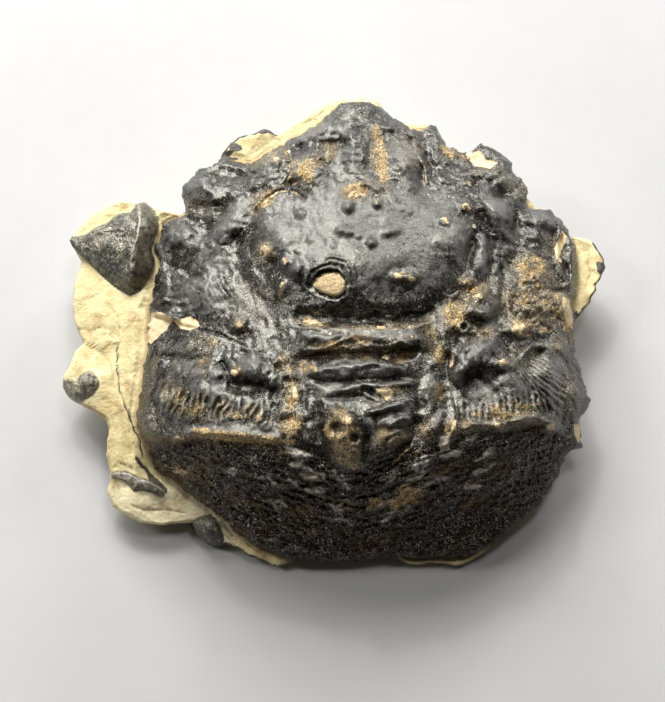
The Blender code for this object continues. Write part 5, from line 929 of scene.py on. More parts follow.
def teeth_mask(u, v):
    """Pale strokes standing side by side above the rear edges, and the lines of the fan."""
    left = band(u, v, [(168, 398), (200, 405), (235, 411), (266, 416)], 17.0)
    wave = np.sin(2 * np.pi * (u + 0.22 * (v - 410) + 6.0 * fractal(u / 12.0, v / 16.0, 2.0, 41, 3)) / 7.2)
    broken = smooth(0.62 + 2.6 * fractal(u / 5.0, v / 9.0, 5.0, 104, 3))
    strokes = left * smooth(0.42 + 0.9 * wave) * (0.65 + 1.5 * fractal(u / 7.0, v / 12.0, 3.0, 98, 3))
    right = band(u, v, [(470, 416), (495, 411), (520, 404), (540, 398)], 15.0)
    wave = np.sin(2 * np.pi * (u - 0.15 * (v - 410) + 4.6 * fractal(u / 11.0, v / 16.0, 6.0, 45, 3)) / 6.0)
    strokes = np.maximum(strokes, right * smooth(0.5 + 0.9 * wave) * (0.6 + 1.2 * fractal(u / 7.0, v / 12.0, 3.0, 99, 3)))
    far, turn = np.hypot(v - 338.0, u - 500.0), np.arctan2(v - 338.0, u - 500.0)
    wave = np.sin(2 * np.pi * (turn * 58.0 + 0.10 * far + 2.6 * fractal(u / 12.0, v / 12.0, 8.0, 49, 3)) / 4.3)
    fan = band(u, v, [(532, 366), (548, 382), (558, 400)], 24.0)
    strokes = strokes * broken
    strokes = np.maximum(strokes, 0.36 * fan * smooth(0.15 + 0.9 * wave) * (0.6 + 1.2 * fractal(u / 9.0, v / 9.0, 3.0, 100, 3)))
    return np.clip(strokes, 0, 1)


def cream_mask(u, v):
    """How thickly pale stone shows through or clings to the shell; over about half it is solid."""
    u = u + 1.2 * fractal(u / 5.0, v / 5.0, 0.0, 71, 3)
    v = v + 1.2 * fractal(u / 5.0, v / 5.0, 3.0, 72, 3)
    mask = np.zeros(np.shape(u))
    for cu, cv, ru, rv, turn, much in CREAM_SPOTS:
        mask = np.maximum(mask, much * smooth((1.35 - spot(u, v, cu, cv, ru, rv, turn)) / 0.7))
    for area, much in CREAM_AREAS:
        mask = np.maximum(mask, much * smooth(inside_distance(u, v, area) / 3.4 + 0.62))
    for points, wide, much in PALE_LINES:
        d, along, _ = line_distance(u, v, points)
        mask = np.maximum(mask, much * smooth(np.minimum(along, 1 - along) / 0.08 + 0.1) * np.exp(-(d / (1.35 * wide)) ** 2))
    return np.clip(mask, 0, 1)


def gold_mask(u, v):
    """How thick the tan crust is."""
    pits = np.minimum(spot(u, v, 337, 427.5, 5.4, 6.0, 0), spot(u, v, 354, 438, 4.4, 4.4, 0))
    ring = spot(u, v, 338, 429, 14, 12, 0)
    u0, v0 = u, v
    u, v = u + 5.0 * fractal(u / 11.0, v / 11.0, 0.0, 76, 4), v + 5.0 * fractal(u / 11.0, v / 11.0, 3.0, 77, 4)
    mask = np.zeros(np.shape(u))
    for cu, cv, ru, rv, turn in GOLD_SPOTS:
        mask = np.maximum(mask, smooth((1.35 - spot(u, v, cu, cv, ru, rv, turn)) / 0.9))
    left = band(u, v, [(172, 404), (200, 409), (235, 413), (262, 416)], 17.0)
    right = band(u, v, [(466, 412), (490, 410), (520, 405), (540, 402)], 14.0)
    crusty = 0.68 * band(u0, v0, [(526, 284), (546, 296), (556, 312)], 26.0) + 0.45 * band(u0, v0, [(470, 300), (450, 318)], 20.0)
    mask = np.maximum(mask, crusty)
    mask = np.maximum(mask, 0.55 * np.maximum(left, right)) * (0.8 + 0.9 * fractal(u / 7.0, v / 7.0, 0.0, 75, 3))
    mask = np.maximum(mask, 0.8 * smooth(1.4 - np.abs(ring - 0.85) / 0.25) * (v0 > 414))
    mask = mask * (0.85 + 0.9 * fractal(u0 / 5.0, v0 / 5.0, 2.0, 95, 3))
    lip = band(u0, v0, [(196, 433), (210, 434), (232, 436.5), (262, 440), (290, 443)], 9.0)
    mask = np.maximum(mask, lip * (1.25 + 0.9 * fractal(u0 / 6.0, v0 / 4.0, 2.0, 96, 3)) * (0.62 + 0.38 * smooth((262 - u0) / 40.0 + 0.3)))
    streak = band(u0, v0, [(376, 130), (379, 142), (382, 158), (384, 178)], 8.0)
    mask = np.maximum(mask, streak * (1.0 + 0.7 * fractal(u0 / 5.0, v0 / 5.0, 2.0, 97, 3)))
    # painted light: the crust is thicker on the lower rear slope, to make up for the light that slope misses
    mask = mask * (1.0 + 0.7 * (v0 > 480))
    return np.clip(mask, 0, 1) * smooth((pits - 0.8) / 0.4)


def stain_mask(u, v):
    """0..1, brown iron stain."""
    cloud = fractal(u / 9.0, v / 9.0, 0.0, 73, 4)
    u, v = u + 5.0 * fractal(u / 12.0, v / 12.0, 0.0, 78, 4), v + 5.0 * fractal(u / 12.0, v / 12.0, 3.0, 79, 4)
    mask = np.zeros(np.shape(u))
    for cu, cv, ru, rv, turn in STAIN_SPOTS:
        mask = np.maximum(mask, smooth(1.25 - spot(u, v, cu, cv, ru, rv, turn)))
    for points, wide, much in STAIN_LINES:
        mask = np.maximum(mask, much * band(u, v, points, 1.6 * wide))
    return np.clip(mask * (0.75 + 1.0 * cloud), 0, 1)


# ---------------------------------------------------------------- building
def to_object(name, mesh, material):
    o = bpy.data.objects.new(name, mesh)
    bpy.context.scene.collection.objects.link(o)
    mesh.materials.clear()
    mesh.materials.append(material)
    return o


def points_mm(mesh):
    co = np.empty(len(mesh.vertices) * 3)
    mesh.vertices.foreach_get("co", co)
    return co.reshape(-1, 3) * 1000.0


def write_mask(mesh, name, values):
    a = mesh.attributes.new(name, "FLOAT", "POINT")
    a.data.foreach_set("value", np.ascontiguousarray(values, np.float32).ravel())


def fast_mesh(name, rings, first_pole, last_pole):
    """As ring_mesh, for large meshes: every face a triangle and already facing out."""
    points, faces, starts, count = [], [], [], 0
    for r in rings:
        starts.append(count)
        points.append(r)
        count += len(r)
    for k in range(len(rings) - 1):
        faces.append(zip_rings(starts[k], len(rings[k]), starts[k + 1], len(rings[k + 1])))
    for pole, k, turn in ((first_pole, 0, 1), (last_pole, len(rings) - 1, -1)):
        n = len(rings[k])
        ring = starts[k] + np.arange(n)
        points.append(np.asarray(pole, float)[None])
        fan = np.stack([np.full(n, count), ring, np.roll(ring, -1)], 1)
        faces.append(fan if turn > 0 else fan[:, ::-1])
        count += 1
    verts = np.concatenate(points) * 0.001
    tris = np.concatenate(faces)
    a, b, c = (verts[tris[:, i]] for i in range(3))
    if (a * np.cross(b, c)).sum() < 0:
        tris = tris[:, ::-1]
    mesh = bpy.data.meshes.new(name)
    mesh.vertices.add(len(verts))
    mesh.vertices.foreach_set("co", verts.ravel())
    mesh.loops.add(len(tris) * 3)
    mesh.loops.foreach_set("vertex_index", tris.astype(np.int32).ravel())
    mesh.polygons.add(len(tris))
    mesh.polygons.foreach_set("loop_start", np.arange(0, len(tris) * 3, 3, dtype=np.int32))
    mesh.update(calc_edges=True)
    mesh.polygons.foreach_set("use_smooth", np.ones(len(tris), bool))
    mesh.update()
    return mesh


def v0_shift(u, v):
    """Positive over the right half of the ground above the hole."""
    return u - 322.0 + 3.0 * fractal(u / 5.0, v / 5.0, 7.0, 85, 2)


def shell_surface(u, v, edge):
    """Finished carapace points in mm."""
    p = place(u, v, shell_height(u, v, edge))
    n = shell_normal(u, v, edge)
    fade = smooth(edge / 9.0)
    rise = shell_relief(u, v) * fade + fine_relief(u, v, p) * (0.35 + 0.65 * fade)
    cream = cream_mask(u, v)
    rise = rise - 0.10 * smooth((cream - 0.3) / 0.4)
    # the hole's broken rim: arcs standing up above it, a crumbling chamfer below it
    d = -inside_distance(u, v, HOLE)
    chip = fractal(u / 5.0, v / 5.0, 3.0, 81, 3)
    d = d + 2.0 * chip
    above = smooth((283 - v) / 12.0)
    rise = rise + above * ((0.30 + 0.5 * chip) * np.exp(-((d - 2.2) / 1.7) ** 2) + 0.30 * np.exp(-((d - 7.5) / 1.5) ** 2) - 0.30 * np.exp(-((d - 4.8) / 1.3) ** 2))
    rise = rise + above * (0.30 * np.exp(-((d - 12.0) / 1.4) ** 2) - 0.25 * np.exp(-((d - 9.8) / 1.2) ** 2)) * smooth((v0_shift(u, v)) / 6.0)
    below = (1 - above) * smooth(1.0 - d / 6.5)
    rise = rise - below * (0.55 - 0.55 * fractal(u / 2.6, v / 2.6, 4.0, 82, 3))
    rise = rise + (1 - above) * 0.18 * np.exp(-((d - 7.5) / 1.5) ** 2)
    # never so deep that the shell's lower side shows
    rise = np.where(rise < 0, -1.28 * np.tanh(-rise / 1.28), rise)
    return raise_along_sight(p, n, rise)


def build_carapace():
    us, vs, es, sizes = [], [], [], []
    for k in range(1, OUTER_RINGS + 1):
        u, v, edge = shell_ring(6 * k, k / OUTER_RINGS)
        us.append(u); vs.append(v); es.append(edge); sizes.append(6 * k)
    us.append(np.array([CENTRE[0]])); vs.append(np.array([CENTRE[1]])); es.append(np.array([200.0]))
    u, v, e = (np.concatenate(t) for t in (us, vs, es))
    # the outline itself is chipped and uneven
    wobble = 3.0 * fractal(u / 5.0, v / 5.0, 0.0, 83, 4) * smooth(1.0 - e / 9.0)
    out = np.hypot(u - CENTRE[0], v - CENTRE[1]) + 1e-9
    u, v = u + wobble * (u - CENTRE[0]) / out, v + wobble * (v - CENTRE[1]) / out
    p = shell_surface(u, v, e)
    rings = np.split(p[:-1], np.cumsum(sizes)[:-1])
    top = p[-1]
    rim = rings[-1]
    n = len(rim)
    s = EYE - rim
    s /= np.linalg.norm(s, axis=-1, keepdims=True)
    rings.append(rim - s * 0.5)
    rings.append(rim - s * RIM_DROP)
    for count, share in list(zip(INNER_COUNTS, INNER_SHARES))[::-1]:
        depth = 1.5 if share < 0.95 else RIM_DROP + 0.2
        rings.append(under_shell(count, share, depth))
    c = np.array([CENTRE[0]]), np.array([CENTRE[1]])
    far = np.array([200.0])
    low = (place(c[0], c[1], shell_height(c[0], c[1], far)) - 1.5 * shell_normal(c[0], c[1], far))[0]
    mesh = fast_mesh("carapace_skin", rings, top, low)
    return mesh


def ragged_hole():
    """The hole's broken outline, finer and less even than its landmarks."""
    pts = np.asarray(HOLE, float)
    mid = pts.mean(0)
    n = 84
    a = 2 * np.pi * np.arange(n) / n
    r = soft_ring(ring_radius(HOLE, mid, a), 1)
    r = 1.05 * r + 1.5 * fractal(3.0 * np.cos(a), 3.0 * np.sin(a), 0.0, 91, 3)
    return mid[0] + r * np.cos(a), mid[1] + r * np.sin(a)


def cut_hole(o):
    u, v = ragged_hole()
    outer = [place(u, v, z) for z in (32.0, 29.0)]
    mu, mv = u.mean(), v.mean()
    inner = [place(mu + (u - mu) * s, mv + (v - mv) * s, z) for s, z in ((1.0, 26.5), (0.97, 24.0), (0.97, 20.0))]
    rings = outer + inner
    c = np.array([mu]), np.array([mv])
    cutter = bpy.data.objects.new("hole_tool", fast_mesh("hole_tool", rings, place(*c, 32.0)[0], place(*c, 20.0)[0]))
    bpy.context.scene.collection.objects.link(cutter)
    m = o.modifiers.new("hole", "BOOLEAN")
    m.operation, m.solver, m.object = "DIFFERENCE", "EXACT", cutter
    done = bpy.data.meshes.new_from_object(o.evaluated_get(bpy.context.evaluated_depsgraph_get()))
    o.modifiers.clear()
    o.data = done
    bpy.data.objects.remove(cutter)
    return done


def hollows(mesh, rounds):
    """How far each point lies below the mean of its neighbours, in mm, widened over several rounds."""
    p = points_mm(mesh)
    n = len(p)
    e = np.empty(len(mesh.edges) * 2, np.int32)
    mesh.edges.foreach_get("vertices", e)
    a, b = e[0::2], e[1::2]
    count = np.maximum(np.bincount(a, minlength=n) + np.bincount(b, minlength=n), 1)
    q = p.copy()
    for _ in range(rounds):
        s = np.stack([np.bincount(a, q[b, k], n) + np.bincount(b, q[a, k], n) for k in range(3)], 1)
        q = 0.5 * q + 0.5 * s / count[:, None]
    normals = np.empty(n * 3)
    mesh.vertices.foreach_get("normal", normals)
    return ((q - p) * normals.reshape(-1, 3)).sum(1)


# ---------------------------------------------------------------- stone marks, in drawing units
STONE_CRACKS = [   # (points, half width, depth mm, darkness)
    ([(118, 340), (117, 356), (117, 373), (120, 391), (126, 408), (133, 425), (139, 440), (145, 462)], 1.0, 0.35, 0.75),
    ([(134, 456), (140, 463), (147, 471), (156, 480), (165, 490)], 1.7, 0.30, 0.95),
    ([(113, 467), (120, 463), (128, 466), (134, 470)], 0.9, 0.25, 0.6),
    ([(85, 343), (98, 350), (108, 360), (113, 374), (111, 390)], 1.0, 0.25, 0.30),
    ([(76, 328), (90, 331), (102, 327), (112, 330)], 0.9, 0.22, 0.22),
    ([(99, 300), (110, 306), (118, 318), (119, 340)], 0.8, 0.20, 0.18),
    ([(128, 505), (146, 511), (166, 510), (186, 514)], 0.9, 0.20, 0.20),
    ([(590, 252), (587, 264), (590, 276), (585, 290)], 0.8, 0.22, 0.30),
]
STONE_DARK = [     # closed outlines of dark skin left on the stone
    [(229, 150), (230, 145), (235, 143), (241, 145), (243, 149), (239, 152), (234, 151), (231, 155), (226, 158), (221, 158), (225, 153)],
    [(257, 132), (260, 128), (268, 128), (277, 133), (276, 136), (268, 133), (262, 134)],
    [(216, 160), (226, 157), (238, 158), (238, 160), (226, 160), (218, 163)],
    [(596, 262), (605, 262), (607, 270), (602, 276), (597, 272)],
    [(571, 315), (577, 311), (580, 318), (574, 324)],
    [(147, 474), (156, 478), (167, 489), (166, 494), (156, 492), (149, 484)],
]
STONE_EDGES = [    # thin dark shell left along the stone's edge: (points, half width)
    ([(593, 243), (598, 250), (603, 258), (606, 267), (602, 275), (600, 280), (596, 285), (596, 291), (591, 298), (589, 304), (582, 311), (575, 320)], 1.7),
    ([(222, 157), (226, 150), (232, 143), (240, 137), (250, 134.5)], 1.5),
    ([(251, 135), (261, 129), (268, 130), (276, 135)], 2.0),
    ([(225, 543), (240, 549), (250, 556), (262, 560), (276, 567)], 1.6),
    ([(300, 562), (345, 564), (400, 564)], 1.2),
]
STONE_BROWN = [    # (u, v, half width, half height, turn)
    (182, 497, 9, 8, 20), (172, 506, 14, 10, 0), (148, 508, 12, 6, 10), (104, 349, 6, 5, 0), (96, 318, 8, 5, 0), (240, 540, 14, 8, 25),
    (262, 553, 14, 6, 25), (115, 484, 8, 9, 0), (128, 388, 6, 9, 0), (78, 368, 6, 9, 0), (89, 360, 4, 11, -35), (121, 410, 4, 12, -40), (588, 300, 8, 8, 0), (252, 142, 12, 4, -15), (150, 330, 5, 16, 0),
    (92, 407, 10, 5, 20), (120, 206, 12, 5, -5), (168, 214, 12, 4, 10), (133, 320, 7, 12, 0),
]


def stone_top(r, a, shell, start, inner, rim_low):
    """Points of the stone's upper side at radius r for each angle, in mm, and how far each is in the open."""
    u, v = CENTRE[0] + r * np.cos(a), CENTRE[1] + r * np.sin(a)
    beyond = r - shell
    roof = rim_low[:, 2] - 0.16 + np.maximum(beyond - 7.0, 0.0) * 0.06
    p = place(u, v, np.maximum(np.minimum(_stone_base(u, v), roof), 0.9))
    t = np.clip((r - start) / RIM_WIDTH, 0, 1)[:, None]
    covered = inner + (rim_low - inner) * t
    return np.where((beyond < 1e-6)[:, None], covered, p), u, v, np.maximum(beyond, 0.0)


def stone_relief(u, v, p, beyond):
    """Rise in mm over the stone's open surface."""
    x, y, z = p[..., 0], p[..., 1], p[..., 2]
    rise = 0.50 * fractal(x / 6.0, y / 6.0, z / 6.0, 101, 3)
    # flaked steps: rounded plates, each at its own level
    d, own = cells(x / 5.2 + 0.35 * fractal(x / 2.0, y / 2.0, 0.0, 103, 2), y / 5.2 + 0.35 * fractal(x / 2.0, y / 2.0, 4.0, 104, 2), z / 5.2, 105)
    rise = rise + 0.26 * (own - 0.5)
    rise = rise + 0.11 * fractal(x / 1.1, y / 1.1, z / 1.1, 107, 3)
    d, own = cells(x / 1.6, y / 1.6, z / 1.6, 109)
    rise = rise - 0.20 * (own > 0.72) * np.clip(1.0 - d / 0.25, 0, 1)
    for points, wide, deep, _ in STONE_CRACKS:
        dd, along, _ = line_distance(u + 1.5 * fractal(u / 7.0, v / 7.0, 0.0, 111, 2), v, points)
        rise = rise - deep * smooth(np.minimum(along, 1 - along) / 0.06) * np.exp(-(dd / (1.1 * wide)) ** 2)
    return rise * smooth(beyond / 5.0)


def wall_noise(p):
    """Broken-rock displacement in mm for the stone's sides and underside."""
    x, y, z = p[..., 0], p[..., 1], p[..., 2]
    wx, wy = 0.5 * fractal(x / 3.0, y / 3.0, z / 3.0, 121, 2), 0.5 * fractal(x / 3.0, y / 3.0, z / 3.0, 122, 2)
    d, own = cells(x / 7.0 + wx, y / 7.0 + wy, z / 4.0, 123)
    d2, own2 = cells(x / 2.8 + wx, y / 2.8 + wy, z / 2.0, 127)
    bed = np.abs(((z + 1.1 * fractal(x / 12.0, y / 12.0, 0.0, 129, 2)) / 2.6) % 1.0 - 0.5) * 2
    return 0.95 * (own - 0.5) + 0.42 * (own2 - 0.5) + 0.55 * fractal(x / 5.0, y / 5.0, z / 5.0, 131, 4) + 0.22 * (bed - 0.5)


STONE_AROUND = 900


def build_matrix():
    rings, tops = [], []
    inner_rings = 56
    for k in range(1, inner_rings + 1):
        n, share = 6 * k, k / (inner_rings + 0.5)
        a = 2 * np.pi * np.arange(n) / n
        full, soft = edge_radius(SHELL_OUTLINE, CENTRE, n)
        r = (soft + (full - soft) * share ** 6 - RIM_WIDTH) * share
        u, v = CENTRE[0] + r * np.cos(a), CENTRE[1] + r * np.sin(a)
        e = np.maximum(full - r, 0.0)
        # the last rings come up with the shell's own lower side as it thins towards its rim
        thin = smooth((share - 0.86) / 0.14)
        p = place(u, v, shell_height(u, v, e)) - (1.5 + (RIM_DROP + 0.25 - 1.5) * thin) * shell_normal(u, v, e, 12.0) + BED_GAP * bed_direction(n, share)
        # the floor under the hole stands higher
        d = inside_distance(u, v, HOLE)
        up = 2.25 * smooth((d + 5.5) / 5.0) + 0.16 * smooth((d + 1.5) / 6.0) * fractal(u / 3.0, v / 3.0, 0.0, 133, 3)
        p = raise_along_sight(p, shell_normal(u, v, e, 12.0), up)
        rings.append(p)
    n = STONE_AROUND
    a = 2 * np.pi * np.arange(n) / n
    shell, _ = edge_radius(SHELL_OUTLINE, CENTRE, n)
    fine = 2880
    full = ring_radius(STONE_OUTLINE, CENTRE, 2 * np.pi * np.arange(fine) / fine)
    stone = np.interp(np.arange(n) * (fine / n), np.arange(fine + 1), np.append(full, full[0]))
    stone = np.maximum(stone, shell - RIM_WIDTH + 4.0)
    open_side = smooth((stone - shell) / 4.0)
    ragged = fractal(CENTRE[0] / 7.0 + stone * np.cos(a) / 7.0, stone * np.sin(a) / 7.0, 0.0, 135, 4)
    stone = stone + 1.6 * ragged * open_side
    start = shell - RIM_WIDTH
    # the rim's lower edge, read at this ring's angles
    ru, rv = CENTRE[0] + shell * np.cos(a), CENTRE[1] + shell * np.sin(a)
    rim_low = place(ru, rv, shell_height(ru, rv, np.zeros(n)) - RIM_DROP) + BED_GAP * bed_direction(n, 1.0)
    inner = under_shell(n, 1.0, RIM_DROP + 0.25) + BED_GAP * bed_direction(n, 1.0)
    rings.append(inner)
    under_rim = np.minimum(shell, start + (stone - start) * 0.3)
    first = np.minimum(shell + 2.0, start + (stone - start) * 0.55)
    radii = [under_rim] + [first + (stone - first) * t for t in np.linspace(0, 1, 50)]
    for r in radii:
        p, u, v, beyond = stone_top(r, a, shell, start, inner, rim_low)
        rise = stone_relief(u, v, p, beyond)
        # rounded off towards the broken edge
        left = stone - r
        rise = rise - 0.55 * np.clip(1 - left / 4.0, 0, 1) ** 2 * open_side
        s = EYE - p
        s /= np.linalg.norm(s, axis=-1, keepdims=True)
        p = p + s * rise[:, None]
        # beds of the claw and leg pieces
        for outline, _, _, floor in SCRAPS:
            d = inside_distance(u, v, outline)
            p[:, 2] = np.where(d > 1.6, np.minimum(p[:, 2], np.maximum(floor - 0.35, 0.4)), p[:, 2])
        p[:, 2] = np.maximum(p[:, 2], 0.5)
        rings.append(p)
    edge = rings[-1]
    middle = edge[:, :2].mean(0)
    plain = place(CENTRE[0] + stone * np.cos(a), CENTRE[1] + stone * np.sin(a), np.maximum(edge[:, 2], 0.9))
    steps = np.linspace(0, 1, 31)[1:]
    knots = np.array([0.0, 0.18, 0.36, 0.55, 0.75, 1.0])
    shares = np.interp(steps, knots, [1.0, 0.985, 0.95, 0.88, 0.76, BASE_SHARE])
    drops = np.interp(steps, knots, [0.0, 0.30, 0.58, 0.80, 0.93, 1.0])
    reach = plain[:, :2] - middle
    size = np.linalg.norm(reach, axis=1)
    soft = soft_ring(size, 34)
    angle = np.arctan2(reach[:, 1], reach[:, 0])
    for t, share, drop in zip(steps, shares, drops):
        round_off = smooth(t * 1.2)
        rad = share * (size + (soft - size) * round_off)
        p = np.stack([middle[0] + rad * np.cos(angle), middle[1] + rad * np.sin(angle), plain[:, 2] * (1 - drop)], 1)
        w = wall_noise(p) - 0.35
        out = np.stack([np.cos(angle), np.sin(angle), np.zeros(n)], 1)
        grow = smooth(t / 0.12)
        p = p + out * (w * grow)[:, None]
        p[:, 2] += 0.35 * w * grow * smooth((1 - t) / 0.2)
        p[:, 2] = np.where(t > 0.999, 0.0, np.maximum(p[:, 2], 0.02 + 0.10 * smooth((1 - t) * 8)))
        rings.append(p)
    base = rings[-1]
    bm = base[:, :2].mean(0)
    for count, share in ((600, 0.93), (480, 0.85), (360, 0.74), (280, 0.62), (200, 0.5), (140, 0.37), (90, 0.25), (40, 0.12)):
        at = np.arange(count) * (n / count)
        ring = np.stack([np.interp(at, np.arange(n + 1), np.append(base[:, k], base[0, k])) for k in range(2)], 1)
        ring = bm + (ring - bm) * share
        lift = 0.32 * np.clip(fractal(ring[:, 0] / 4.0, ring[:, 1] / 4.0, 0.0, 137, 4) + 0.05, 0, 1)
        rings.append(np.concatenate([ring, lift[:, None]], 1))
    top = place(np.array([CENTRE[0]]), np.array([CENTRE[1]]), shell_height(*(np.array([c]) for c in CENTRE), np.array([200.0])))[0]
    top = top - (1.5 + 0.38) * shell_normal(np.array([CENTRE[0]]), np.array([CENTRE[1]]), np.array([200.0]), 12.0)[0]
    mesh = fast_mesh("stone_body", rings, top, [bm[0], bm[1], 0.0])
    return mesh


def stone_masks(mesh):
    p = points_mm(mesh)
    u, v = chart(p)
    n = np.empty(len(p) * 3)
    mesh.vertices.foreach_get("normal", n)
    up = smooth(n.reshape(-1, 3)[:, 2] / 0.35)
    a = np.arctan2(v - CENTRE[1], u - CENTRE[0])
    beyond = np.hypot(u - CENTRE[0], v - CENTRE[1]) - ring_radius(SHELL_OUTLINE, CENTRE, a)
    seen = up * (beyond > -2.0)
    wobble = fractal(u / 4.0, v / 4.0, 0.0, 141, 3)
    dark = np.zeros(len(p))
    for points, wide, _, much in STONE_CRACKS:
        d, along, _ = line_distance(u + 1.5 * fractal(u / 7.0, v / 7.0, 0.0, 111, 2), v, points)
        dark = np.maximum(dark, much * smooth(np.minimum(along, 1 - along) / 0.06) * np.exp(-(d / (wide * (1.0 + 0.6 * wobble))) ** 2))
    for area in STONE_DARK:
        dark = np.maximum(dark, 0.95 * smooth(inside_distance(u, v, area) / 1.8 + 0.5 + 0.7 * wobble))
    for points, wide in STONE_EDGES:
        d, _, _ = line_distance(u, v, points)
        dark = np.maximum(dark, 0.95 * smooth(1.3 - d / wide + 0.8 * wobble))
    # rock right beside the scraps and the shell's rim is darker
    for outline, _, _, _ in SCRAPS:
        d = -inside_distance(u, v, outline)
        dark = np.maximum(dark, 0.55 * np.exp(-(np.maximum(d, 0) / 1.5) ** 2))
    brown = np.zeros(len(p))
    for cu, cv, ru, rv, turn in STONE_BROWN:
        brown = np.maximum(brown, smooth(1.25 - spot(u, v, cu, cv, ru, rv, turn)))
    brown = brown * (0.6 + 0.9 * wobble)
    brown = np.maximum(brown, 0.5 * smooth(1 - np.abs(beyond) / 2.5))
    in_hole = smooth(inside_distance(u, v, HOLE) / 3.0 + 1.0)
    write_mask(mesh, "dark", np.clip(dark * seen, 0, 1))
    write_mask(mesh, "brown", np.clip(brown * seen * (1 - in_hole), 0, 1))
    write_mask(mesh, "floor", in_hole)
    # painted light: the lower left of the slab is painted paler where it lies in shade
    write_mask(mesh, "low", smooth((v - 474) / 20.0) * smooth((250 - u) / 20.0) * seen)
    write_mask(mesh, "hollow", np.clip(hollows(mesh, 5) / 0.12, -1, 1))
    # painted shade: the stone that lies beneath the shell is painted darker, except under the hole
    under = smooth((-beyond - 1.0) / 6.0) * (1 - smooth(inside_distance(u, v, HOLE) / 4.0 + 1.2)) * up
    write_mask(mesh, "under", under)


# ---------------------------------------------------------------- claw and leg pieces
SCRAPS = [
    (CLAW_OUTLINE, CLAW_CENTRE, CLAW_HEIGHTS, CLAW_FLOOR), (LEG_END_OUTLINE, LEG_END_CENTRE, LEG_END_HEIGHTS, LEG_END_FLOOR),
    (SLIVER_OUTLINE, SLIVER_CENTRE, SLIVER_HEIGHTS, SLIVER_FLOOR), (LOWER_LEG_OUTLINE, LOWER_LEG_CENTRE, LOWER_LEG_HEIGHTS, LOWER_LEG_FLOOR),
]
CLAW_RIDGE = [(139, 206), (139, 216), (138, 235), (135, 243), (132, 252), (131, 264), (131, 274), (130, 290)]
CLAW_MARKS = [   # fine lines over the facets: (points, half width, rise mm)
    (CLAW_RIDGE, 1.3, 0.22), (CLAW_RIDGE, 7.0, 0.40),
    ([(139, 218), (134, 228), (127, 240), (122, 252), (120, 266)], 2.4, -0.18), ([(72, 243), (84, 248), (98, 252), (112, 262)], 2.6, 0.20),
    ([(92, 234), (104, 231), (118, 229), (126, 231)], 1.6, 0.30), ([(94, 240), (98, 248), (99, 256)], 1.6, 0.28),
    ([(144, 214), (148, 226), (150, 236)], 3.0, 0.18), ([(118, 280), (126, 284), (134, 290)], 1.4, 0.22), ([(134, 294), (142, 288), (150, 282)], 1.6, 0.20),
]


def claw_relief(u, v, p):
    x, y, z = p[..., 0], p[..., 1], p[..., 2]
    _, _, side = line_distance(u, v, CLAW_RIDGE)
    left = smooth((136 + 4 * fractal(u / 9.0, v / 9.0, 0.0, 151, 2) - u) / 6.0)
    rise = (0.14 + 0.26 * left) * fractal(x / 1.7, y / 1.7, z / 1.7, 153, 4)
    rise = rise + (0.04 + 0.10 * left) * fractal(x / 0.55, y / 0.55, z / 0.55, 154, 2)
    rise = rise + 0.34 * fractal(x / 4.0, y / 4.0, z / 4.0, 155, 2)
    for points, wide, high in CLAW_MARKS:
        d, along, _ = line_distance(u + 1.2 * fractal(u / 8.0, v / 8.0, 2.0, 157, 2), v, points)
        rise = rise + high * smooth(np.minimum(along, 1 - along) / 0.15) * np.exp(-(d / wide) ** 2)
    return rise


def scrap_relief(u, v, p):
    x, y, z = p[..., 0], p[..., 1], p[..., 2]
    broad = fractal(x / 2.4, y / 2.4, z / 2.4, 161, 3)
    # a ridge along the lower leg piece and one across the leg end
    ridge = 0.55 * np.exp(-((u - np.interp(v, [510, 527, 545], [213, 219, 225])) / 4.5) ** 2) * (u > 185) * (v > 500)
    ridge = ridge + 0.40 * np.exp(-((v - np.interp(u, [66, 80, 95], [375, 366, 374])) / 3.5) ** 2) * (u < 102) * (v < 400)
    return ridge + 0.40 * np.abs(broad) - 0.10 + 0.10 * fractal(x / 0.9, y / 0.9, z / 0.9, 162, 3) + 0.05 * fractal(x / 0.5, y / 0.5, z / 0.5, 163, 2)


def build_scrap(name, outline, centre, heights, floor, count, relief):
    sheet = Sheet(heights, 1e-3)
    rings = []
    for k in range(1, count + 1):
        n, share = 6 * k, k / count
        a = 2 * np.pi * np.arange(n) / n
        full = ring_radius(outline, centre, a)
        soft = soft_ring(ring_radius(outline, centre, 2 * np.pi * np.arange(360) / 360), 12)
        soft = np.interp(np.arange(n) * (360 / n), np.arange(361), np.append(soft, soft[0]))
        r = share * (soft + (full - soft) * share ** 4)
        r = r * (1 + 0.02 * fractal(2.5 * np.cos(a) + 9, 2.5 * np.sin(a), 0.0, 165, 3) * share)
        u, v = centre[0] + r * np.cos(a), centre[1] + r * np.sin(a)
        edge = np.maximum(full - r, 0)
        lip = np.clip(1 - edge / 5.0, 0, 1)
        z = sheet(u, v) - 0.45 * (1 - np.sqrt(1 - lip * lip))
        p = place(u, v, z)
        s = EYE - p
        s /= np.linalg.norm(s, axis=-1, keepdims=True)
        rings.append(p + s * relief(u, v, p)[:, None])
    low = rings[-1]
    mid = low[:, :2].mean(0)
    for t in (0.12, 0.3, 0.55, 0.8, 1.0):
        p = low.copy()
        p[:, :2] = mid + (low[:, :2] - mid) * (1 - 0.05 * t)
        p[:, 2] = low[:, 2] + (floor - low[:, 2]) * t
        if t < 1:
            p[:, :2] += (p[:, :2] - mid) * (0.03 * fractal(p[:, 0] / 1.5, p[:, 1] / 1.5, p[:, 2] / 1.5, 167, 3) - 0.01)[:, None]
        rings.append(p)
    c = np.array([float(centre[0])]), np.array([float(centre[1])])
    top = place(c[0], c[1], sheet(*c))
    s = EYE - top
    s /= np.linalg.norm(s, axis=-1, keepdims=True)
    top = (top + s * relief(c[0], c[1], top)[:, None])[0]
    return fast_mesh(name, rings, top, [mid[0], mid[1], floor])


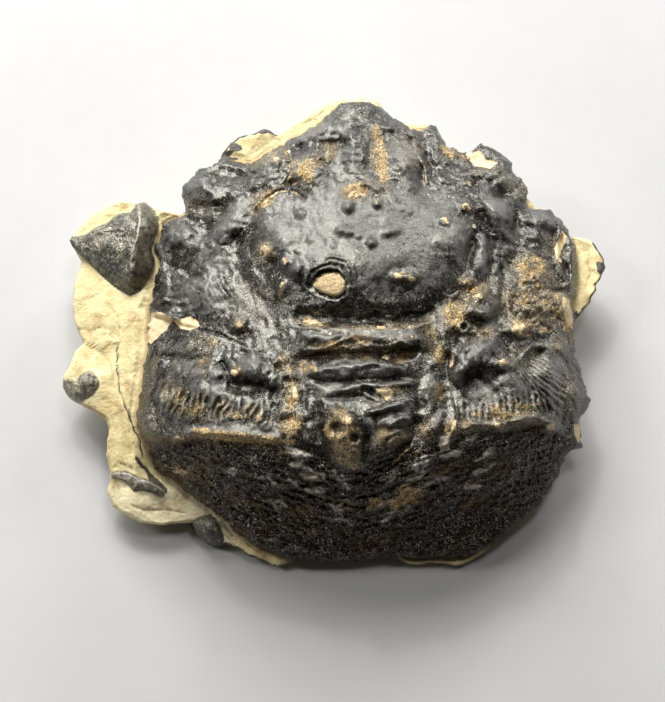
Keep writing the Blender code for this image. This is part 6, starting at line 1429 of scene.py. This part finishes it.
# ---------------------------------------------------------------- finishes
class Finish:
    """A small helper to write a node material."""

    def __init__(self, name):
        self.m = bpy.data.materials.new(name)
        self.m.use_nodes = True
        self.t = self.m.node_tree
        self.shader = self.t.nodes["Principled BSDF"]
        self.where = self.t.nodes.new("ShaderNodeTexCoord").outputs["Object"]

    def node(self, kind, **sockets):
        n = self.t.nodes.new(kind)
        for k, v in sockets.items():
            key = int(k[1:]) if k[0] == "_" and k[1:].isdigit() else k
            s = n.inputs[key]
            if isinstance(v, bpy.types.NodeSocket):
                self.t.links.new(v, s)
            else:
                s.default_value = v
        return n

    def mask(self, name):
        n = self.t.nodes.new("ShaderNodeAttribute")
        n.attribute_name = name
        return n.outputs["Fac"]

    def noise(self, per_m, detail=3.0, rough=0.55, warp=0.0):
        n = self.node("ShaderNodeTexNoise", Vector=self.where, Scale=per_m, Detail=detail, Roughness=rough, Distortion=warp)
        return n.outputs["Fac"]

    def grains(self, per_m, smoothness=None):
        n = self.t.nodes.new("ShaderNodeTexVoronoi")
        if smoothness is not None:
            n.feature = "SMOOTH_F1"
            n.inputs["Smoothness"].default_value = smoothness
        n.inputs["Scale"].default_value = per_m
        self.t.links.new(self.where, n.inputs["Vector"])
        return n

    def math(self, what, a, b=0.5, c=0.0):
        n = self.t.nodes.new("ShaderNodeMath")
        n.operation = what
        for i, v in enumerate((a, b, c)):
            if isinstance(v, bpy.types.NodeSocket):
                self.t.links.new(v, n.inputs[i])
            else:
                n.inputs[i].default_value = v
        return n.outputs[0]

    def remap(self, x, lo, hi, out_lo=0.0, out_hi=1.0):
        n = self.t.nodes.new("ShaderNodeMapRange")
        n.interpolation_type = "SMOOTHSTEP"
        self.t.links.new(x, n.inputs[0])
        for i, v in zip((1, 2, 3, 4), (lo, hi, out_lo, out_hi)):
            n.inputs[i].default_value = v
        return n.outputs[0]

    def mix(self, fac, a, b):
        n = self.t.nodes.new("ShaderNodeMix")
        n.data_type = "RGBA"
        for s, v in ((n.inputs[0], fac), (n.inputs[6], a), (n.inputs[7], b)):
            if isinstance(v, bpy.types.NodeSocket):
                self.t.links.new(v, s)
            else:
                s.default_value = (*v, 1.0) if isinstance(v, tuple) else v
        return n.outputs[2]

    def mixf(self, fac, a, b):
        n = self.t.nodes.new("ShaderNodeMix")
        for s, v in ((n.inputs[0], fac), (n.inputs[2], a), (n.inputs[3], b)):
            if isinstance(v, bpy.types.NodeSocket):
                self.t.links.new(v, s)
            else:
                s.default_value = v
        return n.outputs[0]

    def close(self, colour, rough, height, depth_mm, strength=1.0, **fixed):
        self.t.links.new(colour, self.shader.inputs["Base Color"])
        self.t.links.new(rough, self.shader.inputs["Roughness"])
        b = self.t.nodes.new("ShaderNodeBump")
        b.inputs["Strength"].default_value = strength
        b.inputs["Distance"].default_value = depth_mm * 0.001
        self.t.links.new(height, b.inputs["Height"])
        self.t.links.new(b.outputs[0], self.shader.inputs["Normal"])
        for k, v in fixed.items():
            self.shader.inputs[k].default_value = v
        return self.m


def shell_finish():
    f = Finish("shell_black_glossy")
    cream, stain, gold, rear, hollow, painted_sheen, shine, grit, rim = (f.mask(k) for k in ("cream", "stain", "gold", "rear", "hollow", "painted_sheen", "shine", "grit", "rim"))
    teeth = f.mask("teeth")
    broad, mid, fine = f.noise(260, 3), f.noise(900, 4, 0.6), f.noise(2600, 4, 0.7)
    salt, dust_fine = f.noise(3600, 2, 0.75), f.noise(6400, 1, 0.6)
    patchy = f.noise(620, 4, 0.65)
    salt = f.math("ADD", salt, f.math("MULTIPLY", f.math("SUBTRACT", dust_fine, 0.5), 0.7))
    clump = f.remap(patchy, 0.44, 0.66)
    fleck = f.remap(salt, 0.55, 0.70)
    knob = f.grains(2350)
    tip = f.remap(knob.outputs["Distance"], 0.52, 0.12)
    each = f.node("ShaderNodeSeparateColor", Color=knob.outputs["Color"])
    black = f.mix(f.remap(mid, 0.35, 0.7), (0.0062, 0.0052, 0.0042), (0.016, 0.0135, 0.0105))
    rear_black = f.mix(f.remap(mid, 0.35, 0.7), (0.0045, 0.003, 0.002), (0.012, 0.008, 0.005))
    colour = f.mix(rear, black, rear_black)
    # painted sheen: a grey bloom over the higher ground, with convex tops painted paler as highlights, made of fine
    # grains and weaker near the rim
    convex = f.remap(hollow, 0.25, -0.9)
    painted_bloom = f.math("ADD", f.math("MULTIPLY", painted_sheen, 0.9), f.math("MULTIPLY", convex, 0.45))
    painted_bloom = f.math("ADD", painted_bloom, f.math("MULTIPLY", f.math("SUBTRACT", mid, 0.5), 1.2))
    grain = f.math("MULTIPLY", f.remap(salt, 0.38, 0.66, 0.50, 1.0), f.remap(patchy, 0.34, 0.60, 0.60, 1.0))
    dull_and_sheen = f.math("MULTIPLY", f.remap(painted_bloom, 0.10, 1.05), f.remap(rim, 0.0, 1.0, 1.0, 0.4))
    painted_bloom = f.math("MULTIPLY", dull_and_sheen, grain)
    sheen_grey = f.mix(f.remap(fine, 0.5, 0.75), (0.15, 0.152, 0.142), (0.31, 0.31, 0.28))
    sheen_grey = f.mix(f.math("MULTIPLY", stain, 0.75), sheen_grey, (0.25, 0.195, 0.115))
    colour = f.mix(painted_bloom, colour, f.mix(f.math("MULTIPLY", rear, f.remap(painted_sheen, 0.35, 0.9)), sheen_grey, (0.60, 0.56, 0.50)))
    # painted glints: the rear granules have paler, browner tips, each its own, more on convex ground
    some = f.math("MULTIPLY", tip, f.remap(each.outputs[0], 0.15, 0.95))
    patch = f.remap(f.math("ADD", mid, f.math("MULTIPLY", convex, 0.30)), 0.40, 0.85, 0.22, 1.0)
    some = f.math("MULTIPLY", some, patch)
    some = f.math("MULTIPLY", some, f.math("ADD", f.math("MULTIPLY", rear, 0.40), 0.06))
    colour = f.mix(some, colour, (0.52, 0.43, 0.32))
    # irregular flecks in clumps, paler and browner by turns: partly pale dust, partly painted glints, and on the rear
    # slope painted glints
    flecks_and_glints = f.math("MULTIPLY", fleck, f.remap(clump, 0.0, 1.0, 0.12, 1.0))
    rear_glint = f.math("MULTIPLY", f.math("MULTIPLY", f.remap(salt, 0.585, 0.66), f.remap(clump, 0.0, 1.0, 0.35, 1.0)), rear)
    flecks_and_glints = f.math("MAXIMUM", flecks_and_glints, rear_glint)
    flecks_and_glints = f.math("MULTIPLY", flecks_and_glints, f.mixf(rear, f.remap(painted_sheen, 0.1, 0.7, 0.62, 0.08), 1.0))
    pale = f.mix(f.remap(salt, 0.62, 0.71), f.mix(rear, (0.42, 0.39, 0.34), (0.50, 0.42, 0.36)), (0.90, 0.86, 0.78))
    colour = f.mix(flecks_and_glints, colour, f.mix(f.math("MULTIPLY", rear, f.remap(broad, 0.42, 0.6)), pale, (0.48, 0.33, 0.18)))
    # brown stain, broken up
    speck = f.math("MULTIPLY", f.remap(fine, 0.38, 0.62), f.remap(mid, 0.36, 0.62))
    much = f.math("MULTIPLY", stain, f.math("ADD", speck, 0.22))
    much = f.math("MINIMUM", much, 1.0)
    brown = f.mix(f.remap(fine, 0.35, 0.7), (0.050, 0.032, 0.014), (0.27, 0.175, 0.075))
    colour = f.mix(much, colour, brown)
    # pale grit packed over the flanks
    packed = f.math("MULTIPLY", grit, f.remap(patchy, 0.36, 0.56, 0.35, 1.0))
    packed = f.math("MULTIPLY", packed, f.remap(salt, 0.46, 0.60))
    colour = f.mix(packed, colour, f.mix(f.remap(fine, 0.42, 0.62), (0.36, 0.28, 0.15), (0.78, 0.72, 0.56)))
    # pale strokes above the rear edges
    stroke = f.math("MULTIPLY", teeth, f.remap(fine, 0.38, 0.56, 0.15, 0.9))
    colour = f.mix(stroke, colour, f.mix(f.remap(mid, 0.40, 0.60), (0.34, 0.27, 0.17), (0.72, 0.68, 0.58)))
    # golden crust with dark pits
    crust = f.math("ADD", gold, f.math("MULTIPLY", f.math("SUBTRACT", fine, 0.5), 1.1))
    crust = f.math("ADD", crust, f.math("MULTIPLY", f.math("SUBTRACT", mid, 0.5), 1.2))
    crust = f.math("MULTIPLY", f.remap(crust, 0.38, 0.72), f.remap(gold, 0.03, 0.3, 0.0, 0.92))
    tan = f.mix(f.remap(fine, 0.36, 0.64), (0.13, 0.075, 0.024), (0.52, 0.34, 0.13))
    # painted light: the crust on the rear slope is painted brighter, to make up for the light that steep slope misses
    tan = f.mix(f.math("MULTIPLY", rear, f.remap(fine, 0.42, 0.58)), tan, (0.85, 0.56, 0.24))
    tan = f.mix(f.remap(salt, 0.54, 0.70), tan, (0.80, 0.70, 0.46))
    tan = f.mix(f.remap(salt, 0.46, 0.36, 0.0, 0.7), tan, (0.05, 0.032, 0.014))
    colour = f.mix(crust, colour, tan)
    # fine pale dust caught in the deepest creases everywhere
    dust = f.math("MULTIPLY", f.remap(hollow, 0.35, 1.0), f.remap(mid, 0.45, 0.7, 0.0, 0.30))
    colour = f.mix(dust, colour, (0.13, 0.10, 0.065))
    # scattered pale specks of three sizes
    for per_m, few, size, seen, pale in ((2600, 0.86, 0.30, 0.40, (0.42, 0.40, 0.35)), (1500, 0.90, 0.24, 0.55, (0.50, 0.46, 0.38)), (520, 0.70, 0.10, 0.70, (0.58, 0.48, 0.33))):
        d = f.grains(per_m)
        one = f.node("ShaderNodeSeparateColor", Color=d.outputs["Color"])
        dots = f.math("MULTIPLY", f.remap(d.outputs["Distance"], size, 0.55 * size), f.remap(one.outputs[1], few, few + 0.05))
        colour = f.mix(f.math("MULTIPLY", dots, seen), colour, pale)
    # pale stone clinging on
    edge = f.math("ADD", cream, f.math("MULTIPLY", f.math("SUBTRACT", fine, 0.5), 1.25))
    edge = f.math("ADD", edge, f.math("MULTIPLY", f.math("SUBTRACT", mid, 0.5), 0.7))
    on = f.math("MULTIPLY", f.remap(edge, 0.42, 0.68), f.remap(cream, 0.02, 0.25))
    pale = f.mix(f.remap(edge, 0.50, 0.95), (0.40, 0.26, 0.13), (0.74, 0.60, 0.36))
    pale = f.mix(f.remap(mid, 0.45, 0.75), pale, (0.82, 0.70, 0.46))
    pale = f.mix(f.remap(fine, 0.55, 0.8, 0.0, 0.5), pale, (0.45, 0.26, 0.12))
    colour = f.mix(on, colour, pale)
    rough = f.remap(fine, 0.3, 0.7, 0.20, 0.32)
    rough = f.mixf(dull_and_sheen, rough, 0.36)
    rough = f.mixf(f.math("MULTIPLY", shine, f.remap(mid, 0.35, 0.6)), rough, 0.16)
    rough = f.mixf(flecks_and_glints, rough, 0.6)
    rough = f.mixf(f.math("MULTIPLY", rear, 0.6), rough, f.remap(each.outputs[1], 0.2, 0.9, 0.25, 0.60))
    rough = f.mixf(f.math("MULTIPLY", much, 0.8), rough, 0.58)
    rough = f.mixf(packed, rough, 0.8)
    rough = f.mixf(crust, rough, 0.75)
    rough = f.mixf(on, rough, 0.9)
    # granules, packed on the rear slope, and a fine grain elsewhere
    h = f.math("MULTIPLY", tip, f.math("ADD", f.math("MULTIPLY", rear, 0.50), 0.06))
    h = f.math("ADD", h, f.math("MULTIPLY", fine, f.math("ADD", f.math("MULTIPLY", shine, 0.25), 0.20)))
    h = f.math("ADD", h, f.math("MULTIPLY", mid, 0.35))
    h = f.math("ADD", h, f.math("MULTIPLY", salt, 0.06))
    h = f.math("ADD", h, f.math("MULTIPLY", f.math("MULTIPLY", gold, fine), 1.0))
    h = f.math("ADD", h, f.math("MULTIPLY", f.math("MULTIPLY", grit, salt), 0.6))
    h = f.math("ADD", h, f.math("MULTIPLY", on, 0.25))
    # the gloss is weaker among the rear granules; in the hollows and near the right rear rim the reflection is cut down
    # as painted shade
    plain = f.mixf(rear, f.remap(dull_and_sheen, 0.2, 1.0, 1.0, 0.65), f.remap(painted_sheen, 0.3, 0.9, 0.15, 1.0))
    sheen = f.mixf(shine, plain, 1.0)
    sheen = f.math("MULTIPLY", sheen, f.remap(hollow, 0.15, 0.9, 1.0, 0.25))
    sheen = f.math("MULTIPLY", sheen, f.remap(salt, 0.36, 0.60, 0.65, 1.0))
    sheen = f.math("MULTIPLY", sheen, f.remap(rim, 0.0, 1.0, 1.0, 0.30))
    tint = f.node("ShaderNodeCombineColor", Red=sheen, Green=f.math("MULTIPLY", sheen, f.mixf(stain, f.mixf(rear, 0.98, 0.88), 0.84)), Blue=f.math("MULTIPLY", sheen, f.mixf(stain, f.mixf(rear, 0.88, 0.70), 0.55)))
    f.t.links.new(tint.outputs[0], f.shader.inputs["Specular Tint"])
    return f.close(colour, rough, h, 0.17, 1.0, **{"Specular IOR Level": 0.85})


def stone_finish():
    f = Finish("stone_cream_chalky")
    dark, brown, hollow, under, in_hole = (f.mask(k) for k in ("dark", "brown", "hollow", "under", "floor"))
    broad, mid, fine, grit = f.noise(90, 3), f.noise(420, 4, 0.6), f.noise(1800, 4, 0.65), f.noise(6000, 2, 0.6)
    colour = f.mix(f.remap(broad, 0.35, 0.65), (0.60, 0.475, 0.225), (0.705, 0.59, 0.31))
    colour = f.mix(f.remap(mid, 0.35, 0.7), colour, (0.78, 0.69, 0.39))
    colour = f.mix(f.remap(fine, 0.50, 0.78, 0.0, 0.55), colour, (0.55, 0.40, 0.20))
    colour = f.mix(f.remap(hollow, 0.1, 0.9, 0.0, 0.6), colour, (0.48, 0.35, 0.18))
    colour = f.mix(f.remap(f.math("MULTIPLY", hollow, -1.0), 0.2, 1.0, 0.0, 0.4), colour, (0.89, 0.81, 0.54))
    # painted light on the lower left of the slab
    colour = f.mix(f.math("MULTIPLY", f.mask("low"), f.remap(fine, 0.35, 0.65, 0.85, 0.4)), colour, (0.97, 0.88, 0.60))
    colour = f.mix(f.math("MULTIPLY", brown, f.remap(fine, 0.3, 0.6, 0.25, 0.9)), colour, (0.36, 0.22, 0.09))
    d = f.grains(1200)
    pit = f.math("MULTIPLY", f.remap(d.outputs["Distance"], 0.17, 0.10), f.remap(d.outputs["Color"], 0.84, 0.90))
    colour = f.mix(f.math("MULTIPLY", pit, 0.75), colour, (0.20, 0.13, 0.06))
    skin = f.mix(f.remap(fine, 0.35, 0.7), (0.030, 0.028, 0.024), (0.11, 0.095, 0.07))
    on = f.remap(f.math("ADD", dark, f.math("MULTIPLY", f.math("SUBTRACT", fine, 0.5), 0.6)), 0.25, 0.65)
    on = f.math("MULTIPLY", on, f.remap(dark, 0.05, 0.25))
    colour = f.mix(on, colour, skin)
    # painted shade under the shell
    colour = f.mix(f.math("MULTIPLY", under, 0.75), colour, (0.10, 0.075, 0.045))
    # the stone seen through the hole is sandy, and painted brighter as light to make up for the rim's shadow
    sand = f.mix(f.remap(grit, 0.40, 0.66), (0.62, 0.42, 0.19), (1.0, 0.86, 0.56))
    colour = f.mix(in_hole, colour, sand)
    rough = f.mixf(on, f.remap(fine, 0.3, 0.7, 0.80, 0.95), 0.5)
    h = f.math("ADD", f.math("MULTIPLY", fine, 1.0), f.math("MULTIPLY", grit, 0.35))
    h = f.math("ADD", h, f.math("MULTIPLY", mid, 0.6))
    h = f.math("SUBTRACT", h, f.math("MULTIPLY", pit, 0.8))
    return f.close(colour, rough, h, 0.22, 1.0)


def leg_finish():
    f = Finish("leg_grey_horny")
    left, ridge, hollow, dark = (f.mask(k) for k in ("left", "ridge", "hollow", "dark"))
    broad, mid, fine, salt = f.noise(260, 3), f.noise(900, 4, 0.65), f.noise(2600, 3, 0.65), f.noise(4200, 2, 0.75)
    colour = f.mix(f.remap(mid, 0.36, 0.64), (0.026, 0.023, 0.016), (0.105, 0.092, 0.060))
    colour = f.mix(f.remap(fine, 0.52, 0.72, 0.0, 0.5), colour, (0.20, 0.175, 0.115))
    speckled = f.mix(f.remap(fine, 0.44, 0.58), (0.008, 0.008, 0.007), (0.14, 0.13, 0.09))
    clump = f.math("MULTIPLY", f.remap(f.noise(520, 4, 0.7), 0.46, 0.58), f.remap(salt, 0.46, 0.60))
    speckled = f.mix(clump, speckled, (0.64, 0.60, 0.46))
    colour = f.mix(f.math("MULTIPLY", left, f.remap(mid, 0.34, 0.56, 0.45, 1.0)), colour, speckled)
    colour = f.mix(f.remap(broad, 0.48, 0.72, 0.0, 0.55), colour, (0.15, 0.13, 0.085))
    colour = f.mix(f.math("MULTIPLY", ridge, f.remap(fine, 0.38, 0.56, 0.2, 1.0)), colour, (0.46, 0.42, 0.31))
    colour = f.mix(f.math("MULTIPLY", dark, f.remap(fine, 0.64, 0.46, 0.5, 1.0)), colour, (0.012, 0.011, 0.010))
    proud = f.math("MULTIPLY", f.remap(hollow, -0.25, -1.0), f.remap(fine, 0.40, 0.60, 0.1, 0.8))
    colour = f.mix(proud, colour, (0.34, 0.31, 0.22))
    dust = f.math("MULTIPLY", f.remap(hollow, 0.25, 1.0), 0.5)
    colour = f.mix(dust, colour, (0.16, 0.12, 0.07))
    rough = f.mixf(left, f.remap(fine, 0.3, 0.7, 0.22, 0.40), 0.42)
    h = f.math("ADD", f.math("MULTIPLY", fine, 0.6), f.math("MULTIPLY", mid, 0.8))
    h = f.math("MULTIPLY", h, f.math("ADD", f.math("MULTIPLY", left, 0.8), 0.4))
    return f.close(colour, rough, h, 0.18, 1.0, **{"Specular IOR Level": 0.7})


def floor_finish():
    f = Finish("floor_pale")
    colour = f.mix(f.remap(f.noise(25, 2), 0.3, 0.7), (0.46, 0.46, 0.465), (0.48, 0.48, 0.485))
    rough = f.remap(f.noise(300, 3), 0.3, 0.7, 0.75, 0.85)
    return f.close(colour, rough, f.noise(1500, 3), 0.02, 0.5)


# ---------------------------------------------------------------- assembly
shell_look, stone_look, leg_look = shell_finish(), stone_finish(), leg_finish()

skin = to_object("carapace_skin", build_carapace(), shell_look)
skin_mesh = cut_hole(skin)
skin_mesh.polygons.foreach_set("use_smooth", np.ones(len(skin_mesh.polygons), bool))
p = points_mm(skin_mesh)
u, v = chart(p)
a = np.arctan2(v - CENTRE[1], u - CENTRE[0])
depth_in = ring_radius(SHELL_OUTLINE, CENTRE, a) - np.hypot(u - CENTRE[0], v - CENTRE[1])
n = np.empty(len(p) * 3)
skin_mesh.vertices.foreach_get("normal", n)
up = (n.reshape(-1, 3) @ -FORWARD > -0.05).astype(float)
write_mask(skin_mesh, "cream", cream_mask(u, v) * up)
write_mask(skin_mesh, "stain", stain_mask(u, v) * up)
write_mask(skin_mesh, "gold", gold_mask(u, v) * up)
write_mask(skin_mesh, "rear", smooth(inside_distance(u, v, REAR_REGION) / 7.0 + 0.35))
write_mask(skin_mesh, "hollow", np.clip(hollows(skin_mesh, 6) / 0.10, -1, 1) * (depth_in > 2))
# painted sheen and highlight over the higher ground and the rear wrinkles' tops
write_mask(skin_mesh, "painted_sheen", painted_sheen_mask(u, v) * up)
write_mask(skin_mesh, "shine", shine_mask(u, v) * up)
write_mask(skin_mesh, "grit", grit_mask(u, v) * up)
write_mask(skin_mesh, "teeth", teeth_mask(u, v) * up)
# painted shade: less sheen and less reflection near the right and rear rim
write_mask(skin_mesh, "rim", smooth(1.1 - depth_in / 22.0) * smooth((v - 290) / 60.0) * (u > 300))
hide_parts("carapace")
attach(skin, "root")

stone = to_object("stone_body", build_matrix(), stone_look)
stone_masks(stone.data)
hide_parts("matrix")
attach(stone, "root")

for name, node, (outline, centre, heights, floor), count, relief in (
    ("claw_segment", "left_claw_segment", SCRAPS[0], 56, claw_relief),
    ("leg_end", "left_leg_end", SCRAPS[1], 26, scrap_relief),
    ("leg_splinter", "leg_sliver", SCRAPS[2], 30, scrap_relief),
    ("lower_leg", "lower_leg_piece", SCRAPS[3], 26, scrap_relief),
):
    o = to_object(name, build_scrap(name, outline, centre, heights, floor, count, relief), leg_look)
    pu, pv = chart(points_mm(o.data))
    claw = name == "claw_segment"
    left = smooth((134 + 5 * fractal(pu / 9.0, pv / 9.0, 0.0, 151, 2) - pu) / 7.0) if claw else np.full(len(pu), 0.45)
    d, along, _ = line_distance(pu + 1.2 * fractal(pu / 8.0, pv / 8.0, 2.0, 157, 2), pv, CLAW_RIDGE)
    ridge = np.exp(-(d / 1.2) ** 2) * smooth((0.8 - along) / 0.2) if claw else np.zeros(len(pu))
    lower = inside_distance(pu, pv, [(98, 262), (112, 258), (122, 262), (127, 275), (120, 284), (106, 279)])
    rim = -inside_distance(pu, pv, outline)
    dark = 0.8 * smooth(lower / 4.0 + 0.4) if claw else np.zeros(len(pu))
    if claw:
        d, _, _ = line_distance(pu, pv, [(69, 240), (76, 250), (86, 260), (96, 270), (104, 279)])
        dark = np.maximum(dark, smooth(1.4 - d / 2.2))
    if name == "leg_end":
        ridge = 0.75 * smooth(0.55 + 1.6 * fractal(pu / 6.0, pv / 6.0, 0.0, 171, 3))
    if name == "leg_splinter":
        ridge = np.full(len(pu), 0.22)
    if name == "lower_leg":
        ridge = 0.30 * smooth((np.interp(pv, [510, 527, 545], [212, 218, 224]) - pu) / 3.0) * smooth(0.6 + 1.4 * fractal(pu / 6.0, pv / 6.0, 0.0, 171, 3))
        dark = np.maximum(dark, 0.45 + 0.50 * smooth((pu - np.interp(pv, [510, 527, 545], [214, 220, 226])) / 3.0 + 0.3))
    if name == "leg_splinter":
        d, _, _ = line_distance(pu, pv, [(135, 492), (148, 492), (163, 496)])
        dark = np.maximum(dark, smooth(1.5 - d / 2.5))
    write_mask(o.data, "left", left)
    write_mask(o.data, "ridge", np.clip(ridge, 0, 1))
    write_mask(o.data, "dark", dark)
    write_mask(o.data, "hollow", np.clip(hollows(o.data, 4) / 0.10, -1, 1))
    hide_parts(node)
    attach(o, "root")

# floor, light and camera
w = 2.0
ground = bpy.data.meshes.new("floor")
ground.from_pydata([(-w, -w, 0), (w, -w, 0), (w, w, 0), (-w, w, 0)], [], [(0, 1, 2, 3)])
floor = to_object("floor", ground, floor_finish())
floor.location.z = -0.0002
floor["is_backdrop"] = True

world = bpy.data.worlds.new("studio")
world.use_nodes = True
wt = world.node_tree
sky = wt.nodes["Background"]
part = wt.nodes.new("ShaderNodeSeparateXYZ")
wt.links.new(wt.nodes.new("ShaderNodeTexCoord").outputs["Generated"], part.inputs[0])
fall = wt.nodes.new("ShaderNodeMapRange")
for i, value in ((1, -0.7), (2, 0.9), (3, 0.02), (4, 0.14)):   # dim in front, brighter behind
    fall.inputs[i].default_value = value
wt.links.new(part.outputs["Y"], fall.inputs[0])
wt.links.new(fall.outputs[0], sky.inputs[1])
sky.inputs[0].default_value = (1.0, 0.99, 0.96, 1.0)
bpy.context.scene.world = world


def soft_light(name, at, size, power, colour=(1, 1, 1), aim=(0, 0, 0.015)):
    d = bpy.data.lights.new(name, "AREA")
    d.shape, d.size, d.size_y = "RECTANGLE", size[0], size[1]
    d.energy, d.color = power, colour
    o = bpy.data.objects.new(name, d)
    bpy.context.scene.collection.objects.link(o)
    o.location = at
    from mathutils import Vector
    o.rotation_euler = (Vector(aim) - Vector(at)).to_track_quat("-Z", "Y").to_euler()
    return o


soft_light("key", (-0.08, 0.36, 0.44), (0.42, 0.26), 3.8, (1.0, 0.985, 0.95))
soft_light("low", (-0.20, 0.52, 0.24), (0.26, 0.14), 2.0, (1.0, 0.99, 0.98))
soft_light("low_right", (0.26, 0.48, 0.26), (0.20, 0.14), 1.3, (1.0, 0.99, 0.98))
soft_light("core", (-0.10, 0.35, 0.45), (0.05, 0.05), 0.62, (1.0, 0.99, 0.97))
soft_light("side", (-0.42, 0.05, 0.42), (0.14, 0.14), 0.8, (1.0, 0.99, 0.97))
soft_light("top", (0.10, 0.04, 0.60), (0.10, 0.10), 0.6, (1.0, 0.99, 0.98))

cam = bpy.data.objects.new("camera", bpy.data.cameras.new("camera"))
bpy.context.scene.collection.objects.link(cam)
cam.data.sensor_width = 36.0
cam.data.lens = SCALE * 36.0 / 702.0
cam.data.clip_start, cam.data.clip_end = 0.01, 10.0
cam.location = tuple(EYE * 0.001)
cam.rotation_euler = (math.radians(90.0) - TILT, 0.0, 0.0)
bpy.context.scene.camera = cam
bpy.context.scene.view_settings.view_transform = "Standard"

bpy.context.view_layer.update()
print("scene built in %.1f s" % (time.time() - began), {o.name: len(o.data.polygons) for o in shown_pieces()})
